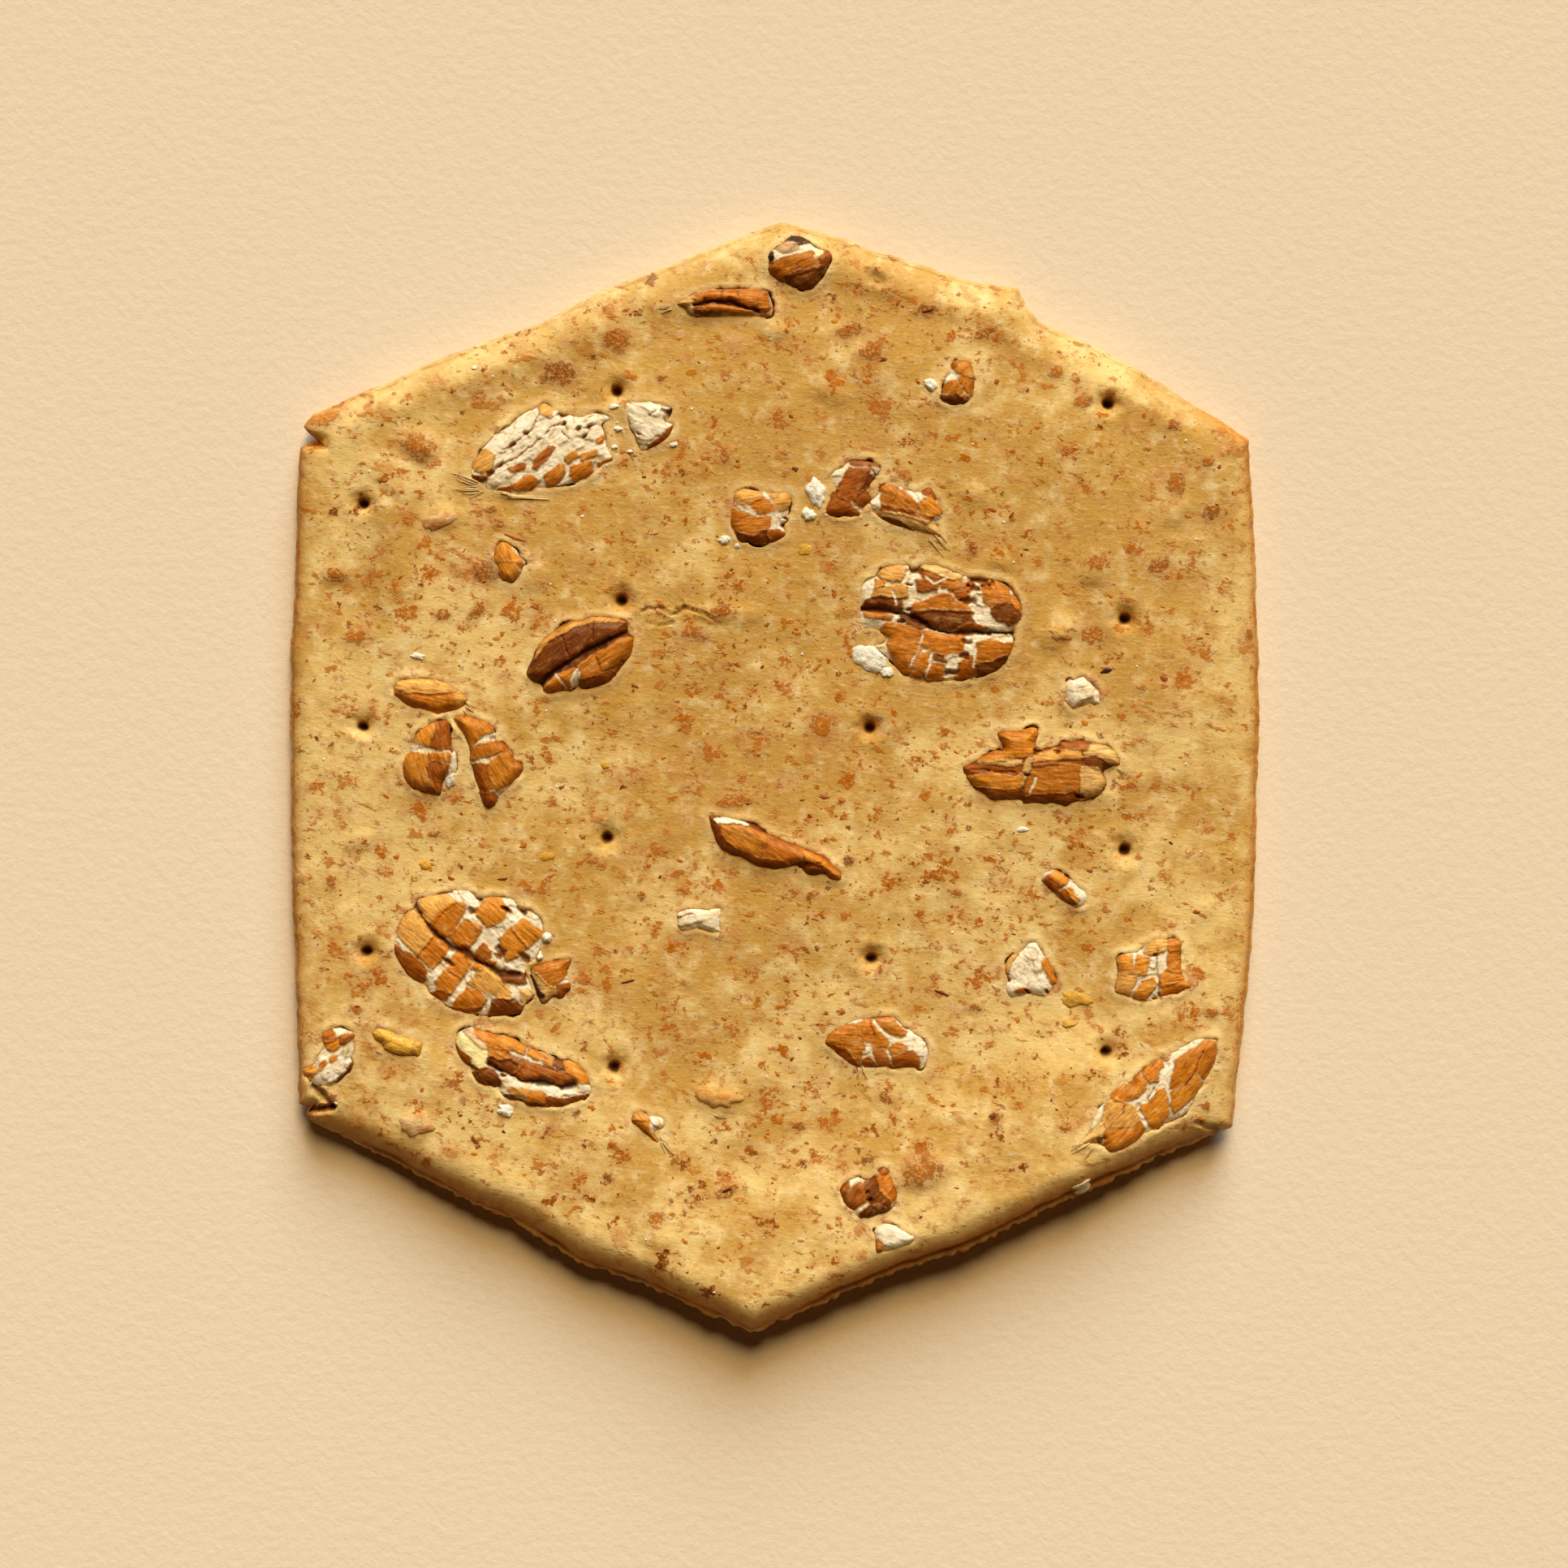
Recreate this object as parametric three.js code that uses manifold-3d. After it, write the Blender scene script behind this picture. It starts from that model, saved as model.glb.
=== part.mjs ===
// Spelt cracker: a thin six-sided baked sheet of dough with cracked spelt kernels pressed into its top.
// Millimetres. +X right, +Y towards the top corner, +Z up; it lies on its flat underside.
import * as THREE from "three";
import Module from "manifold-3d";

const wasm = await Module();
wasm.setup();

// ---------------------------------------------------------------- driving dimensions
const middleThickness = 2.9; // dough thickness over most of the cracker
const edgeThickness = 2.15; // dough thickness just inside the cut edge
const pillowWidth = 8; // how far in from the edge the dough thickens
const rimLift = 0.35; // every edge bakes a little off the tray
const frontCurl = 1.15; // extra curl of the two lower sides and their corners
const valleyDepth = 0.22; // shallow hollow inside the upper left side

const kernelSunk = 0.85; // depth of a kernel under the dough surface
const kernelGap = 0.3; // open gap between a kernel and its socket
const pitDepth = 1.7; // docking holes, pricked from above
const pitMouth = 0.75; // funnel radius at the surface
const pitBore = 0.42; // radius at the bottom

// Corners of the outline, walking anticlockwise from the top.
// steps: pieces of the side that runs on to the next corner; bow: how far that side bulges out;
// wave: height of the slow waviness along it.
const corners = [
  { at: [0.4, 34.3], steps: 15, bow: 0.15, wave: 0.22 }, // top
  { at: [-28.6, 22.35], steps: 2, bow: 0.2, wave: 0 }, // upper left, above its crack
  { at: [-29.45, 20.8], steps: 17, bow: 0.55, wave: 0.12 }, // upper left, below its crack
  { at: [-29.4, -20.4], steps: 1, bow: 0, wave: 0 }, // lower left, above its crack
  { at: [-28.75, -21.4], steps: 14, bow: 0.12, wave: 0.3 }, // lower left, below its crack
  { at: [-1.3, -34.35], steps: 15, bow: 0.08, wave: 0.3 }, // bottom
  { at: [28.35, -21.8], steps: 18, bow: 1.15, wave: 0.1 }, // lower right
  { at: [29.4, 20.75], steps: 7, bow: 0.45, wave: 0.1 }, // upper right
  { at: [16.3, 28.1], steps: 2, bow: -0.1, wave: 0 }, // foot of the nick in the upper right side
  { at: [15.1, 30.2], steps: 3, bow: -0.15, wave: 0 }, // tip of the nick
  { at: [10.6, 31.1], steps: 5, bow: 0.1, wave: 0.12 }, // where the nick begins
];

// Cracks that split the two left corners: a wedge through the dough from its mouth to its end.
const cornerCracks = [
  { mouth: [-30.2, 22.4], end: [-27.75, 21.5], width: 1.5 },
  { mouth: [-30.4, -20.85], end: [-27.2, -20.45], width: 0.5 },
];

// Docking holes: alternate columns are shifted by half a pitch, and each hole strays a little.
const dockingHoles = [
  [-25.35, 16.75], [-25.35, 3.0], [-25.1, -10.85],
  [-9.7, 23.65], [-9.4, 10.75], [-10.3, -3.85], [-9.85, -18.0],
  [5.9, 2.9], [5.95, -11.3],
  [20.55, 22.9], [21.6, 9.6], [21.55, -4.6], [20.4, -17.0],
];

// How a kernel's end closes: power and root of the width curve along its length.
const ends = { round: [2, 0.5], pointed: [2, 0.9], blunt: [5, 0.5] };

const branBrown = { color: 0xb9742f, roughness: 0.62, metalness: 0 };
const darkBrown = { color: 0x85501f, roughness: 0.58, metalness: 0 };
const strawTan = { color: 0xcf9a55, roughness: 0.7, metalness: 0 };
const flourWhite = { color: 0xe8dfc6, roughness: 0.9, metalness: 0 };
const gritYellow = { color: 0xd9a548, roughness: 0.45, metalness: 0 };

// Cracked kernels and their chips, each pressed into its own socket.
// at: middle; size: length and width; turn: degrees anticlockwise; closing: left and right end;
// lean: how much further it bulges on its upper side than on its lower one; crease: depth of the
// kernel's groove along its length; ragged: roughness of the broken outline.
const kernels = {
  kernel_end_top: {
    at: [1.5, 31.1], size: [3.8, 3.1], turn: 27, closing: ["round", "blunt"], ragged: 0.05, finish: darkBrown,
  },
  half_kernel_top: {
    at: [-3.2, 28.95], size: [6.0, 1.8], turn: 2, closing: ["pointed", "blunt"], crease: 0.12, finish: darkBrown,
  },
  chip_upper_right: {
    at: [11.3, 24.1], size: [2.9, 2.2], turn: 78, closing: ["blunt", "round"], ragged: 0.1, finish: branBrown,
  },
  white_flake_upper_left: {
    at: [-14.4, 20.0], size: [9.0, 4.7], turn: 21, closing: ["pointed", "blunt"], ragged: 0.05, finish: flourWhite,
  },
  white_chip_upper_left: {
    at: [-7.75, 21.5], size: [3.3, 2.8], turn: -58, closing: ["blunt", "pointed"], ragged: 0.08, finish: flourWhite,
  },
  round_flake_upper: {
    at: [-0.85, 15.9], size: [3.9, 3.5], turn: -42, closing: ["blunt", "round"], ragged: 0.05, finish: branBrown,
  },
  crushed_kernel_left: {
    at: [4.6, 17.45], size: [3.8, 2.7], turn: 66, closing: ["blunt", "round"], ragged: 0.08, finish: branBrown,
  },
  crushed_kernel_right: {
    at: [8.3, 16.05], size: [5.3, 3.0], turn: -40, closing: ["blunt", "pointed"], ragged: 0.06, finish: branBrown,
  },
  broad_flake_right: {
    at: [10.25, 9.35], size: [10.1, 7.2], turn: -6, closing: ["round", "round"], crease: 0.4, ragged: 0.02,
    finish: branBrown,
  },
  small_flake_left: {
    at: [-16.3, 13.05], size: [2.8, 1.9], turn: 112, closing: ["pointed", "round"], ragged: 0.06, finish: strawTan,
  },
  whole_kernel_left: {
    at: [-11.9, 7.25], size: [7.9, 4.5], turn: 33, closing: ["pointed", "pointed"], crease: 0.5, finish: darkBrown,
  },
  bran_sliver_left: {
    at: [-21.2, 4.95], size: [4.5, 1.7], turn: -14, closing: ["round", "pointed"], finish: strawTan,
  },
  split_kernel_left: {
    at: [-21.3, 0.95], size: [5.2, 2.7], turn: 76, closing: ["blunt", "pointed"], lean: 0.18, finish: branBrown,
  },
  split_kernel_right: {
    at: [-17.55, 0.75], size: [6.0, 2.7], turn: -69, closing: ["pointed", "pointed"], lean: 0.16,
    finish: branBrown,
  },
  white_chip_right: {
    at: [18.95, 5.1], size: [2.4, 2.2], turn: 20, closing: ["blunt", "blunt"], ragged: 0.1, finish: flourWhite,
  },
  bran_flake_right: {
    at: [16.3, 0.35], size: [9.8, 4.3], turn: -3, closing: ["pointed", "blunt"], crease: 0.15, ragged: 0.06,
    lean: 0.06, finish: branBrown,
  },
  long_kernel_middle: {
    at: [-0.2, -4.5], size: [9.1, 2.4], turn: -25, closing: ["round", "pointed"], finish: branBrown,
  },
  small_flake_right: {
    at: [17.9, -6.8], size: [3.3, 1.6], turn: -43, closing: ["blunt", "blunt"], ragged: 0.06, finish: strawTan,
  },
  white_chip_middle: {
    at: [-4.7, -9.0], size: [3.0, 1.9], turn: -6, closing: ["pointed", "blunt"], ragged: 0.08, finish: flourWhite,
  },
  broad_flake_left: {
    at: [-18.5, -10.85], size: [9.9, 6.7], turn: -36, closing: ["round", "round"], crease: 0.45, ragged: 0.02,
    finish: branBrown,
  },
  loose_tile_left: {
    at: [-13.0, -12.35], size: [2.8, 1.7], turn: 32, closing: ["pointed", "blunt"], ragged: 0.05, finish: branBrown,
  },
  pale_flake_right: {
    at: [15.8, -12.2], size: [3.9, 3.1], turn: 98, closing: ["blunt", "pointed"], ragged: 0.08, finish: flourWhite,
  },
  tiled_flake_right: {
    at: [23.15, -12.0], size: [4.2, 3.8], turn: 14, closing: ["blunt", "blunt"], ragged: 0.06, finish: branBrown,
  },
  pointed_flake_lower: {
    at: [6.35, -16.45], size: [6.4, 3.3], turn: -9, closing: ["pointed", "blunt"], finish: branBrown,
  },
  edge_flake_left: {
    at: [-27.1, -17.4], size: [4.3, 2.3], turn: 53, closing: ["blunt", "round"], ragged: 0.05, finish: flourWhite,
  },
  yellow_chip_left: {
    at: [-23.2, -16.35], size: [2.9, 1.5], turn: -27, closing: ["round", "round"], ragged: 0.1, finish: gritYellow,
  },
  layered_flake_left: {
    at: [-15.4, -18.0], size: [8.9, 3.7], turn: -24, closing: ["blunt", "round"], crease: 0.2, ragged: 0.03,
    finish: branBrown,
  },
  leaf_flake_right: {
    at: [23.25, -19.6], size: [10.2, 4.1], turn: 38, closing: ["pointed", "pointed"], ragged: 0.02,
    finish: branBrown,
  },
  split_tip_lower: {
    at: [-7.7, -21.5], size: [2.8, 1.3], turn: -42, closing: ["blunt", "pointed"], ragged: 0.05, finish: strawTan,
  },
  brown_chip_bottom: {
    at: [5.8, -25.45], size: [3.4, 2.7], turn: 8, closing: ["blunt", "blunt"], ragged: 0.1, finish: darkBrown,
  },
  cream_chip_bottom: {
    at: [7.3, -28.25], size: [2.5, 1.8], turn: -8, closing: ["blunt", "blunt"], ragged: 0.08, finish: flourWhite,
  },
};

// ---------------------------------------------------------------- small helpers
const smooth = THREE.MathUtils.smoothstep;
const { degToRad, lerp } = THREE.MathUtils;

// Slow, repeatable unevenness between -1 and 1.
function waver(t, seed) {
  return 0.6 * Math.sin(t + seed) + 0.4 * Math.sin(2.3 * t + 1.7 * seed);
}

// A closed solid through a stack of rings with equally many points, closed at both ends by a fan.
// The rings run round anticlockwise seen from above, and the stack runs from below to above.
function ringSolid(rings) {
  const count = rings[0].length;
  const points = rings.flat();
  const endMiddle = (ring) => ring.reduce((sum, p) => sum.add(p), new THREE.Vector3()).divideScalar(count);
  const low = points.push(endMiddle(rings[0])) - 1;
  const high = points.push(endMiddle(rings.at(-1))) - 1;
  const faces = [];
  for (let i = 0; i < count; i++) {
    const next = (i + 1) % count;
    const last = (rings.length - 1) * count;
    faces.push(low, next, i);
    faces.push(high, last + i, last + next);
    for (let ring = 0; ring < rings.length - 1; ring++) {
      const a = ring * count + i;
      const b = ring * count + next;
      faces.push(a, b, b + count);
      faces.push(a, b + count, a + count);
    }
  }
  const geometry = new THREE.BufferGeometry().setFromPoints(points);
  geometry.setIndex(faces);
  return geometry;
}

function toManifold(geometry) {
  const vertProperties = new Float32Array(geometry.attributes.position.array);
  const triVerts = new Uint32Array(geometry.index.array);
  return new wasm.Manifold(new wasm.Mesh({ numProp: 3, vertProperties, triVerts }));
}

function toGeometry(solid) {
  const { vertProperties, triVerts } = solid.getMesh();
  const geometry = new THREE.BufferGeometry();
  geometry.setAttribute("position", new THREE.BufferAttribute(vertProperties, 3));
  geometry.setIndex(new THREE.BufferAttribute(triVerts, 1));
  return geometry;
}

// ---------------------------------------------------------------- outline and heights of the dough
// The side from one corner to the next: bowed outwards, with a slow wave that dies at its ends.
function sidePoints(corner, next, seed) {
  const from = new THREE.Vector2(...corner.at);
  const to = new THREE.Vector2(...next.at);
  const along = to.clone().sub(from);
  const outward = new THREE.Vector2(along.y, -along.x).normalize();
  const points = [];
  for (let i = 0; i < corner.steps; i++) {
    const t = i / corner.steps;
    const arch = Math.sin(Math.PI * t);
    const out = corner.bow * arch + corner.wave * arch * waver(9 * t, seed);
    points.push(from.clone().addScaledVector(along, t).addScaledVector(outward, out));
  }
  return points;
}

const outline = corners.flatMap((corner, i) => sidePoints(corner, corners[(i + 1) % corners.length], 2 * i));

// Distance from the middle to the outline in the direction of a point.
function outlineReach(x, y) {
  const direction = new THREE.Vector2(x, y).normalize();
  for (let i = 0; i < outline.length; i++) {
    const a = outline[i];
    const b = outline[(i + 1) % outline.length];
    const before = direction.cross(a);
    const after = direction.cross(b);
    if (before <= 0 && after > 0 && direction.dot(a) > 0) {
      return lerp(direction.dot(a), direction.dot(b), before / (before - after));
    }
  }
  return outline[0].length();
}

// 0 in the middle, 1 at the edge.
function edgeShare(x, y) {
  const distance = Math.hypot(x, y);
  return distance < 1e-6 ? 0 : distance / outlineReach(x, y);
}

// Height of the underside above the tray.
function lift(x, y, share = edgeShare(x, y)) {
  const front = smooth(-y, 3, 20);
  return rimLift * smooth(share, 0.76, 1) + frontCurl * front * smooth(share, 0.55, 1) ** 1.3;
}

// Height of the top skin, before it rounds over at the edge.
function surface(x, y) {
  const share = edgeShare(x, y);
  const inset = (1 - share) * outlineReach(x, y);
  const thickness = lerp(edgeThickness, middleThickness, smooth(inset, 0, pillowWidth));
  const upperLeft = smooth(0.5 * y - 0.4 * x, 8, 18);
  const valley = valleyDepth * upperLeft * Math.exp(-(((inset - 4.2) / 2.2) ** 2));
  const swell = 0.07 * waver(0.31 * x + 0.12 * y, 1) + 0.07 * waver(0.27 * y - 0.14 * x, 4);
  return lift(x, y, share) + thickness + swell * smooth(inset, 0.5, 5) - valley;
}

// ---------------------------------------------------------------- the pieces
// Side of the cracker from the underside up to the skin: [inset, share of the edge's height].
// A lip stands out low down, and a groove runs round above it under the rounded skin.
const sideProfile = [[0.55, 0], [0.1, 0.18], [0, 0.38], [0.28, 0.52], [0.3, 0.68], [0.75, 0.92]];
const undersideShares = [0.5, 0.74, 0.88];
const topInsets = [1.7, 3.4, 5.8, 9.5, 15.5];

function doughSolid() {
  const ringAt = (place) => outline.map((edge) => {
    const reach = edge.length();
    const { share, height } = place(edge, reach);
    const x = edge.x * share;
    const y = edge.y * share;
    return new THREE.Vector3(x, y, height(x, y, share));
  });
  const under = undersideShares.map((share) => ringAt(() => ({ share, height: lift })));
  const side = sideProfile.map(([inset, rise]) => ringAt((edge, reach) => ({
    share: 1 - inset / reach,
    height: (x, y, share) => lift(x, y, share) + rise * edgeThickness,
  })));
  const top = topInsets.map((inset) => ringAt((edge, reach) => ({ share: 1 - inset / reach, height: surface })));
  return ringSolid([...under, ...side, ...top]);
}

// Outline of a kernel in the plane of the cracker, grown outwards by a margin.
function kernelOutline({ at, size, turn, closing, lean = 0, ragged = 0 }, margin = 0) {
  const count = size[0] > 5 ? 18 : 12;
  const [left, right] = closing.map((name) => ends[name]);
  const plain = Array.from({ length: count }, (unused, i) => {
    const angle = (2 * Math.PI * i) / count;
    const along = Math.cos(angle);
    const [power, root] = along < 0 ? left : right;
    const across = Math.max(0, 1 - Math.abs(along) ** power) ** root * Math.sign(Math.sin(angle));
    const bulge = across > 0 ? 1 + 2 * lean : 1 - 2 * lean;
    const rough = 1 + ragged * waver(3.1 * i, size[0] + at[0]);
    return new THREE.Vector2(0.5 * size[0] * along * rough, 0.5 * size[1] * across * bulge * rough);
  });
  const middle = new THREE.Vector2(...at);
  return plain.map((point, i) => {
    const chord = plain[(i + 1) % count].clone().sub(plain[(i + count - 1) % count]).normalize();
    const grown = point.clone().add(new THREE.Vector2(chord.y, -chord.x).multiplyScalar(margin));
    return grown.rotateAround(new THREE.Vector2(), degToRad(turn)).add(middle);
  });
}

// A kernel follows the dough: flat below, domed above, with the groove pressed in along its length.
function kernelSolid(kernel) {
  const rim = kernelOutline(kernel);
  const middle = new THREE.Vector2(...kernel.at);
  const axis = new THREE.Vector2(1, 0).rotateAround(new THREE.Vector2(), degToRad(kernel.turn));
  const dome = 0.22 + 0.05 * kernel.size[1];
  const level = (share, height) => rim.map((edge) => {
    const point = middle.clone().lerp(edge, share);
    const across = point.clone().sub(middle).cross(axis);
    const groove = (kernel.crease ?? 0) * (1 - share ** 4) * Math.exp(-((across / 0.55) ** 2));
    return new THREE.Vector3(point.x, point.y, surface(point.x, point.y) + height - groove);
  });
  const rings = [level(0.97, -kernelSunk), level(1, -0.2), level(0.84, 0.75 * dome - 0.12), level(0.42, dome)];
  return ringSolid(kernel.size[0] > 5 ? rings : rings.slice(0, 3));
}

function socketTool(kernel) {
  const rim = kernelOutline(kernel, kernelGap);
  const floor = rim.map(({ x, y }) => new THREE.Vector3(x, y, surface(x, y) - kernelSunk - kernelGap));
  const mouth = rim.map(({ x, y }) => new THREE.Vector3(x, y, surface(x, y) + 1));
  return ringSolid([floor, mouth]);
}

function pitTool([x, y]) {
  const level = surface(x, y);
  const stack = [[pitBore, -pitDepth], [pitMouth, 0], [pitMouth * 1.6, 0.6]];
  const sides = 8;
  return ringSolid(stack.map(([radius, height]) => Array.from({ length: sides }, (unused, i) => {
    const angle = (2 * Math.PI * i) / sides;
    return new THREE.Vector3(x + radius * Math.cos(angle), y + radius * Math.sin(angle), level + height);
  })));
}

function crackTool({ mouth, end, width }) {
  const from = new THREE.Vector2(...mouth);
  const to = new THREE.Vector2(...end);
  const along = to.clone().sub(from).normalize();
  const half = new THREE.Vector2(along.y, -along.x).multiplyScalar(width / 2);
  const wedge = [from.clone().add(half), to, from.clone().sub(half)];
  return ringSolid([-1, 6].map((z) => wedge.map(({ x, y }) => new THREE.Vector3(x, y, z))));
}

function cutDough() {
  const tools = [
    ...Object.values(kernels).map(socketTool),
    ...dockingHoles.map(pitTool),
    ...cornerCracks.map(crackTool),
  ];
  const cut = tools.reduce((solid, tool) => solid.subtract(toManifold(tool)), toManifold(doughSolid()));
  return toGeometry(cut);
}

// ---------------------------------------------------------------- assembly
const group = new THREE.Group();

function addPiece(name, geometry, finish) {
  geometry.computeVertexNormals();
  const mesh = new THREE.Mesh(geometry, new THREE.MeshStandardMaterial(finish));
  mesh.name = name;
  group.add(mesh);
}

addPiece("dough", cutDough(), { color: 0xd9ab66, roughness: 0.75, metalness: 0 });
for (const [name, kernel] of Object.entries(kernels)) {
  addPiece(name, kernelSolid(kernel), kernel.finish);
}

// The origin goes under the middle of the bounding box, on the tray.
const box = new THREE.Box3().setFromObject(group);
const middle = box.getCenter(new THREE.Vector3());
group.position.set(-middle.x, -middle.y, -box.min.z);

export default group;
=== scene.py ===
import math

import bpy
import numpy as np
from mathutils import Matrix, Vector
from mathutils.geometry import delaunay_2d_cdt


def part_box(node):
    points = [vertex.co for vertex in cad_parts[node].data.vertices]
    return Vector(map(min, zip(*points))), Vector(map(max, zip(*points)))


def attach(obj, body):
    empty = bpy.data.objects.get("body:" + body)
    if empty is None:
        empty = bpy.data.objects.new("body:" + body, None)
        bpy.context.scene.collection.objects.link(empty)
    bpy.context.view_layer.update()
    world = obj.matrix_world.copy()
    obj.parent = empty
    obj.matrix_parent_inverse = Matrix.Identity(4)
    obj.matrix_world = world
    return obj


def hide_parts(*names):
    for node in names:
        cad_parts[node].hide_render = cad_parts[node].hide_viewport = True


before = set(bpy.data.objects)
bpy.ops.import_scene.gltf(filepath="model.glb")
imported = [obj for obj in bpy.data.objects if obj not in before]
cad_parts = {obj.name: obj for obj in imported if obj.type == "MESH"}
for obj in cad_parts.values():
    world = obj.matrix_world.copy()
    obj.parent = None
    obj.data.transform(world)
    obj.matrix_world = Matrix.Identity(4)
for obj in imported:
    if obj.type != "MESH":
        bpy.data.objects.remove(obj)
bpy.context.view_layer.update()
print("frame loaded:", len(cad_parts), "nodes")

# All the shapes below are worked out in millimetres and turned into metres when a mesh is made.
doughLo, doughHi = [np.array(v) * 1000 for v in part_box("dough")]
middle = (doughLo + doughHi) / 2
floorHeight = doughLo[2]


def spot(node):
    low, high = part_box(node)
    return (np.array(low) + np.array(high)) * 500


# Noise and drawing helpers. The last number of every noise call is its seed.
table = np.random.default_rng(11).random((256, 256))


def smooth(v, a, b):
    t = np.clip((v - a) / (b - a), 0, 1)
    return t * t * (3 - 2 * t)


def between(a, b, share):
    return a + (b - a) * share


def mixed(a, b, share):
    # two colours per point, blended by one share per point
    return between(a, b, share[:, None])


def hump(v, width):
    return np.exp(-((v / width) ** 2))


def closeTo(x, y, cx, cy, reach):
    return (np.abs(x - cx) < reach) & (np.abs(y - cy) < reach)


def ripple(x, y, size, seed):
    u, v = x / size + seed * 17.3, y / size + seed * 9.7
    i, j = np.floor(u).astype(int), np.floor(v).astype(int)
    f, g = u - i, v - j
    f, g = f * f * (3 - 2 * f), g * g * (3 - 2 * g)
    i, j, i1, j1 = i & 255, j & 255, (i + 1) & 255, (j + 1) & 255
    low = table[i, j] * (1 - f) + table[i1, j] * f
    high = table[i, j1] * (1 - f) + table[i1, j1] * f
    return (low * (1 - g) + high * g) * 2 - 1


def layered(x, y, size, seed, steps=3):
    total, share, weight = 0, 0, 1
    for step in range(steps):
        total = total + weight * ripple(x, y, size / 2 ** step, seed + step)
        share += weight
        weight *= 0.55
    return total / share


def turned(x, y, degrees):
    c, s = math.cos(math.radians(degrees)), math.sin(math.radians(degrees))
    return x * c + y * s, y * c - x * s


def pairs(numbers):
    return np.array(numbers, float).reshape(-1, 2)


def signedReach(x, y, shape):
    # distance to a closed outline, positive inside it
    best = np.full(x.shape, 1e9)
    inside = np.zeros(x.shape, bool)
    for (ax, ay), (bx, by) in zip(shape, np.roll(shape, -1, 0)):
        dx, dy = bx - ax, by - ay
        t = np.clip(((x - ax) * dx + (y - ay) * dy) / (dx * dx + dy * dy + 1e-12), 0, 1)
        best = np.minimum(best, (x - ax - t * dx) ** 2 + (y - ay - t * dy) ** 2)
        cross = (ay > y) != (by > y)
        if dy != 0:
            inside ^= cross & (x < ax + (y - ay) * dx / dy)
    return np.where(inside, 1, -1) * np.sqrt(best)


def lineReach(x, y, line):
    best = np.full(x.shape, 1e9)
    for (ax, ay), (bx, by) in zip(line[:-1], line[1:]):
        dx, dy = bx - ax, by - ay
        t = np.clip(((x - ax) * dx + (y - ay) * dy) / (dx * dx + dy * dy + 1e-12), 0, 1)
        best = np.minimum(best, (x - ax - t * dx) ** 2 + (y - ay - t * dy) ** 2)
    return np.sqrt(best)


def softened(shape):
    # one round of corner cutting, so that a drawn outline has no hard corners
    ahead = np.roll(shape, -1, 0)
    return np.stack([shape * 0.78 + ahead * 0.22, shape * 0.22 + ahead * 0.78], 1).reshape(-1, 2)


def resampled(shape, step):
    closed = np.vstack([shape, shape[:1]])
    run = np.concatenate([[0], np.cumsum(np.hypot(*np.diff(closed, axis=0).T))])
    at = np.linspace(0, run[-1], max(8, int(run[-1] / step)), endpoint=False)
    return np.stack([np.interp(at, run, closed[:, 0]), np.interp(at, run, closed[:, 1])], 1)


def latticeIn(shape, step, inset, seed, jitter=0.22):
    rng = np.random.default_rng(seed)
    (x0, y0), (x1, y1) = shape.min(0), shape.max(0)
    xs, ys = np.arange(x0, x1, step), np.arange(y0, y1, step * 0.866)
    gx, gy = np.meshgrid(xs, ys)
    gx = gx + (np.arange(len(ys)) % 2)[:, None] * step / 2
    points = np.stack([gx.ravel(), gy.ravel()], 1) + rng.uniform(-1, 1, (gx.size, 2)) * jitter * step
    return points[signedReach(points[:, 0], points[:, 1], shape) > inset]


def filled(edge, inner):
    # triangles inside a closed edge through all the points, facing up; the edge's points come first
    points = np.vstack([edge, inner]) if len(inner) else edge
    count = len(edge)
    ring = [(i, (i + 1) % count) for i in range(count)]
    made = delaunay_2d_cdt([Vector(p) for p in points.tolist()], ring, [], 1, 1e-7, True)
    back = np.array([ids[0] if ids else -1 for ids in made[3]])
    spots = np.array([tuple(v) for v in made[0]])
    lost = np.flatnonzero(back < 0)
    if len(lost):
        points = np.vstack([points, spots[lost]])
        back[lost] = np.arange(len(points) - len(lost), len(points))
    tris = back[np.array(made[2])]
    a, b, c = points[tris[:, 0]], points[tris[:, 1]], points[tris[:, 2]]
    area = (b[:, 0] - a[:, 0]) * (c[:, 1] - a[:, 1]) - (b[:, 1] - a[:, 1]) * (c[:, 0] - a[:, 0])
    tris[area < 0] = tris[area < 0][:, ::-1]
    keep = np.abs(area) > 1e-12
    bays = np.flatnonzero((tris < count).all(1))  # triangles that may bridge a bay outside the edge
    centres = points[tris[bays]].mean(1)
    keep[bays] &= signedReach(centres[:, 0], centres[:, 1], edge) > 0
    return points, tris[keep]


def rimLoop(tris):
    # the outer edge of a set of triangles, as one ordered loop
    edges = np.concatenate([tris[:, [0, 1]], tris[:, [1, 2]], tris[:, [2, 0]]])
    known = set(map(tuple, edges.tolist()))
    ahead = {a: b for a, b in known if (b, a) not in known}
    start = next(iter(ahead))
    loop, here = [start], ahead[start]
    while here != start and len(loop) <= len(ahead):
        loop.append(here)
        here = ahead[here]
    return np.array(loop)


def bridged(upper, lower):
    # triangles of the wall between two loops of vertex numbers of the same length
    upAhead, lowAhead = np.roll(upper, -1), np.roll(lower, -1)
    return np.concatenate([np.stack([upper, lower, lowAhead], 1), np.stack([upper, lowAhead, upAhead], 1)])


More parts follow.
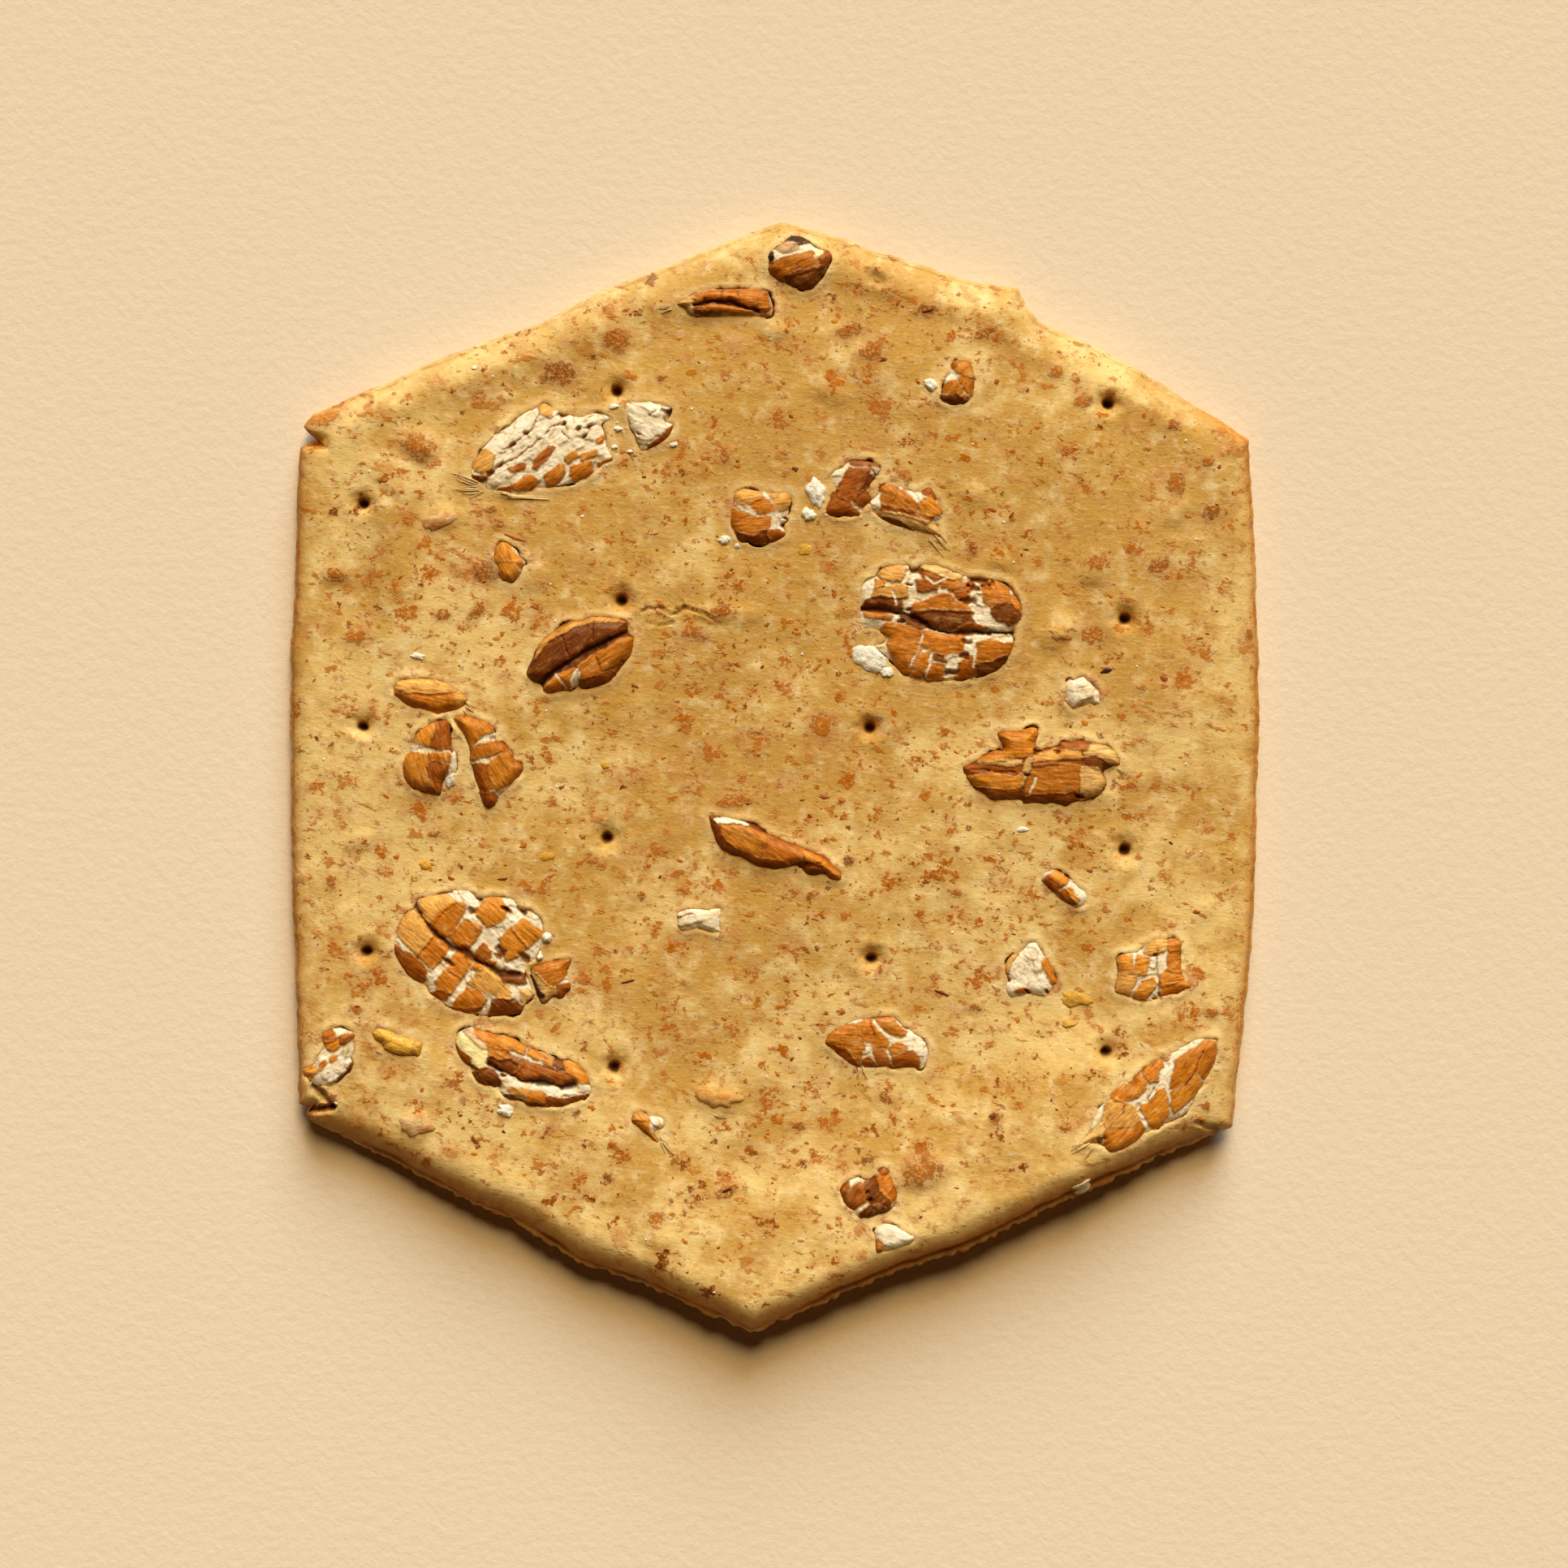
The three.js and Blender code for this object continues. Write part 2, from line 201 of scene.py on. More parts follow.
def addPiece(name, points, tris, material, nodes=(), values=None, tints=None):
    mesh = bpy.data.meshes.new(name)
    mesh.vertices.add(len(points))
    mesh.vertices.foreach_set("co", (np.asarray(points, float) / 1000).ravel())
    mesh.loops.add(len(tris) * 3)
    mesh.loops.foreach_set("vertex_index", np.asarray(tris, np.int32).ravel())
    mesh.polygons.add(len(tris))
    mesh.polygons.foreach_set("loop_start", np.arange(0, len(tris) * 3, 3, dtype=np.int32))
    mesh.polygons.foreach_set("use_smooth", np.ones(len(tris), bool))
    mesh.update(calc_edges=True)
    for key, data in (values or {}).items():
        layer = mesh.attributes.new(key, "FLOAT", "POINT")
        layer.data.foreach_set("value", np.asarray(data, np.float32))
    for key, data in (tints or {}).items():
        layer = mesh.attributes.new(key, "FLOAT_COLOR", "POINT")
        full = np.concatenate([data, np.ones((len(data), 1))], 1)
        layer.data.foreach_set("color", np.asarray(full, np.float32).ravel())
    mesh.materials.append(material)
    piece = bpy.data.objects.new(name, mesh)
    bpy.context.scene.collection.objects.link(piece)
    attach(piece, "root")
    if nodes:
        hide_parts(*nodes)
    return piece


def seen(red, green, blue):
    # a colour given as it is named in a paint chart, 0 to 255, as plain light values
    v = np.array([red, green, blue]) / 255
    return np.where(v <= 0.04045, v / 12.92, ((v + 0.055) / 1.055) ** 2.4)


# Helpers for the materials.
def newMaterial(name):
    material = bpy.data.materials.new(name)
    material.use_nodes = True
    tree = material.node_tree
    tree.nodes.clear()
    shader = tree.nodes.new("ShaderNodeBsdfPrincipled")
    out = tree.nodes.new("ShaderNodeOutputMaterial")
    tree.links.new(shader.outputs["BSDF"], out.inputs["Surface"])
    return material, tree, shader


def newGroup(name, takes, gives):
    group = bpy.data.node_groups.new(name, "ShaderNodeTree")
    for key, (kind, value) in takes.items():
        socket = group.interface.new_socket(name=key, in_out="INPUT", socket_type="NodeSocket" + kind)
        if value is not None:
            socket.default_value = value
    for key, kind in gives.items():
        group.interface.new_socket(name=key, in_out="OUTPUT", socket_type="NodeSocket" + kind)
    return group, group.nodes.new("NodeGroupInput"), group.nodes.new("NodeGroupOutput")


def isSocket(value):
    return isinstance(value, bpy.types.NodeSocket)


def feed(tree, node, feeds):
    # a socket is linked; a plain number or colour is set on the node's own socket
    for key, value in feeds.items():
        if isSocket(value):
            tree.links.new(value, node.inputs[key])
        else:
            node.inputs[key].default_value = value


def put(tree, kind, feeds=None, **settings):
    made = tree.nodes.new("ShaderNode" + kind)
    for key, value in settings.items():
        setattr(made, key, value)
    feed(tree, made, feeds or {})
    return made


def putGroup(tree, group, feeds):
    return put(tree, "Group", feeds, node_tree=group)


def mathNode(tree, operation, a, b, clamp=False):
    return put(tree, "Math", {0: a, 1: b}, operation=operation, use_clamp=clamp).outputs[0]


def plus(tree, a, b, clamp=False):
    return mathNode(tree, "ADD", a, b, clamp)


def times(tree, a, b, clamp=False):
    return mathNode(tree, "MULTIPLY", a, b, clamp)


def blendNode(tree, share, a, b, kind="MIX"):
    # sockets 6 and 7 are the two colours
    first, second = [value if isSocket(value) else (*value, 1) for value in (a, b)]
    feeds = {"Factor": share, 6: first, 7: second}
    return put(tree, "Mix", feeds, data_type="RGBA", blend_type=kind).outputs[2]


def filtered(tree, share, colour, factor):
    # a share of the colour multiplied by a factor per channel
    return blendNode(tree, share, colour, blendNode(tree, 1.0, colour, factor, "MULTIPLY"))


def stepNode(tree, value, a, b):
    feeds = {"Value": value, "From Min": a, "From Max": b}
    return put(tree, "MapRange", feeds, interpolation_type="SMOOTHSTEP").outputs["Result"]


def attributeNode(tree, key):
    return put(tree, "Attribute", attribute_name=key, attribute_type="GEOMETRY")


# Bran specks: cells of a wobbled cell pattern, a share of which carry a speck of uneven size.
speckGroup, into, out = newGroup(
    "Bran specks",
    {"Place": ("Vector", None), "Cells": ("Float", 1.0), "Share": ("Float", 0.3), "Size": ("Float", 0.3),
     "Wobble": ("Float", 0.3), "Fuzz": ("Float", 0.4)},
    {"Mask": "Float", "Tone": "Float", "Halo": "Float"},
)
finer = times(speckGroup, into.outputs["Cells"], 2.3)
feeds = {"Vector": into.outputs["Place"], "Scale": finer, "Detail": 3.0, "Roughness": 0.65}
wobble = put(speckGroup, "TexNoise", feeds).outputs["Color"]
centred = put(speckGroup, "VectorMath", {0: wobble, 1: (0.5, 0.5, 0.5)}, operation="SUBTRACT")
reachNow = mathNode(speckGroup, "DIVIDE", into.outputs["Wobble"], into.outputs["Cells"])
moved = put(speckGroup, "VectorMath", {0: centred.outputs[0], "Scale": reachNow}, operation="SCALE")
place = put(speckGroup, "VectorMath", {0: into.outputs["Place"], 1: moved.outputs[0]}, operation="ADD")
cells = put(speckGroup, "TexVoronoi", {"Vector": place.outputs[0], "Scale": into.outputs["Cells"]})
parts = put(speckGroup, "SeparateColor", {0: cells.outputs["Color"]})
carries = mathNode(speckGroup, "LESS_THAN", parts.outputs[0], into.outputs["Share"])
sizeShare = put(speckGroup, "MapRange", {"Value": parts.outputs[1], "To Min": 0.35, "To Max": 1.0})
radius = times(speckGroup, sizeShare.outputs[0], into.outputs["Size"])
soft = times(speckGroup, radius, mathNode(speckGroup, "SUBTRACT", 1.0, into.outputs["Fuzz"]))
within = stepNode(speckGroup, cells.outputs["Distance"], radius, soft)
speckGroup.links.new(times(speckGroup, within, carries), out.inputs["Mask"])
haloRadius = times(speckGroup, radius, 1.9)
around = stepNode(speckGroup, cells.outputs["Distance"], haloRadius, radius)
speckGroup.links.new(times(speckGroup, around, carries), out.inputs["Halo"])
speckGroup.links.new(parts.outputs[2], out.inputs["Tone"])

# Crumbled bran: noise above a threshold, gathered in loose clouds.
crumbleGroup, into, out = newGroup(
    "Crumbled bran",
    {"Place": ("Vector", None), "Scale": ("Float", 1.0), "Low": ("Float", 0.6), "High": ("Float", 0.66),
     "Turn": ("Float", 0.0)},
    {"Mask": "Float"},
)
feeds = {"Vector": into.outputs["Place"], "Angle": into.outputs["Turn"]}
spun = put(crumbleGroup, "VectorRotate", feeds, rotation_type="Z_AXIS")
drawn = put(crumbleGroup, "VectorMath", {0: spun.outputs[0], 1: (0.75, 1.2, 1.2)}, operation="MULTIPLY")
feeds = {"Vector": drawn.outputs[0], "Scale": into.outputs["Scale"], "Detail": 5.0, "Roughness": 0.62}
chips = put(crumbleGroup, "TexNoise", feeds)
gather = put(crumbleGroup, "TexNoise", {"Vector": into.outputs["Place"], "Scale": 0.33, "Detail": 2.0})
uneven = times(crumbleGroup, mathNode(crumbleGroup, "SUBTRACT", gather.outputs["Fac"], 0.5), 0.1)
field = plus(crumbleGroup, chips.outputs["Fac"], uneven)
crumbs = stepNode(crumbleGroup, field, into.outputs["Low"], into.outputs["High"])
crumbleGroup.links.new(crumbs, out.inputs["Mask"])

# Fibres: drawn-out noise along one direction, for the light strands in the dough and the bran's grain.
fibreGroup, into, out = newGroup(
    "Fibres",
    {"Place": ("Vector", None), "Turn": ("Float", 0.0), "Along": ("Float", 0.5), "Across": ("Float", 4.0)},
    {"Strand": "Float", "Cloud": "Float"},
)
feeds = {"Vector": into.outputs["Place"], "Angle": into.outputs["Turn"]}
spun = put(fibreGroup, "VectorRotate", feeds, rotation_type="Z_AXIS")
feeds = {0: into.outputs["Along"], 1: into.outputs["Across"], 2: into.outputs["Across"]}
stretch = put(fibreGroup, "CombineXYZ", feeds)
drawn = put(fibreGroup, "VectorMath", {0: spun.outputs[0], 1: stretch.outputs[0]}, operation="MULTIPLY")
feeds = {"Vector": drawn.outputs[0], "Scale": 1.0, "Detail": 4.0, "Roughness": 0.6, "Distortion": 0.4}
strand = put(fibreGroup, "TexNoise", feeds)
feeds = {"Vector": into.outputs["Place"], "Scale": into.outputs["Along"], "Detail": 3.0, "Roughness": 0.55}
cloud = put(fibreGroup, "TexNoise", feeds)
fibreGroup.links.new(strand.outputs["Fac"], out.inputs["Strand"])
fibreGroup.links.new(cloud.outputs["Fac"], out.inputs["Cloud"])


def placeInMillimetres(tree):
    feeds = {0: put(tree, "TexCoord").outputs["Object"], "Scale": 1000.0}
    return put(tree, "VectorMath", feeds, operation="SCALE").outputs[0]


def bumped(tree, height):
    # a normal from a height in metres
    return put(tree, "Bump", {"Height": height, "Distance": 1.0, "Strength": 1.0}).outputs["Normal"]


# The dough's form.
dough = {
    "edge": 2.15,  # thickness at the edge
    "body": 2.9,  # thickness further in
    "curlUp": 1.15,  # how far the lower end lifts off the floor
    "rimLift": 0.35,  # how far the whole rim stands up
    "valley": 0.22,  # the long hollow inside the upper left side
    "holeHollow": (0.42, 0.62),  # depth and width of the dip round a pricked hole
    "holeShaft": (0.85, 0.43),  # depth and radius of the hole itself
    "socket": 0.98,  # depth of the kernels' sockets
    "ridge": 0.062,  # height of the dough pushed up round a kernel
    "lattice": 0.3,  # mesh step on the top
    "light": seen(231, 194, 118),
    "deep": seen(202, 153, 71),
    "pale": seen(244, 221, 164),
    "speck": seen(184, 98, 4),
    "speckDark": seen(122, 54, 0),
    "mauve": seen(196, 138, 84),
    # brown of the edges; on the rolled lower edge it also serves as painted shade
    "edgeBrownAndShade": seen(200, 120, 18),
    # painted shade: the dark brown of the pricked holes, furrows, clefts and kernel sockets
    "hollow": seen(96, 48, 6),
    "glint": seen(252, 240, 212),
    "through": (0.94, 0.74, 0.36),  # painted light: the colour of light through the thin dough, multiplied in round the holes and in the clefts
    # broken bran: scale, where it starts and is full, strength and turn
    "crumbled": ((0.55, 0.6, 0.69, 0.45, 0.5), (1.1, 0.6, 0.67, 0.8, 0.3), (2.4, 0.635, 0.685, 0.45, -0.2)),
    # whole specks: cells per millimetre, share of cells used, size, wobble, strength, halo
    "specks": ((0.48, 0.8, 0.37, 1.6, 1.0, 0.3), (0.85, 0.85, 0.37, 1.4, 1.0, 0.24),
               (1.6, 0.4, 0.38, 1.2, 1.0, 0.0), (3.4, 0.13, 0.36, 0.9, 1.0, 0.0)),
    "roughness": 0.5,
    "gloss": (0.16, (1.0, 0.7, 0.25, 1)),  # amount and colour
}
# corners anticlockwise from the top: x, y, then the bow and wave of the side to the next one
corners = [
    (0.4, 34.3, 0.15, 0.22), (-28.6, 22.35, 0.2, 0), (-29.45, 20.8, 0.55, 0.12), (-29.4, -20.4, 0, 0),
    (-28.75, -21.4, 0.42, 0.3), (-1.3, -34.35, 0.08, 0.3), (28.35, -21.8, 1.15, 0.1),
    (29.4, 20.75, 0.45, 0.1), (16.3, 28.1, -0.1, 0), (15.1, 30.2, -0.15, 0), (10.6, 31.1, 0.1, 0.12),
]
# clefts torn in from the edge: mouth, end, width, depth
clefts = [((-30.2, 21.2), (-27.9, 20.5), 1.0, 0.5), ((-30.4, -20.85), (-27.2, -20.45), 0.5, 0.9)]
dockingHoles = [
    (-25.35, 16.75), (-25.35, 3), (-25.1, -10.85), (-9.7, 23.65), (-9.4, 10.75), (-10.3, -3.85),
    (-9.85, -18), (5.9, 2.9), (5.95, -11.3), (20.55, 22.9), (21.6, 9.6), (21.55, -4.6), (20.4, -17),
]


def waver(t, seed):
    return 0.6 * np.sin(t + seed) + 0.4 * np.sin(2.3 * t + 1.7 * seed)


def doughOutline(step):
    points = []
    for i, (x, y, bow, wave) in enumerate(corners):
        start, end = np.array([x, y]), np.array(corners[(i + 1) % len(corners)][:2])
        along = end - start
        size = np.hypot(*along)
        outward = np.array([along[1], -along[0]]) / size
        t = np.linspace(0, 1, max(4, int(size / step)), endpoint=False)
        push = bow * np.sin(np.pi * t) + wave * np.sin(np.pi * t) * waver(9 * t, 2 * i)
        points.append(start + along * t[:, None] + outward * push[:, None])
    shape = resampled(softened(np.vstack(points)), step)
    ahead, behind = np.roll(shape, -3, 0), np.roll(shape, 3, 0)
    tangent = ahead - behind
    normal = np.stack([tangent[:, 1], -tangent[:, 0]], 1) / np.hypot(*tangent.T)[:, None]
    x, y = shape.T
    wavy = smooth(-y, 20, 24)  # the two lower sides are the least even
    ragged = 0.1 * layered(x, y, 1.6, 3) + 0.05 * layered(x, y, 0.5, 8) - 0.04
    ragged = ragged + 0.2 * wavy * layered(x, y, 4.0, 18)
    for (mx, my), (ex, ey), width, _ in clefts:
        near = lineReach(x, y, np.array([(mx, my), (ex, ey)]))
        ragged = ragged - width * smooth(near, width * 0.75, 0) * (np.hypot(x - ex, y - ey) < 4)
    return shape + normal * ragged[:, None]


outline = doughOutline(0.17)
reachTable = np.linspace(-np.pi, np.pi, 2881)
angles = np.arctan2(outline[:, 1], outline[:, 0])
order = np.argsort(angles)
reachOf = np.interp(reachTable, angles[order], np.hypot(*outline.T)[order], period=2 * np.pi)


def shareAndInset(x, y):
    reach = np.interp(np.arctan2(y, x), reachTable, reachOf)
    share = np.hypot(x, y) / reach
    return share, (1 - share) * reach


def liftAt(x, y, share):
    # the lower end curls up, most along its right side and least at the two cut sides
    curl = dough["curlUp"] * (1 + 0.6 * smooth(x, -14, 2)) * (1 - 0.75 * smooth(np.abs(x), 18, 28.5))
    curl = curl * smooth(-y, 3, 20)
    return dough["rimLift"] * smooth(share, 0.76, 1) + curl * smooth(share, 0.55, 1) ** 1.3


def surfaceAt(x, y):
    # the dough's skin before kernels, holes and fine relief, above the floor
    share, inset = shareAndInset(x, y)
    swell = 0.07 * waver(0.31 * x + 0.12 * y, 1) + 0.07 * waver(0.27 * y - 0.14 * x, 4)
    swell = swell * smooth(inset, 0.5, 5)
    valley = dough["valley"] * smooth(0.5 * y - 0.4 * x, 8, 18) * hump(inset - 4.6, 2.2)
    valley = valley * smooth(inset, 0.3, 2)
    cut, north, south = smooth(np.abs(x), 25, 28.5), smooth(y, 17, 23), smooth(-y, 18, 24)
    base = between(dough["edge"], dough["body"], smooth(inset, 0, 8))
    squared = np.interp(inset, [0.3, 0.5, 0.78, 1.15, 1.8], [0.76, 0.86, 0.93, 0.975, 1.0])
    rounded = 1 - 0.5 * (1 - np.clip(inset / (1.75 + 0.7 * north), 0, 1)) ** 2.6
    rolled = 1 - 0.55 * (1 - np.clip((inset - 0.35) / 1.6, 0, 1)) ** 2.2
    shoulder = between(between(rounded, rolled, south), squared, cut)
    roll = 0.08 * south * hump(inset - 2.2, 0.9) * (1 + 0.8 * ripple(x, y, 2.6, 44))
    roll = roll + 0.1 * north * (1 - cut) * hump(inset - 2.1, 0.9) * (1 + 0.5 * ripple(x, y, 3.2, 46))
    return liftAt(x, y, share) + base * shoulder + swell - valley + roll


# where the colour is darker or paler, partly uneven bake, partly painted shade where the surface tilts away
# from the lamps and painted light where it faces them: x, y, radius, amount
bakeAndShadeSpots = [
    (0, 7, 11, -0.7), (0, 23, 9, -0.7), (-15, 17, 8, -0.5), (17, 14, 9, -0.45), (-27.5, 0, 5, 0.8),
    (-2, -26, 9, 0.05), (27, -8, 5, 0.2), (27, 14, 6, 0.3), (13, -20, 8, 0.3), (-26, 22, 6, 0.35),
    (-21, -5, 6, -0.2), (-24, 8, 9, 0.45), (-22, -20, 8, 0.3), (24, 5, 7, 0.25), (0, 33, 3, 0.1),
    (-5, 31, 3.5, -0.8), (20, 26, 4, 0.2), (-15, 29, 3, 0.1), (25, 3, 6, 0.35),
    (-24, 18, 6, -0.4), (3, -7, 6, -0.35), (3, -18, 6, -0.4), (-8, 18, 4, 0.25), (20, 13, 4, -0.3),
]
# soft lumps of covered grain under the skin: x, y, half sizes, turn, height
coveredLumps = [
    (-3.45, -19.85, 1.7, 1.1, -10, 0.28), (17.3, 8.75, 1.5, 1.2, 30, 0.25), (-20.5, 15.75, 1.4, 0.8, 20, 0.2),
    (-21.95, 20.25, 1.3, 0.95, -25, 0.26), (-21.95, -21.5, 1.4, 1.0, 0, 0.25),
    (0.05, 27.35, 1.1, 0.6, 0, 0.2),
    (24.6, 16.2, 1.4, 0.8, 40, 0.16), (19.6, 12.4, 1.2, 0.9, 0, 0.2), (-14.8, 12.1, 1.2, 0.8, 30, 0.16),
    (12.3, 17.2, 1.1, 0.7, -20, 0.12), (-27.0, 12.3, 1.1, 0.6, 0, 0.15), (13.8, 13.2, 1.0, 0.7, 0, 0.16),
    (3.4, 23.6, 1.5, 0.9, -20, 0.14), (9.05, -24.3, 1.9, 1.2, 10, 0.2), (-7.2, -28.3, 1.3, 0.9, -30, 0.14),
    (26.4, -8.4, 1.0, 0.7, 60, 0.15), (-2.6, 9.9, 2.4, 0.8, -2, 0.14), (-25.6, -4.1, 1.1, 0.7, 20, 0.14),
]
# furrows in the skin: width, depth, then the line
furrows = [
    (0.09, 0.16, [-8.2, 10.1, -7.2, 10.35, -6.3, 9.85, -5.4, 10.3, -4.4, 9.95, -3.7, 9.6]),
    (0.08, 0.1, [-8.0, 9.5, -7.1, 9.2, -6.2, 9.35]),
    (0.3, 0.22, [6.0, 30.75, 6.7, 30.45]),
    (0.16, 0.18, [26.0, -21.4, 27.0, -21.75, 28.0, -22.3]),
    (0.2, 0.35, [-28.4, -19.2, -27.6, -19.9, -27.2, -20.5]),
]

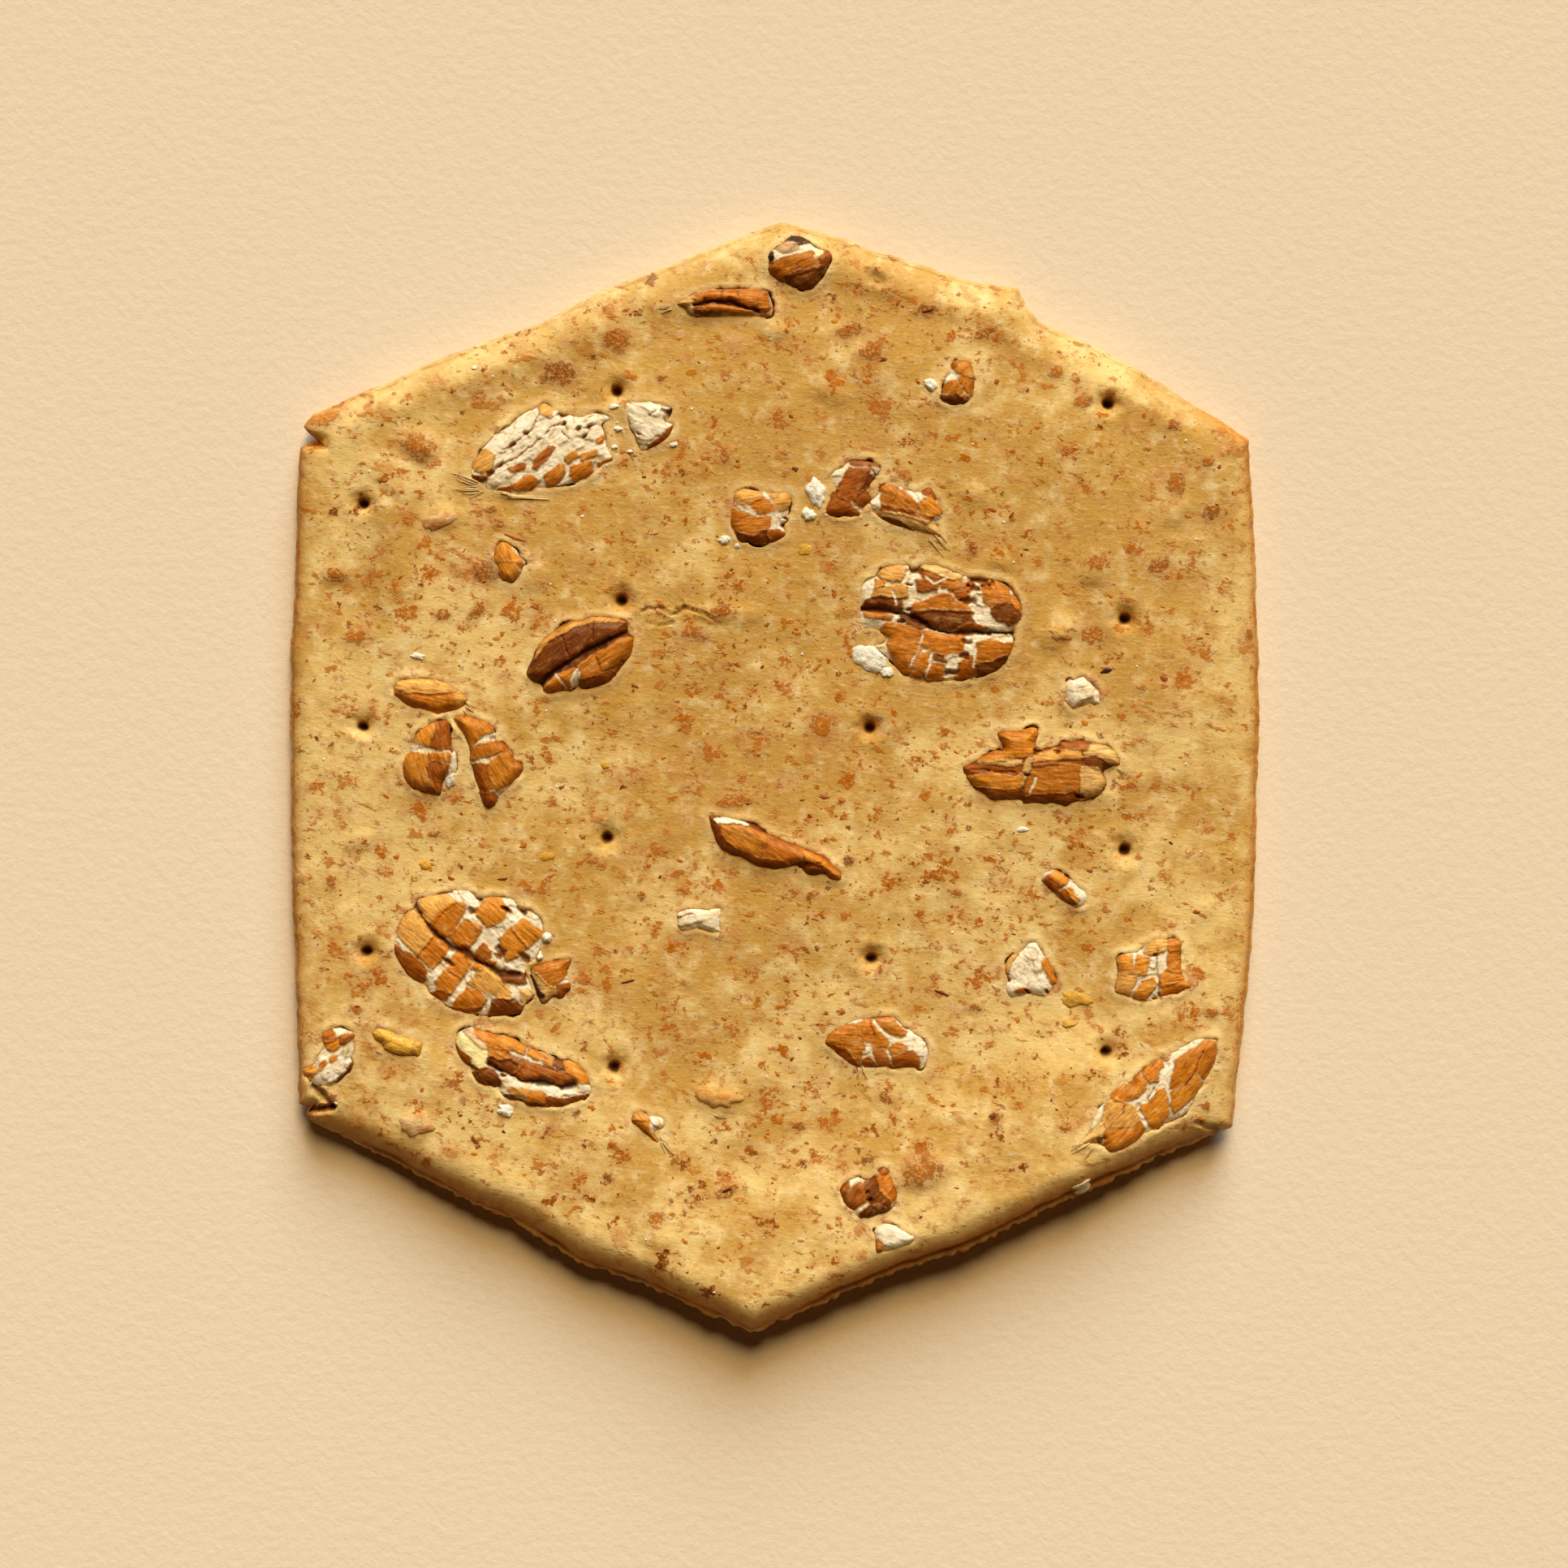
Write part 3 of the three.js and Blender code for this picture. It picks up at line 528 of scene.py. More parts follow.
# Each kernel in millimetres from the middle of its own box: x and y in turn for its rim, its plates (tiles,
# each lying over those before it), its crease and its cracks; pits are x, y and radius. bed is what shows
# between the plates, grain the turn of its fibres, grow how far the plates spread, baked how brown it is and
# rise how domed.
kernels = {
    "broad_flake_right": {
        "slot": "bran_brown", "bed": "flour", "grain": -8, "grow": .1, "baked": .15, "rise": .4,
        "rim": [-5, .88,  -5.04, 1.76,  -5, 2.4,  -4.72, 2.8,  -4.08, 3.04,  -3.68, 3.44,  -2.8, 3.64,
            -2.08, 3.68,  -1.76, 3.44,  -1.12, 3.72,  -.16, 3.6,  .72, 3.28,  1.44, 2.88,  2.08, 2.96,
            2.88, 2.88,  3.84, 2.44,  4.48, 2,  4.88, 1.12,  5, .4,  4.72, -.16,  4.4, -.64,  4.44, -1.2,
            4.24, -1.92,  3.84, -2.56,  3.2, -3.04,  2.4, -3.36,  .64, -3.68,  -.48, -3.68,  -1.6, -3.6,
            -2.24, -3.28,  -2.8, -2.8,  -3.12, -2.32,  -3.68, -1.84,  -4.4, -1.44,  -3.52, -1.08,  -3.76,
            -.64,  -4.08, -.44,  -4.88, -.4,  -5.16, -.08],
        "tiles": [
        ("tan", [-3.92, 3.12,  -3.52, 3.44,  -2.72, 3.6,  -2.28, 3.44,  -2.36, 3.04,  -2.56, 2.68,  -3.04,
            2.56,  -3.6, 2.8]),
        ("bran", [-4.04, 2.68,  -3.56, 2.6,  -3.64, 2.32,  -4.04, 2.28]),
        ("tan", [-4.12, 2.16,  -2.2, 2.36,  -2.2, 1.68,  -2.48, 1.56,  -3.28, 1.64,  -4.28, 1.6]),
        # painted shade: this dark plate is the shaded lower side of the left lobe
        ("dark", [-4.56, 1.44,  -3.76, 1.6,  -2.52, 1.52,  -2.52, .88,  -3.2, .8,  -4.88, 1]),
        ("bran", [-4.92, .8,  -4.16, .7,  -3.12, .48,  -3.2, .32,  -4.72, .48]),
        ("rust", [-1.28, 3.28,  -.8, 3.4,  -.08, 2.8,  -.16, 2.48,  -.4, 2.08,  -1.48, 2,  -1.56, 2.64,
            -1.12, 2.64]),
        ("straw", [-1.2, 3.64,  -.4, 3.56,  1.2, 2.84,  .96, 2.72,  .32, 2.76,  -.32, 3.12,  -1.12, 3.4]),
        ("bran", [.04, 2.64,  .48, 2.68,  1.2, 2.64,  .64, 2,  0, 2.24]),
        ("rust", [.8, 2.08,  1.36, 2.44,  1.88, 2.64,  1.92, 2.4,  1.64, 1.84,  1.52, 1.28,  .8, 1.76]),
        ("bran", [2.64, 2.84,  3.2, 2.68,  4.12, 2.16,  4.16, 1.6,  3.92, 1.28,  3.44, .96,  3.04, 1.04,
            2.56, 1.32,  2.52, 2.08]),
        ("dark", [3.04, .88,  3.6, 1.12,  4.32, 1.28,  4.88, .48,  4.64, .08,  4, -.08,  3.44, .24,  3.08,
            .64]),
        ("bran", [4.36, 1.76,  4.8, 1.12,  4.9, .76,  4.56, .88,  4.24, 1.36]),
        ("bran", [-1.76, 1.12,  -.08, 1.76,  .48, 1.76,  .8, 1.36,  1.52, 1.12,  1.84, .64,  1.6, .72,  .48,
            .8,  -.8, .8,  -1.76, .64,  -1.96, .8]),
        # painted shade: this dark plate and the next lie down into the crease
        ("dark", [-1.84, .68,  -.8, .8,  .48, .8,  1.6, .72,  1.92, .08,  1.36, -.16,  .64, -.36,  -.48,
            -.28,  -1.92, .48]),
        ("dark", [-2.56, .4,  -1.12, 0,  -.64, -.24,  -1.28, -.32,  -2.16, 0]),
        ("rust", [1.44, -.08,  2.08, -.04,  2.72, -.28,  2.24, -.44,  1.44, -.56,  1.04, -.36]),
        ("bran", [-3.44, 0,  -2.4, -.16,  -1.36, -.48,  -1.28, -1.44,  -2.08, -3.12,  -2.56, -2.96,  -2.96,
            -2.4,  -3.28, -1.28,  -3.12, -.8,  -3.76, -.48]),
        ("bran", [-1.24, -.56,  -.64, -.56,  0, -.72,  1.28, -.8,  1.28, -1.36,  1.2, -1.84,  .32, -1.84,
            0, -2,  -.64, -1.64,  -1.12, -1.44]),
        ("bran", [-1.76, -3.04,  -1.36, -2,  -.8, -1.84,  -.8, -2.4,  -.96, -3.24,  -1.92, -3.28]),
        ("dark", [-.6, -1.96,  0, -2.04,  .24, -2.4,  -.48, -2.24]),
        ("bran", [-.68, -2.52,  0, -2.56,  .04, -3.44,  -.88, -3.52,  -1.04, -3.04]),
        ("rust", [1.12, -2.4,  1.6, -2,  2, -2.16,  2, -3.12,  1.28, -3.52,  .88, -3.28]),
        ("bran", [2.16, -1.28,  2.96, -1.04,  3.76, -1.28,  4.4, -1.2,  4.32, -1.76,  3.92, -2,  3.04, -2.4,
            2.12, -2.48,  2.2, -2]),
        ("dark", [2.12, -2.52,  3.04, -2.44,  3.92, -2.04,  3.92, -2.4,  3.44, -2.88,  2.8, -3.2,  2.16,
            -3.36]),
        ],
        "crease": [-5, .88,  -3.2, .76,  -2, .44,  -.48, -.36,  .64, -.6,  2, -.54,  3.04, -.56,  4.4,
            -.66],
        "pits": [(-1.6, 3.2, .36), (2.32, 2.64, .6), (2, 2.16, .4), (1.68, 1.36, .32), (-2.04, 2.36, .2),
            (-2.12, .8, .2), (1.28, -2, .24), (1.64, -1.2, .28), (-2.52, .08, .16), (.56, -3.04, .32),
            (2.88, -.64, .16)],
    },
    "broad_flake_left": {
        "slot": "bran_brown", "bed": "flour", "grain": -40, "grow": .11, "rise": .36,
        "rim": [-3.59, 2.95,  -3.31, 3.31,  -1.58, 3.63,  -1.15, 3.77,  0, 3.67,  .29, 3.31,  .93, 3.38,
            1.65, 3.38,  2.44, 3.23,  2.95, 2.66,  3.59, 2.44,  4.24, 1.87,  4.38, 1.15,  4.24, .36,  3.88,
            -.43,  3.23, -1.08,  3.38, -1.58,  3.84, -2.73,  3.09, -3.38,  3.02, -3.74,  2.73, -3.95,  1.01,
            -4.06,  -.36, -3.88,  -1.29, -3.67,  -2.66, -2.66,  -3.31, -2.01,  -3.88, -1.65,  -4.46, -.93,
            -4.89, -.14,  -4.99, .43,  -4.74, 1.08,  -4.6, 1.87,  -4.1, 2.44,  -3.67, 2.59],
        "tiles": [
        ("tan", [-3.23, 3.09,  -2.52, 3.38,  -1.65, 3.45,  -1.15, 3.02,  -2.01, 2.44,  -2.66, 1.44,  -3.31,
            2.8]),
        ("bran", [-1.15, 3.02,  -.5, 2.73,  -.72, 2.16,  -1.29, 1.22,  -1.87, .72,  -2.66, 1.44,  -2.01,
            2.44]),
        ("bran", [-.43, 1.87,  .5, 1.51,  .14, .72,  -.36, .22,  -.72, .14,  -1.22, .57,  -1.44, .93]),
        ("amber", [.93, 3.23,  1.29, 3.45,  1.65, 3.23,  1.98, 2.44,  1.65, 1.8,  .86, 1.55,  .22, 2.37]),
        ("amber", [2.37, 1.37,  3.23, .29,  2.8, -.29,  2.08, -.57,  1.72, .07,  1.72, .79]),
        ("amber", [3.09, 1.94,  4.24, 1.08,  3.81, .65,  3.31, .25,  2.48, 1.4]),
        ("rust", [.57, .36,  1.01, 0,  .93, -.5,  .65, -.72,  .14, -.36,  .29, .07]),
        ("bran", [.93, -.65,  1.37, -.65,  1.08, -.93,  .72, -.86]),
        ("tan", [-4.24, 2.37,  -3.88, 2.44,  -3.31, 2.37,  -2.44, 1.01,  -3.45, -.22,  -3.95, .36,  -4.6,
            .93,  -4.74, 1.44]),
        ("bran", [-2.37, .97,  -1.58, .25,  -1.72, -.22,  -2.52, -.97,  -3.38, -.29]),
        ("rust", [-4.89, .36,  -3.59, -.43,  -2.87, -1.15,  -3.02, -1.8,  -3.31, -1.94,  -3.74, -1.72,
            -4.31, -1.15,  -4.67, -.43]),
        ("bran", [-.79, 0,  -.04, -.5,  -.43, -1.22,  -.72, -1.62,  -1.51, -1.15,  -1.29, -.57]),
        ("bran", [-1.8, -1.22,  -1.01, -1.44,  -.72, -1.69,  -1.44, -2.59,  -2.16, -2.44,  -2.23, -1.94]),
        ("rust", [-2.23, -2.48,  -1.44, -2.62,  -1.72, -2.95,  -2.16, -2.95,  -2.66, -2.59]),
        ("bran", [.14, -.72,  .65, -.93,  .5, -1.15,  -.07, -1.08]),
        ("tan", [.43, -1.22,  1.01, -1.08,  1.44, -1.37,  1.87, -2.01,  1.22, -2.66,  .5, -2.44,  -.22,
            -2.01]),
        ("bran", [-.36, -2.3,  .36, -2.59,  .79, -2.95,  .5, -3.45,  -.43, -3.59,  -1.29, -3.45]),
        ("rust", [-1.33, -3.49,  -.43, -3.63,  .5, -3.49,  -.14, -3.84,  -1.01, -3.74]),
        ("dark", [1.22, -3.02,  1.87, -2.95,  2.59, -3.02,  3.02, -3.59,  2.73, -3.95,  1.87, -3.95,  1.01,
            -4.02]),
        ("tan", [1.44, -2.77,  1.94, -2.08,  2.23, -2.52,  2.23, -2.91]),
        ("dark", [1.69, -1.44,  2.44, -1.51,  3.16, -1.44,  3.23, -1.94,  2.66, -2.01,  1.87, -1.87]),
        ("straw", [2.95, -2.37,  3.45, -2.44,  3.81, -2.73,  3.09, -3.31]),
        ],
        "crease": [-3.67, 2.87,  -3.23, 2.23,  -2.66, 1.37,  -1.94, .72,  -1.22, .14,  -.57, -.04,  0, -.47,
            .65, -.83,  1.65, -1.33,  2.8, -1.44],
        "pits": [(-.07, 2.44, .29), (1.65, -.07, .36), (-1.58, -.65, .29), (3.23, -.5, .29), (2.16, 2.44,
            .22), (1.87, 2.59, .22), (3.09, 2.37, .29), (.29, 3.31, .36), (3.31, -1.44, .29), (1.44, -.36,
            .22)],
    },
    "white_flake_upper_left": {
        "slot": "flour_white", "bed": "flour", "grain": 32, "grow": .1, "rise": .3,
        "rim": [-4.44, -1.78,  -4.27, -1.02,  -3.76, -.34,  -3.69, -.07,  -3.07, .68,  -2.46, 1.02,  -1.71,
            1.64,  -.1, 2.6,  .2, 2.66,  1.16, 2.05,  1.78, 1.98,  2.39, 1.71,  2.94, 1.98,  3.55, 1.98,
            4.1, 1.84,  4.23, 1.57,  3.62, 1.3,  3.86, .82,  4.13, -.41,  4.44, -.75,  4.37, -.96,  3.62,
            -1.23,  3.28, -1.78,  2.87, -2.05,  2.05, -2.36,  -.82, -2.87,  -1.64, -3.11,  -2.05, -2.94,
            -2.73, -2.8,  -3.28, -2.87,  -3.62, -2.46,  -4.37, -2.12],
        "tiles": [
        ("tan", [-3.69, -.27,  -3.42, -.27,  -2.97, -.68,  -3.21, -1.88,  -4.3, -1.37]),
        ("dark", [-4.47, -1.95,  -3.96, -1.88,  -3.34, -1.95,  -3.41, -2.08,  -4.37, -2.12]),
        ("tan", [-.14, 2.39,  .14, 2.7,  .79, 2.25,  .55, 2.05,  .44, 1.74,  0, 2.05]),
        ("rust", [-1.09, -1.16,  -1.37, -1.23,  -1.98, -1.5,  -1.84, -1.64,  -1.16, -1.5]),
        ("rust", [.75, -.17,  .41, -.14,  -.41, -.96,  -.51, -1.37,  -.34, -1.43,  .27, -.89]),
        ("amber", [1.91, -.48,  2.25, -.61,  1.64, -1.02,  1.47, -.82]),
        ("amber", [2.46, -.61,  3.35, -.34,  3.21, -.68,  2.46, -.89]),
        ("bran", [1.78, -1.37,  2.39, -1.16,  3.07, -1.02,  3.07, -1.71,  2.66, -1.98,  1.95, -2.22,  1.78,
            -1.78]),
        ("bran", [.27, -1.78,  1.33, -1.16,  1.4, -1.71,  1.09, -2.19,  .34, -2.46]),
        ("bran", [-1.78, -2.46,  -1.16, -2.12,  -.61, -1.91,  -.27, -2.12,  -.41, -2.46,  -.75, -2.66,
            -1.64, -2.8]),
        ("rust", [-2.66, -2.73,  -1.98, -2.53,  -1.91, -2.87,  -2.46, -2.87]),
        ("bran", [3.48, .34,  3.76, .55,  3.72, .27,  3.55, .14]),
        ("bran", [3.52, -1.16,  4.44, -.75,  4.37, -.96,  3.55, -1.37]),
        ],
        "pits": [(-1.84, .03, .24), (-.96, .75, .2), (-3.14, -1.71, .27), (-2.6, -1.23, .17), (2.25, 1.06,
            .2), (2.94, 1.13, .2), (1.37, 1.37, .15), (2.6, .55, .15), (1.3, 1.98, .24)],
        "cracks": [[-2.46, -.27,  -1.84, .07,  -1.3, .38,  -.82, .82,  -.55, 1.09,  -.14, 1.91],
         [-3.14, -1.71,  -2.46, -1.23,  -1.57, -.82,  -.68, -.14,  0, .41],
         [.27, .68,  .61, 1.16,  1.37, 1.37,  1.5, .96],
         [2.05, .99,  2.73, 1.09,  3.35, 1.26],
         [2.46, .41,  3.01, .96],
         [1.23, .82,  1.71, .34]],
    },
    "bran_flake_right": {
        "slot": "bran_brown", "bed": "rust", "grain": -4, "baked": .55, "rise": .5,
        "rim": [-5.04, -.12,  -4.4, .16,  -2.96, .96,  -2.4, .96,  -2.24, 1.12,  -2.64, 1.76,  -2.68, 2.1,
            -2, 2.16,  -1.6, 2.14,  -1.12, 2.24,  -.48, 2.44,  -.16, 2.32,  -.12, 1.76,  -.36, 1.28,  -.08,
            1.04,  1.12, 1.2,  1.16, 1.52,  2, 1.52,  2.4, 1.62,  4.2, 1.28,  4.64, .88,  5.04, .08,  4.48,
            -.04,  3.84, -.32,  4.16, -.96,  3.92, -1.68,  3.2, -2.08,  2.08, -2.28,  1.52, -2.57,  1.28,
            -2.4,  .64, -2.28,  .24, -2.4,  -.4, -2.24,  -1.04, -2.4,  -1.28, -2.16,  -2.4, -2.12,  -2.8,
            -2.24,  -3.12, -2.2,  -3.52, -1.76,  -4.16, -1.36],
        "tiles": [
        ("amber", [-2.64, 2.1,  -2, 2.16,  -1.6, 2.14,  -1.12, 2.24,  -.48, 2.44,  -.12, 2.32,  -.12, 1.68,
            -.36, 1.44,  -.32, 1.12,  -.48, .8,  -.88, .56,  -2.08, .48,  -2.4, 1.28]),
        ("amber", [-3.44, .8,  -2.96, 1,  -2.4, .88,  -2.16, .4,  -2.8, .32,  -3.84, .32]),
        ("straw", [-3.84, .2,  -2.96, .16,  -2, 0,  -1.28, .08,  -1.2, .32,  -2.16, .36]),
        ("straw", [-.8, .48,  -.48, .48,  -1.12, -1.2,  -1.28, -1.44,  -1.04, 0]),
        ("amber", [-4.56, -.72,  -2.96, -.48,  -2.24, -.56,  -1.6, -.72,  -1.12, -.56,  -1.28, -1.36,
            -2.72, -1.44,  -4.16, -1.2]),
        ("rust", [-4.08, -1.28,  -2.72, -1.48,  -1.28, -1.44,  -1.44, -2.08,  -2.4, -2.12,  -2.8, -2]),
        ("bran", [-.48, 0,  .96, .16,  2.4, 0,  2.48, -1.2,  2.24, -1.6,  -1.04, -1.84]),
        ("rust", [-1.04, -1.88,  2.24, -1.64,  2.4, -2.16,  1.52, -2.56,  -1.04, -2.4]),
        ("rust", [-.56, .22,  .96, .32,  1, .08,  -.48, -.04]),
        ("tan", [-.48, .64,  .8, 1.04,  2.4, .88,  2.48, .48,  -.4, .32]),
        ("rust", [1.16, 1.48,  2.4, 1.62,  3.12, 1.44,  2.8, 1.04,  2.48, .96,  1.2, 1.12]),
        ("straw", [3.12, 1.28,  3.68, 1.36,  4.2, 1.28,  4.32, 1.04,  4.72, .8,  5.04, .08,  4.4, .08,
            3.84, .4,  2.64, .8]),
        ("dark", [2.56, .48,  3.12, .56,  3.84, .32,  4.32, 0,  3.84, -.32,  3.36, -.16,  2.88, .08]),
        ("straw", [2.48, -.08,  3.44, -.16,  4.08, -1.04,  3.6, -1.68,  2.48, -2.16]),
        ],
        "pits": [(-.24, .88, .28), (1.04, .8, .22), (-.8, -.56, .18), (-3.04, -2.16, .24), (2.4, -1.92,
            .24)],
        "cracks": [[-4.8, -.28,  -3.76, -.28,  -2.96, -.32,  -2, -.36,  -1.52, -.44]],
    },
    "leaf_flake_right": {
        "slot": "bran_brown", "bed": "flour", "grain": 42, "grow": .02, "rise": .34,
        "rim": [-4.65, -3.06,  -4.38, -2.59,  -3.92, -2.06,  -3.79, -1.53,  -3.52, -1,  -2.39, .4,  -1.79,
            .93,  -1.49, .66,  -1.33, .8,  -1.2, 1.13,  -.8, 1.4,  -.4, 1.79,  .13, 2.19,  .53, 2.19,  .66,
            1.99,  .96, 2.19,  1, 2.59,  1.66, 2.86,  2.66, 3.39,  3.45, 3.45,  3.99, 3.42,  4.12, 3.06,
            3.92, 1.99,  3.06, .4,  2.66, -.13,  2.46, -.6,  2.13, -1.13,  1.53, -1.53,  .86, -1.79,  .4,
            -2.06,  -.53, -2.39,  -.93, -2.86,  -1.99, -3.45,  -2.46, -3.59,  -2.92, -3.45,  -3.12, -3.06,
            -3.65, -2.99],
        "tiles": [
        ("tan", [-2.86, -.27,  -2.46, -.13,  -1.13, -.73,  -.86, -1.46,  -1.33, -1.99,  -3.06, -1.99,
            -3.19, -1.33]),
        ("bran", [-3.06, -2.03,  -1.33, -2.03,  -.83, -1.49,  -.47, -2.13,  -1.06, -2.92,  -1.79, -3.32,
            -2.66, -3.59,  -3.12, -3.06]),
        ("bran", [-2.66, .07,  -1.79, .8,  -1.53, .6,  -1.2, 1.06,  -.8, 1.33,  -.5, .93,  -.4, .66,  -.66,
            .13,  -.93, -.13,  -1.53, -.4,  -2.39, -.33,  -2.66, -.13]),
        ("bran", [-.73, 1.46,  -.4, 1.79,  .27, 2.23,  .6, 2.06,  .63, 1.73,  .33, 1.53,  .27, .8,  -.27,
            .73,  -.53, 1.06]),
        ("amber", [.13, .4,  .66, .4,  .86, -.2,  1, -.86,  1, -1.2,  .4, -1.99,  -.13, -2.06,  -.73, -1.06,
            -.8, -.6,  -.4, -.47,  0, -.13]),
        ("bran", [1.26, 2.13,  2.33, 2.79,  3.19, 3.26,  3.92, 3.32,  3.99, 2.66,  3.85, 1.99,  3.26, .86,
            2.66, 1.3,  1.99, .53,  1.59, .4,  1, .33,  1.06, 1.2,  1.26, 1.66]),
        ("amber", [1.03, .27,  1.59, .33,  2.03, .5,  2.66, 1.23,  3.09, .73,  3.09, .53,  2.26, -.4,  1.73,
            -.86,  1.26, -1.16,  1.06, -.66]),
        ("straw", [-4.65, -3.06,  -3.92, -2.13,  -3.12, -1.33,  -3.09, -1.99,  -3.16, -2.99,  -3.85,
            -3.12]),
        ],
        "pits": [(-3.45, -2.99, .33)],
        "cracks": [[-.4, -.27,  0, .4],
         [3.06, 2.66,  2.62, 1.46,  1.99, .53],
         [-1.96, -1.2,  -1.79, -.6]],
    },
    "layered_flake_left": {
        "slot": "bran_brown", "bed": "flour", "grain": -28, "grow": .12, "baked": .2, "rise": .42,
        "rim": [-4.23, 1.22,  -4.16, 1.83,  -3.85, 2.1,  -3.25, 2.33,  -2.77, 2.1,  -1.22, 1.83,  -.54,
            1.56,  0, 1.22,  1.35, .68,  2.37, .2,  2.77, .27,  3.38, 0,  3.79, -.34,  4.29, -1.49,  4.19,
            -1.83,  3.99, -2.03,  3.25, -2.43,  2.43, -2.64,  1.35, -2.71,  .14, -2.64,  0, -2.43,  -.41,
            -2.3,  -.95, -2.23,  -1.35, -2.03,  -1.56, -1.69,  -1.42, -1.32,  -1.89, -1.42,  -2.5, -1.35,
            -2.91, -1.08,  -3.25, -.54,  -3.38, -.14,  -3.72, .14,  -3.99, .54],
        "tiles": [
        ("cream", [-3.72, 1.83,  -3.38, 1.76,  -2.5, 1.01,  -2.1, .95,  -2.03, .54,  -2.23, -.14,  -2.77,
            -.41,  -3.38, -.07,  -3.04, .41,  -3.99, 1.01,  -4.06, 1.49]),
        ("pink", [-3.65, 2.03,  -3.11, 2.1,  -2.71, 1.56,  -2.23, 1.08,  -2.5, 1.05]),
        ("rust", [-4.23, 1.22,  -3.99, .95,  -3.52, .61,  -3.31, .34,  -3.38, -.07,  -3.85, .41]),
        ("dark", [-2.77, -.34,  -2.23, -.27,  -1.76, -.41,  -1.39, -1.15,  -1.49, -1.28,  -2.03, -1.35,
            -2.5, -1.28,  -2.91, -1.01,  -3.11, -.54]),
        ("bran", [-2.98, 2.1,  -2.1, 1.93,  -1.42, 1.69,  -1.56, 1.01,  -2.03, 1.15,  -2.37, 1.49,  -2.84,
            1.83]),
        ("amber", [-1.18, 1.69,  -.54, 1.49,  .07, 1.15,  0, .68,  -.41, .88,  -1.35, .95]),
        ("amber", [.37, .95,  1.35, .54,  1.22, .2,  .81, .41,  .27, .61]),
        ("bran", [1.42, .47,  1.86, .27,  1.76, -.07,  1.35, 0]),
        ("dark", [1.96, .27,  2.57, .07,  2.57, -.27,  2.16, -.27,  1.89, -.07]),
        ("bran", [-2.1, 1.01,  -.95, .68,  -.68, .41,  -1.35, .34,  -2.03, .54]),
        ("dark", [-2.1, .41,  -1.49, .27,  -.54, .27,  0, 0,  -.68, -.61,  -2.1, 0]),
        ("rust", [-.54, .24,  1.69, -.34,  3.25, -.81,  3.04, -1.08,  2.43, -1.35,  1.76, -1.08,  0, -.95,
            -.68, -.61,  .03, -.03]),
        ("amber", [2.57, .07,  3.38, -.14,  3.79, -.54,  4.06, -1.08,  3.38, -1.08,  3.31, -.68,  2.71,
            -.41]),
        ("tan", [-.88, -1.49,  .27, -1.62,  .14, -1.96,  -.68, -1.69]),
        ("dark", [-1.15, -1.89,  -.68, -1.89,  -.14, -2.3,  -.34, -2.43,  -1.15, -2.03]),
        ("bran", [.47, -1.69,  1.28, -1.83,  1.35, -2.37,  .14, -2.37,  .27, -2.03]),
        ("dark", [.14, -2.43,  1.28, -2.43,  1.22, -2.67,  .14, -2.64]),
        ("rust", [1.49, -2.03,  2.57, -2.16,  4.06, -1.93,  3.92, -2.1,  3.25, -2.43,  2.43, -2.67,  1.56,
            -2.64]),
        ],
        "crease": [-2.1, 0,  -1.49, -.3,  -.68, -.68,  0, -1.01,  .88, -1.1,  1.76, -1.18,  2.43, -1.43,
            3.11, -1.22],
        "pits": [(-3.14, -.24, .24), (-1.28, -.68, .17), (-.07, -2.43, .2)],
        "cracks": [[-.95, .68,  -.41, .41,  .41, .07,  1.15, -.14,  2.03, -.44]],
    },
    "kernel_end_top": {
        "slot": "bran_dark", "bed": "flour", "grain": 25, "grow": .14, "baked": .7, "rise": .45,
        "rim": [-1.88, .53,  -2, .77,  -1.35, 1.41,  -.59, 2,  -.12, 2.12,  .29, 1.97,  .47, 1.77,  1.12,
            1.24,  1.71, 1.18,  2, .94,  2.06, .65,  .94, -1.41,  0, -1.33,  -.35, -1.24,  -.71, -1.03,
            -1.18, -.88,  -1.83, -.35,  -1.97, -.06,  -1.88, .24],
        "tiles": [
        ("deep", [-.88, 1.59,  -.59, 1.97,  -.12, 2.09,  .29, 1.94,  .41, 1.68,  0, 1.54]),
        ("deep", [-1.97, .82,  -1.77, .94,  -1.68, .88,  -1.71, .47,  -1.88, .41]),
        ("pink", [-1.35, 1.21,  -1.12, 1.47,  -.71, 1.56,  -.29, 1.44,  -.12, 1.27,  -.71, 1.07,  -1.18,
            1.03]),
        ("bran", [-1.88, -.06,  -1.65, .29,  -.88, .59,  .71, .97,  1.24, .24,  1.47, 0,  -.12, -.24,  -.88,
            -.56,  -1.18, -.88,  -1.8, -.29]),
        ("dark", [-.85, -.58,  -.12, -.27,  1.53, -.03,  1.41, -.41,  .88, -1.41,  0, -1.33,  -.35, -1.24,
            -.65, -1]),
        ("cream", [1, .77,  1.35, .94,  1.59, .82,  1.47, .62,  1.18, .65]),
        ("rust", [1.5, .77,  1.71, 1.12,  1.94, .94,  1.94, .53,  1.71, .12,  1.41, .29,  1.24, .59]),
        ],
        "cracks": [[.88, .94,  1.47, .06]],
    },
    "half_kernel_top": {
        "slot": "bran_dark", "bed": "pink", "grain": -4, "baked": .6, "rise": .5,
        "rim": [-2.92, .04,  -1.81, .7,  -.66, 1,  -.25, .95,  2.05, .99,  2.63, .95,  2.88, .82,  3.21,
            -.33,  3.04, -.82,  2.05, -.78,  -.16, -.81,  -1.23, -.74,  -1.73, -.78,  -2.14, -.58,  -2.38,
            -.16],
        "tiles": [
        ("bran", [-1.81, .41,  -.82, .82,  1.64, .86,  2.67, .82,  2.96, -.25,  2.05, -.25,  .41, .25,
            -.41, .31,  -1.56, .16]),
        ("rust", [-1.73, 0,  -.41, .26,  .41, .18,  2.05, -.33,  1.4, -.29,  .25, 0,  -.58, .07,  -1.56,
            -.16]),
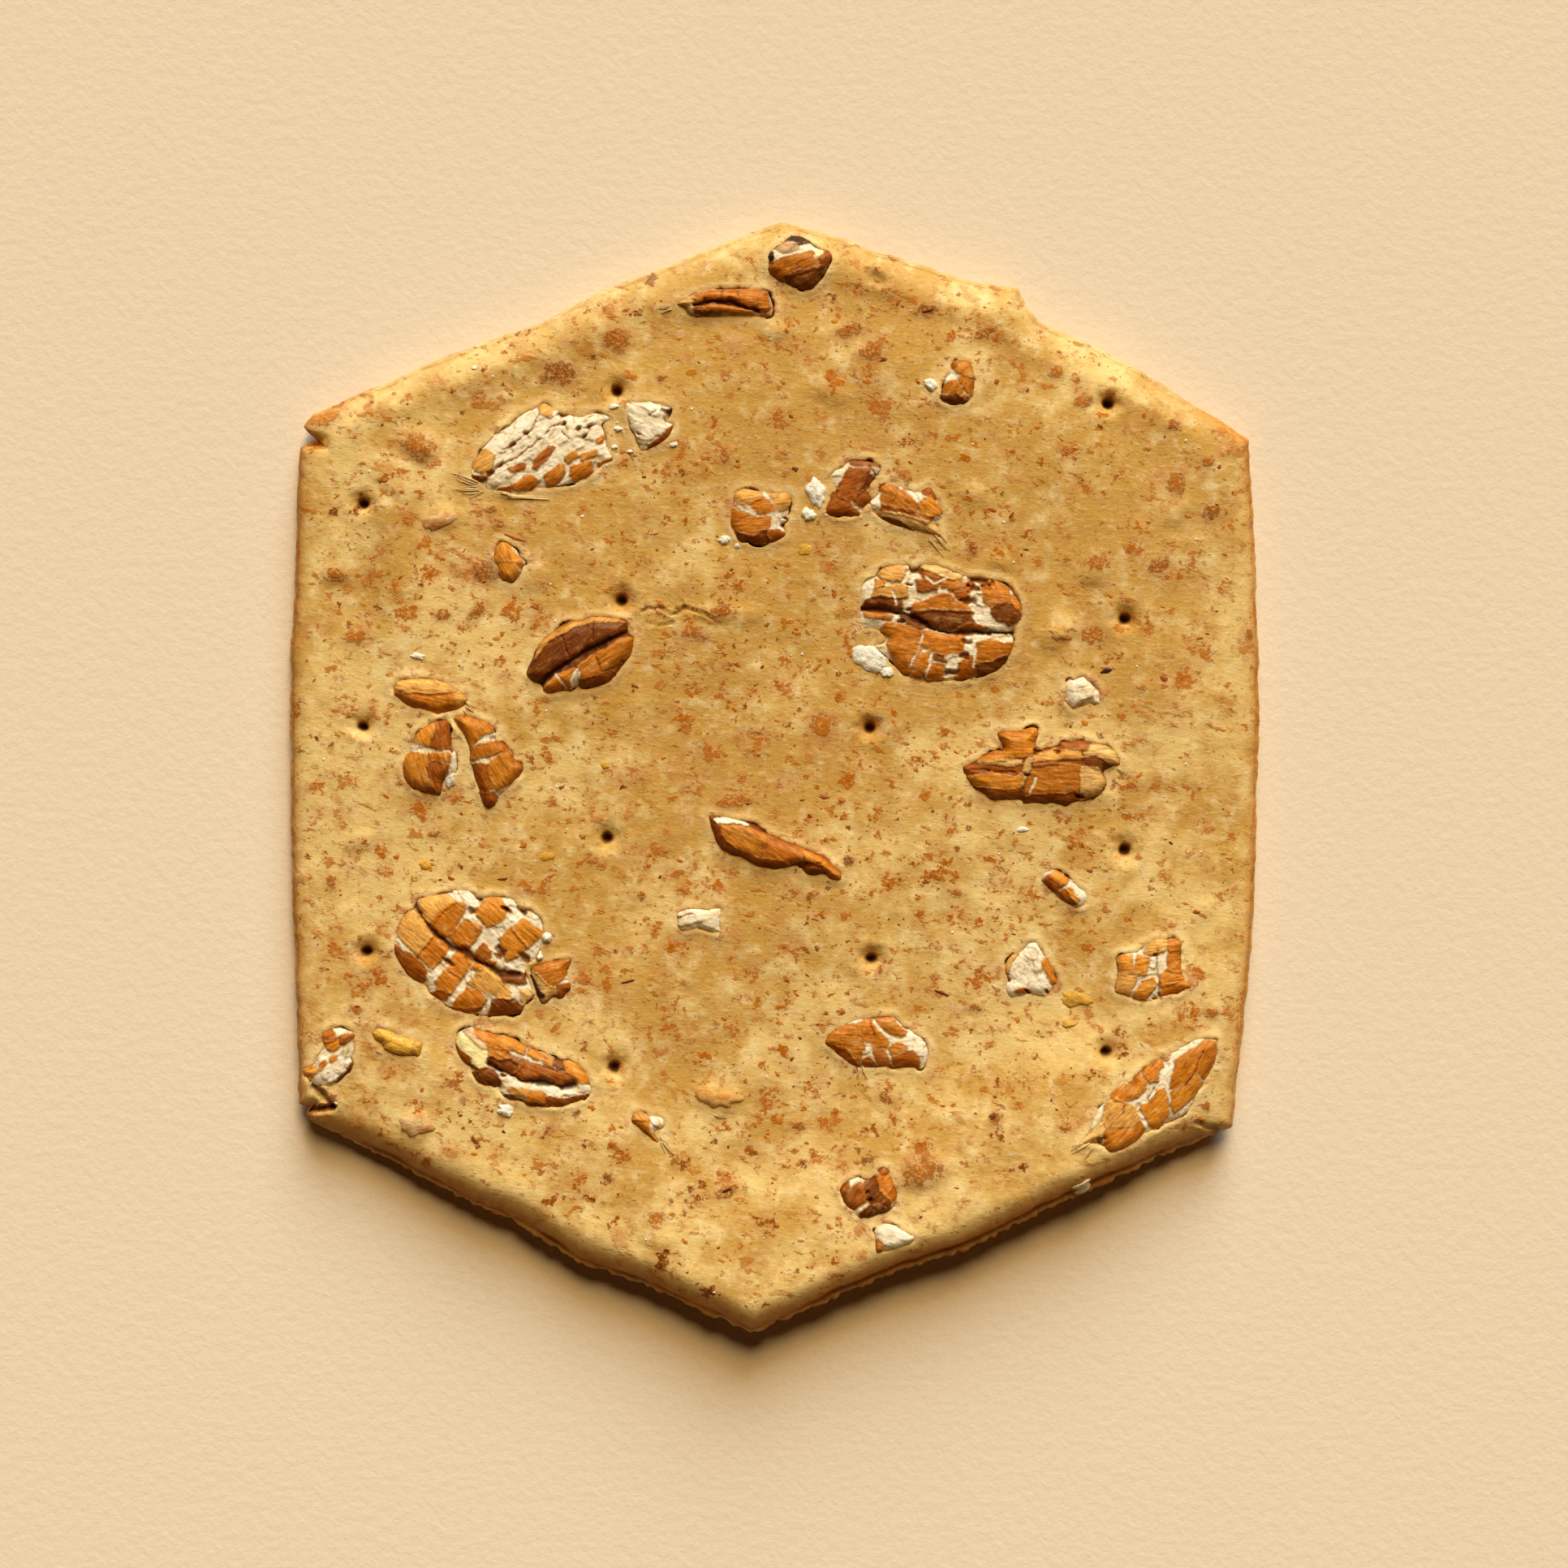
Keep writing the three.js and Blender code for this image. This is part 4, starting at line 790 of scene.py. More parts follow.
        ("bran", [-1.73, -.23,  -.58, 0,  .25, -.07,  1.4, -.35,  2.88, -.31,  2.71, -.41,  1.23, -.51,
            -1.23, -.41]),
        ("dark", [-1.81, -.37,  -1.23, -.45,  -.16, -.59,  -.9, -.64,  -1.64, -.56]),
        ("straw", [-2.79, -.04,  -2.22, .37,  -1.73, .41,  -1.89, .08,  -2.14, -.16,  -2.55, -.16]),
        ],
        "crease": [-1.81, -.08,  -.41, .16,  .41, .1,  1.4, -.21,  2.22, -.39],
        "cracks": [[.04, .82,  -.02, .33],
         [.95, .82,  .99, .41]],
    },
    "chip_upper_right": {
        "slot": "bran_brown", "bed": "flour", "grain": 50, "baked": .5, "rise": .3,
        "rim": [-.29, 1.34,  0, 1.46,  .62, 1.44,  .81, 1.32,  1.15, .53,  1.1, -.53,  1.01, -.96,  .53,
            -1.29,  0, -1.41,  -.53, -1.34,  -1.01, -1.1,  -1.2, -.91,  -.77, -.05,  -.79, .34,  -.48, .57,
            -.53, .81],
        "tiles": [
        ("amber", [-.29, 1.34,  0, 1.46,  .72, 1.39,  .96, 1.05,  1.05, .41,  .53, .47,  .14, .6,  -.19,
            .91,  -.31, 1.15]),
        ("bran", [.14, .31,  .34, .41,  .72, .31,  1.15, .36,  1.1, -.53,  .91, -.77,  .67, -.53,  .43,
            -.14,  .19, .1]),
        ("bran", [-.77, -.12,  -.38, .1,  -.05, .14,  .34, -.34,  .38, -.67,  .72, -.91,  .43, -1.15,  .05,
            -.72,  -.91, -.53,  -1.13, -.72,  -1.01, -.38]),
        ("dark", [-1.05, -.79,  -.72, -.74,  -.24, -.84,  .14, -.72,  .53, -1.17,  .43, -1.39,  -.05, -1.41,
            -.48, -1.29,  -1.05, -1.01]),
        ],
    },
    "white_chip_upper_left": {
        "slot": "flour_white", "bed": "flour", "grain": -20, "grow": .1, "rise": .3,
        "rim": [-1.47, 1.4,  -1.05, 1.3,  -.1, 1.4,  .35, 1.35,  1.5, 1,  1.65, .9,  1.55, .6,  1.25, .1,
            1.6, 0,  1.7, -.15,  1.45, -.8,  1.05, -1.2,  -.3, -1.8,  -.45, -1.55,  -.75, -.75,  -1.05,
            -.35,  -1.1, .1,  -1.25, .35],
        "tiles": [
        ("rust", [1.65, -.1,  1.6, -.55,  1.25, -.95,  .55, -1.45,  0, -1.7,  .15, -1.45,  1.4, -.4]),
        ("deep", [.95, .82,  1.35, .8,  1.57, 1.01,  1.47, .5,  1.25, .7]),
        ],
        "pits": [(-.52, -.6, .12)],
        "cracks": [[.55, .75,  .15, .5],
         [1.1, .35,  1.2, .05]],
    },
    "round_flake_upper": {
        "slot": "bran_brown", "bed": "flour", "grain": 8, "grow": .11, "baked": .25, "rise": .3,
        "rim": [-1.55, 1.23,  -1.29, 1.53,  -.82, 1.64,  .12, 1.41,  .65, 1.44,  1.17, 1.32,  1.7, 1.44,
            1.99, 1.06,  2.05, .7,  1.88, .41,  1.88, .06,  1.7, -.18,  1.82, -.29,  1.47, -.65,  1.64,
            -.88,  1.7, -1.29,  1.35, -1.53,  .41, -1.94,  -.12, -1.94,  -.47, -1.82,  -.7, -1.58,  -.94,
            -1.76,  -1.23, -1.64,  -1.53, -1.17,  -1.76, -.65,  -1.76, 0,  -1.58, .7],
        "tiles": [
        ("tan", [-1.53, .88,  -1.5, 1.17,  -1.23, 1.47,  -.76, 1.58,  -.29, 1.47,  .12, 1.23,  .18, 1.06,
            -.29, .88,  -.76, .56,  -1.23, .7]),
        ("bran", [-.26, .85,  .23, 1.03,  .65, .76,  .94, .35,  .47, .06,  .06, .06,  -.35, .29,  -.56,
            .5]),
        ("tan", [.56, 1.35,  1.17, 1.23,  1.7, 1.38,  1.99, 1,  2.05, .7,  1.7, .47,  1.23, .26,  1, .76]),
        ("bran", [-1.58, .29,  -.88, .06,  -.41, -.18,  0, -.29,  .65, -.23,  .62, -.65,  .53, -.88,  -.29,
            -1.35,  -1.35, -1.11,  -1.7, -.65]),
        ("dark", [-1.32, -1.14,  -.29, -1.38,  .47, -.94,  .65, -1.47,  .41, -1.94,  -.12, -1.94,  -.47,
            -1.82,  -.76, -1.53,  -1, -1.73,  -1.29, -1.58]),
        ("rust", [.59, -1,  1.11, -.94,  1.64, -1.23,  1.47, -1.5,  .88, -1.73,  .67, -1.47]),
        ],
        "pits": [(1.73, -.23, .15), (1.55, -.7, .15)],
    },
    "crushed_kernel_left": {
        "slot": "bran_brown", "bed": "flour", "grain": 20, "grow": .13, "baked": .6, "rise": .3,
        "rim": [-1.11, .91,  -1.03, 1.2,  .06, 1.88,  .51, 1.94,  1.88, 1.77,  2.17, 1.54,  1.77, .8,  1.54,
            .57,  1.42, .17,  1.42, -.11,  1.54, -.63,  1.14, -.97,  .91, -1.31,  .8, -1.62,  .28, -1.62,
            -.28, -1.54,  -.85, -1.6,  -1.37, -1.48,  -1.42, -1.08,  -1.25, -.8,  -1.08, -.28,  -.85, .11,
            -1.03, .4],
        "tiles": [
        ("rust", [.28, 1.71,  .51, 1.91,  1.88, 1.77,  2.17, 1.54,  1.2, 1.64,  .63, 1.6]),
        ("rust", [.17, 1.37,  .63, 1.28,  1.37, 1.34,  .54, -.28,  .51, -.54,  -.46, -.37,  -.63, .06,
            -.06, 1.14]),
        ("rust", [-1.25, -.85,  -.85, -.17,  -.6, 0,  -.46, -.46,  0, -.63,  .8, -1.62,  -1.37, -1.48]),
        ("dark", [1.31, .85,  1.65, .8,  1.42, .4,  1.14, .17,  .85, .06,  1.08, .57]),
        ("rust", [.68, -.17,  .97, -.06,  1.42, -.11,  1.54, -.51,  1.14, -.85,  .74, -.8,  .51, -.63]),
        ],
        "pits": [(-1.11, -.03, .14)],
        "cracks": [[1.37, 1.54,  1.6, 1.08,  1.82, .74]],
    },
    "crushed_kernel_right": {
        "slot": "bran_brown", "bed": "flour", "grain": -38, "grow": .13, "baked": .3, "rise": .3,
        "rim": [-1.58, 1.51,  -1.31, 1.71,  -.85, 1.77,  -.53, 1.58,  .79, 1.05,  1.31, 1.48,  1.64, 1.45,
            2.17, .2,  2.5, -.2,  2.3, -.46,  1.77, -.79,  2.17, -1.12,  2.3, -1.64,  1.91, -1.64,  .53,
            -1.31,  -.13, -1.05,  -.79, -.92,  -1.64, -.46,  -2.46, .39,  -2.04, .85,  -1.64, 1.12,  -1.71,
            1.31],
        "tiles": [
        ("bran", [-1.54, 1.58,  -.99, 1.64,  -.53, 1.45,  -.72, .85,  -1.05, .33,  -1.38, .39,  -1.45, .79,
            -1.31, 1.18,  -1.64, 1.38]),
        ("bran", [-.46, 1.12,  -.07, 1.25,  .72, .13,  .33, -.07,  -.33, .07,  -.99, .33,  -.72, .79]),
        ("amber", [.85, .33,  1.25, .66,  1.77, .85,  1.84, .46,  2.17, .13,  2.04, -.2,  1.64, -.33,  .99,
            0]),
        ("rust", [-1.45, .3,  -.99, .3,  -.33, .03,  .72, -.16,  1.64, -.49,  1.25, -.72,  .33, -.33,
            -1.51, .03]),
        ("straw", [-1.58, -.13,  -.79, -.16,  .99, -.62,  1.77, -.92,  2.23, -1.58,  .72, -.99,  -1.64,
            -.23]),
        ("dark", [-1.51, -.49,  -.79, -.51,  .46, -1.25,  -.13, -1.12,  -1.31, -.72]),
        ("rust", [.99, 1.24,  1.28, 1.48,  1.64, 1.38,  1.91, .79,  1.64, .99,  1.25, .99]),
        ],
        "pits": [(-2.4, .49, .2), (2.33, -.23, .2)],
    },
    "small_flake_left": {
        "slot": "straw_tan", "bed": "flour", "grain": -62, "rise": .3,
        "rim": [-.62, 1.29,  -.22, 1.29,  .4, .89,  .58, .62,  .67, .36,  1.02, .13,  1.07, -.09,  .84,
            -.31,  .76, -.67,  .49, -1.07,  .22, -1.29,  -.13, -1.16,  -.44, -1.11,  -.71, -.62,  -.76,
            -.22,  -.98, .04,  -.93, .71],
        "tiles": [
        ("amber", [-.62, 1.24,  -.22, 1.27,  0, 1.07,  .49, .36,  .84, .09,  .76, .04,  -.98, .09,  -.93,
            .53]),
        ("amber", [-.73, .02,  .8, .01,  .8, -.31,  .62, -.36,  .49, -.84,  .22, -1.11,  -.22, -1.07,  -.53,
            -.76,  -.71, -.49]),
        ],
    },
    "whole_kernel_left": {
        "slot": "bran_dark", "bed": "dark", "grain": 36, "baked": .6, "rise": .62,
        "rim": [-3.48, -1.16,  -3.3, -.62,  -2.68, .62,  -2.23, 1.25,  -.98, 2.14,  -.62, 2.27,  .09, 2.23,
            .27, 2.41,  .8, 2.59,  2.23, 2.45,  2.76, 2.32,  3.03, 1.87,  3.03, 1.43,  3.3, 1.25,  3.34, .8,
            3.12, .09,  2.85, -.36,  1.87, -1.52,  1.25, -1.78,  .62, -1.96,  .09, -2.01,  -.18, -1.87,
            -.54, -2.14,  -1.16, -2.1,  -1.96, -2.36,  -2.32, -2.14,  -2.59, -1.78,  -2.85, -1.69],
        "tiles": [
        ("tan", [-2.41, 1.07,  -1.34, 1.78,  -.45, 2.18,  .8, 2.5,  2.23, 2.41,  2.76, 2.23,  2.23, 2.1,
            .8, 2.14,  -.45, 1.78,  -1.96, .98,  -2.85, -.18,  -2.68, .45]),
        ("dark", [-3.34, -1.11,  -2.85, -.27,  -1.87, .94,  -.4, 1.74,  .8, 2.1,  2.23, 2.05,  2.81, 2.1,
            2.85, 1.61,  1.34, .8,  -.62, -.36,  -2.32, -1.61,  -2.68, -1.52]),
        ("bran", [-.18, -.62,  .62, 0,  2.76, 1.16,  3.3, 1.16,  3.21, .18,  .98, -1.16,  0, -1.34]),
        ("amber", [-2.14, -1.69,  -1.34, -1.07,  -.36, -.76,  -.27, -1.07,  -.54, -1.69,  -.62, -2.14,
            -1.25, -2.14,  -1.96, -2.32,  -2.32, -2.05]),
        ("flour", [-.22, -.8,  -.03, -1.16,  -.18, -1.78,  -.58, -1.92,  -.45, -1.34]),
        ("rust", [0, -1.41,  .98, -1.25,  1.69, -.98,  2.54, -.45,  1.87, -1.52,  .98, -1.87,  0, -1.83]),
        ],
        "crease": [-2.59, -1.78,  -1.69, -.98,  -.71, -.36,  .45, .36,  1.52, .89,  2.94, 1.61],
        "cracks": [[-1.16, 1.25,  -.8, .09],
         [.8, 2.32,  .71, 1.07],
         [.98, -.09,  1.25, -.98]],
    },
    "bran_sliver_left": {
        "slot": "straw_tan", "bed": "tan", "grain": -16, "rise": .4,
        "rim": [-2.24, .45,  -2.05, .77,  -1.54, .9,  -.13, .96,  .58, .83,  1.22, .64,  2.11, .06,  2.37,
            -.32,  2.18, -.7,  1.86, -.96,  1.22, -1.09,  .7, -1.28,  .32, -1.25,  -1.47, -.7,  -1.92, -.26,
            -2.31, 0],
        "tiles": [
        ("tan", [-2.21, .32,  -1.99, .74,  -.83, .91,  .58, .8,  1.73, .29,  1.22, .06,  0, 0,  -1.28,
            .06]),
        ("bran", [-2.18, 0,  0, -.05,  1.22, 0,  1.6, -.32,  1.47, -.7,  .96, -1.09,  .32, -1.22,  -.32,
            -.96,  -1.47, -.64]),
        ],
    },
    "split_kernel_left": {
        "slot": "bran_brown", "bed": "flour", "grain": -70, "baked": .45, "rise": .42,
        "rim": [-.5, .93,  -.14, 1.65,  .43, 2.11,  1.07, 2.4,  1.72, 2.54,  1.97, 2.15,  2.04, .57,  2.33,
            .47,  2.4, -.79,  2.11, -1.07,  1.65, -1.29,  1.47, -1.5,  1.36, -2.29,  .79, -2.22,  -.43,
            -1.79,  -.82, -1.36,  -1.04, -.72,  -1.04, -.21,  -.86, .21,  -.52, .47],
        "tiles": [
        ("amber", [-.39, 1.07,  -.07, 1.61,  .5, 2.08,  1.07, 2.31,  1.1, 1.79,  .72, .82]),
        ("rust", [1.15, 2.31,  1.72, 2.51,  1.9, 2.15,  1.99, 1.29,  1.95, .59,  1.36, .59,  .8, .79,  .97,
            1.36,  1.2, 1.86]),
        ("amber", [-.5, .42,  .43, .34,  .52, 0,  .46, -1.07,  .49, -1.43,  .42, -2.01,  -.43, -1.75,  -.82,
            -1.36,  -1.04, -.72,  -1, -.14,  -.82, .21]),
        ("bran", [.64, .38,  1.43, .34,  1.93, .27,  1.9, -.2,  .68, 0]),
        ("rust", [.73, -.13,  1.22, -.2,  1.83, -.37,  1.65, -1.07,  1.47, -1.35,  .79, -1.18,  .63, -1.06,
            .6, -.5]),
        ("rust", [.64, -1.27,  1.47, -1.43,  1.36, -2.18,  .79, -2.08,  .52, -1.93,  .54, -1.43]),
        ],
        "pits": [(2.01, .43, .16)],
    },
    "split_kernel_right": {
        "slot": "bran_brown", "bed": "flour", "grain": -58, "baked": .7, "rise": .42,
        "rim": [-2.64, 2.76,  -2.26, 2.96,  -1.56, 2.92,  -.93, 2.68,  -.39, 2.57,  -.08, 2.26,  .23, 2.1,
            .23, 1.71,  .08, 1.4,  .7, 1.24,  1.17, .62,  1.32, .16,  1.63, 0,  1.87, -.31,  1.48, -1.01,
            .7, -1.87,  .31, -2.1,  .31, -2.49,  0, -2.8,  -.31, -2.92,  -.62, -2.72,  -1.17, -1.17,  -1.32,
            -.39,  -1.56, .08,  -1.48, .54,  -1.71, 1.48],
        "tiles": [
        ("amber", [-2.33, 2.88,  -1.56, 2.89,  -.93, 2.64,  -.39, 2.55,  .08, 2.02,  -.54, 1.71,  -1.44,
            1.03,  -2.1, 2.1]),
        ("bran", [-1.36, .93,  -.23, 1.28,  .54, 1.28,  .93, 1.01,  .93, .78,  -1.17, .16,  -1.44, .16,
            -1.48, .54]),
        ("amber", [-.3, -.08,  .23, .37,  1.09, .74,  1.24, .39,  1.56, 0,  1.87, -.27,  1.56, -.86,  1.09,
            -1.24,  .16, -1.71,  -.14, -1.17,  -.3, -.7]),
        ("rust", [-1.28, -.16,  -.86, -.08,  -.37, -.08,  -.36, -.7,  -.04, -1.59,  -.47, -1.87,  -.93,
            -1.63,  -1.24, -.54]),
        ("rust", [-.89, -1.87,  -.47, -1.94,  0, -1.79,  .16, -2.18,  .08, -2.57,  -.31, -2.92,  -.62,
            -2.72]),
        ],
        "pits": [(.16, 1.94, .16), (-1.71, .06, .19)],
    },
    "white_chip_right": {
        "slot": "flour_white", "bed": "flour", "grain": 10, "rise": .35,
        "rim": [-1.09, .52,  -.87, .79,  -.52, .81,  0, 1.03,  .31, .83,  .83, .22,  1.09, 0,  1.16, -.17,
            1.09, -.39,  1.18, -.65,  1.09, -.83,  .65, -.87,  .52, -.74,  .31, -.87,  -.09, -.96,  -.57,
            -1.27,  -1.14, -.61,  -1.09, -.31,  -1.16, -.04],
        "tiles": [
        ],
    },
    "long_kernel_middle": {
        "slot": "bran_brown", "bed": "rust", "grain": -34, "baked": .9, "rise": .55,
        "rim": [-3.97, 1.93,  -3.64, 1.98,  -1.72, 1.61,  -.86, 1.29,  -.11, .75,  3.54, -.64,  3.86, -1.18,
            4.39, -1.61,  4.45, -2.04,  4.18, -2.2,  3.64, -2.04,  3.32, -1.72,  2.68, -1.82,  2.14, -1.72,
            1.93, -1.18,  .43, -1.45,  -.54, -1.34,  -1.18, -1.18,  -1.72, -.75,  -2.57, -.54,  -3.22, -.11,
            -3.54, .54],
        "tiles": [
        ("flour", [-3.42, 1.62,  -2.68, 1.74,  -1.82, 1.55,  -1.4, 1.32,  -2.2, 1.5,  -3.22, 1.5]),
        ("amber", [-3, 1.23,  -2.36, 1.23,  -1.29, 1.09,  -.11, .7,  -.27, .11,  -.54, -.54,  -1.82, -.32,
            -2.68, .32,  -3.06, .75]),
        ("bran", [-.05, .64,  2.68, -.32,  3.11, -.96,  2.04, -.86,  1.18, -1.02,  -.43, -.64,  -.19, 0]),
        ("rust", [-3.7, 1.29,  -3.16, 1.26,  -3.06, .7,  -2.68, .21,  -1.82, -.43,  1.18, -1.13,  .43,
            -1.41,  -.54, -1.31,  -1.18, -1.14,  -1.72, -.71,  -2.57, -.49,  -3.22, -.05,  -3.54, .54]),
        ("amber", [2.04, -.32,  3.11, -.43,  3.64, -.86,  4.18, -1.61,  4.29, -2.09,  3.64, -1.93,  3.11,
            -1.18,  2.14, -.86]),
        ("rust", [2.04, -1.31,  2.68, -1.37,  3.32, -1.63,  3.11, -1.8,  2.57, -1.8,  2.14, -1.69]),
        ],
    },
    "small_flake_right": {
        "slot": "straw_tan", "bed": "flour", "grain": -35, "rise": .3,
        "rim": [-1.38, .69,  -1.2, .88,  -.88, .97,  -.46, .97,  .23, .46,  .51, .32,  1.34, -.46,  1.41,
            -.78,  1.34, -1.06,  1.11, -1.34,  .69, -1.43,  .41, -1.2,  0, -1.11,  -1.06, -.18,  -1.29, .09,
            -1.52, .23],
        "tiles": [
        ("rust", [-1.29, .32,  -1.01, .6,  -.74, .51,  -.09, .09,  -.55, -.37,  -.92, -.32,  -1.2, 0]),
        ("amber", [-.83, .69,  -.46, .92,  .23, .41,  .05, .09,  -.23, 0,  -.88, .51]),
        ("rust", [-.51, -.46,  -.09, -.28,  .09, -.37,  .37, -.78,  .69, -1.13,  0, -1.11,  -.32, -.83]),
        ("amber", [.07, -.23,  .28, -.14,  .88, -.88,  .71, -1.11,  .41, -.78]),
        ],
    },
    "white_chip_middle": {
        "slot": "flour_white", "bed": "flour", "grain": 5, "rise": .3,
        "rim": [-1.33, .47,  -.52, .9,  .52, .76,  1.47, .81,  1.52, .71,  1.45, .24,  1.47, -.71,  1.38,
            -.81,  .9, -.76,  .52, -.62,  .05, -.52,  -.33, -.66,  -1.04, -.66,  -1.23, -.43,  -1.23, .09],
        "tiles": [
        ],
        "cracks": [[-1.19, .09,  -.71, .38,  -.14, .38]],
    },
    "loose_tile_left": {
        "slot": "bran_brown", "bed": "flour", "grain": 15, "grow": .12, "baked": .3, "rise": .3,
        "rim": [-2.26, .43,  -.65, .87,  .52, 1.03,  .48, .65,  .22, .22,  .53, -.91,  .3, -1.09,  -.04,
            -1.5,  -.3, -1.54,  -.56, -1.3,  -1.09, -1.83,  -1.43, -1.78],
        "tiles": [
        ("bran", [-2.19, .43,  -.65, .84,  .46, .99,  .41, .7,  -.04, -.22,  -.48, -.69,  -.83, -.65,  -1.3,
            -.3,  -1.52, 0]),
        ("rust", [-.39, -.83,  .09, -.67,  .43, -.65,  .51, -.93,  .3, -1.04,  .09, -.91,  -.04, -1.46,
            -.3, -1.51,  -.52, -1.26]),
        ("straw", [-1.96, .17,  -1.52, -.11,  -1.26, -.48,  -.87, -.83,  -.52, -.83,  -.56, -1.26,  -.91,
            -1.52,  -1.09, -1.78,  -1.39, -1.74,  -1.17, -1.35,  -1.69, -.65]),
        ("deep", [-2.04, -.09,  -1.43, -1.09,  -1.22, -1.35,  -1.43, -1.52,  -1.61, -1.26]),
        ],
    },
    "pale_flake_right": {
        "slot": "flour_white", "bed": "flour", "grain": -45, "rise": .3,
        "rim": [-1.83, .12,  -1.77, .49,  -1.58, .85,  -1.28, 1.16,  -.85, 1.34,  -.61, 1.52,  -.3, 1.95,
            .3, 1.98,  .43, 1.65,  1.16, .49,  1.58, -.67,  1.28, -.79,  1.16, -1.16,  .91, -1.46,  .12,
            -1.46,  -.3, -1.4,  -1.34, -1.58,  -1.65, -1.46,  -1.83, -.85,  -1.65, -.55],
        "tiles": [
        ("tan", [-1.58, .73,  -1.28, 1.1,  -.91, 1.22,  -1.34, .73,  -1.65, -.12,  -1.74, .18]),
        ("bran", [.67, .85,  .91, .79,  1.16, .43,  1.28, 0,  1.52, -.49,  1.46, -.73,  1.16, -.67,  .91,
            -.3,  .79, .12,  .58, .49]),
        ("rust", [-1.1, -1.16,  -.61, -.91,  -.3, -.98,  -.43, -1.16,  -.91, -1.28]),
        ("flour", [-.18, -.67,  .67, -.67,  1.16, -.91,  .91, -1.4,  .49, -1.43,  -.18, -1.34]),
        ("flour", [-1.65, -.67,  -1.34, -.55,  -1.22, -1.04,  -1.34, -1.52,  -1.58, -1.28]),
        ],
        "pits": [(-.27, -1.19, .17), (-1.58, -.43, .18), (.94, -1.25, .15)],
    },
    "tiled_flake_right": {
        "slot": "bran_brown", "bed": "flour", "grain": 4, "grow": .11, "rise": .3,
        "rim": [-2.14, .76,  -1.89, .95,  -1.39, 1.1,  -.69, 1.2,  .13, 1.96,  .69, 2.02,  1.07, 1.96,
            1.45, 2.02,  1.83, 1.83,  2.02, 1.58,  1.83, 1.32,  2.02, -.57,  2.59, -.88,  2.52, -1.07,
            2.08, -1.2,  1.83, -1.39,  1.26, -1.45,  .69, -1.64,  .57, -1.83,  .13, -1.96,  -.44, -2.02,
            -2.08, -1.45,  -2.27, -1.2,  -2.02, -.32],
        "tiles": [
        ("amber", [-2.08, .5,  -1.89, .85,  -1.17, .85,  -1.2, -.13,  -1.64, -.19,  -1.96, 0]),
        ("amber", [-.76, .88,  -.09, .76,  -.41, -.25,  -1.01, -.19,  -.88, .38]),
        ("tan", [-.32, 1.14,  -.06, 1.64,  .32, 1.96,  .95, 1.96,  .95, 1.58,  .76, 1.2,  .19, 1.01]),
        ("tan", [-2.02, -.25,  -.95, -.44,  -1.26, -1.32,  -1.45, -1.51,  -2.08, -1.32,  -2.14, -.95]),
        ("amber", [-.5, -.69,  .13, -.44,  .28, -.95,  -.38, -1.7,  -1.01, -1.73,  -.88, -1.32]),
        ("bran", [1.2, 1.83,  1.51, 1.96,  1.99, 1.58,  1.83, 1.39,  1.2, 1.14,  1.1, 1.32]),
        ("bran", [1.07, .76,  1.14, 1.07,  1.83, 1.26,  1.96, 0,  1.58, -.03,  1.07, .06]),
        ("bran", [.69, -.19,  1.07, -.03,  1.83, -.08,  2.02, -.5,  1.58, -.69,  .69, -.95,  .63, -.57]),
        ("bran", [.69, -1.02,  1.58, -.77,  2.59, -.82,  2.52, -1.07,  1.83, -1.39,  .95, -1.51,  .63,
            -1.45]),
        ],
        "pits": [(.25, -1.7, .14), (.32, .95, .19)],
        "cracks": [[.44, 1.2,  .38, .32,  .5, -.69,  .5, -1.58]],
    },
    "pointed_flake_lower": {
        "slot": "bran_brown", "bed": "flour", "grain": -3, "grow": .11, "baked": .1, "rise": .3,
        "rim": [-3.26, .09,  -3, .6,  -2.32, 1.03,  -1.46, 1.42,  -.6, 1.63,  .69, 1.76,  1.12, 1.72,  1.54,
            1.2,  2.49, .6,  2.92, .17,  3.17, -.43,  3.13, -.94,  2.92, -1.46,  2.66, -1.63,  2.14, -1.46,
            1.29, -1.54,  -.43, -1.46,  -1.12, -1.5,  -1.63, -1.29,  -2.14, -.94,  -3.09, -.17],
        "tiles": [
        ("bran", [-3.17, .09,  -2.92, .6,  -2.23, 1.03,  -1.37, 1.12,  -.86, -.17,  -1.16, -1.24,  -1.8,
            -.43,  -2.57, -.09]),
        ("rust", [-3.17, .04,  -2.57, -.13,  -1.8, -.47,  -1.2, -1.29,  -1.8, -1.29,  -2.4, -.86,  -3,
            -.26]),
        ("bran", [-1.2, 1.2,  -.43, 1.46,  0, .69,  .69, .09,  .51, -.21,  -.09, -.09,  -.69, .17,  -1.03,
            .69]),
        ("bran", [0, 1.63,  .86, 1.72,  1.12, 1.2,  1.72, .69,  1.63, .51,  .94, .6,  .43, .94,  .09,
            1.37]),
        ("rust", [-.26, -.26,  .43, -.43,  .69, -.94,  .86, -1.5,  .17, -1.5]),
        ("bran", [.77, -.26,  1.29, 0,  1.8, -.26,  1.63, -.43,  .94, -.6]),
        ("rust", [1.03, -.82,  2.14, -.47,  2.49, -.94,  2.57, -1.46,  1.72, -1.5,  1.12, -1.46,  1.03,
            -1.12]),
        ("rust", [-.86, -1.03,  -.51, -.86,  -.26, -1.12,  -.04, -1.5,  -.77, -1.46,  -.94, -1.2]),
        ],
        "cracks": [[-.43, 1.37,  -.26, .43]],
    },
    "edge_flake_left": {
        "slot": "flour_white", "bed": "flour", "grain": 32, "rise": .3,
        "rim": [-.68, 1.58,  -.39, 1.75,  .28, 1.95,  .62, 1.89,  1.3, 1.64,  1.41, 1.41,  1.35, 1.01,
            1.41, .68,  1.18, -.11,  1.35, -.23,  1.13, -.79,  .28, -1.58,  -.11, -1.86,  -.85, -1.8,
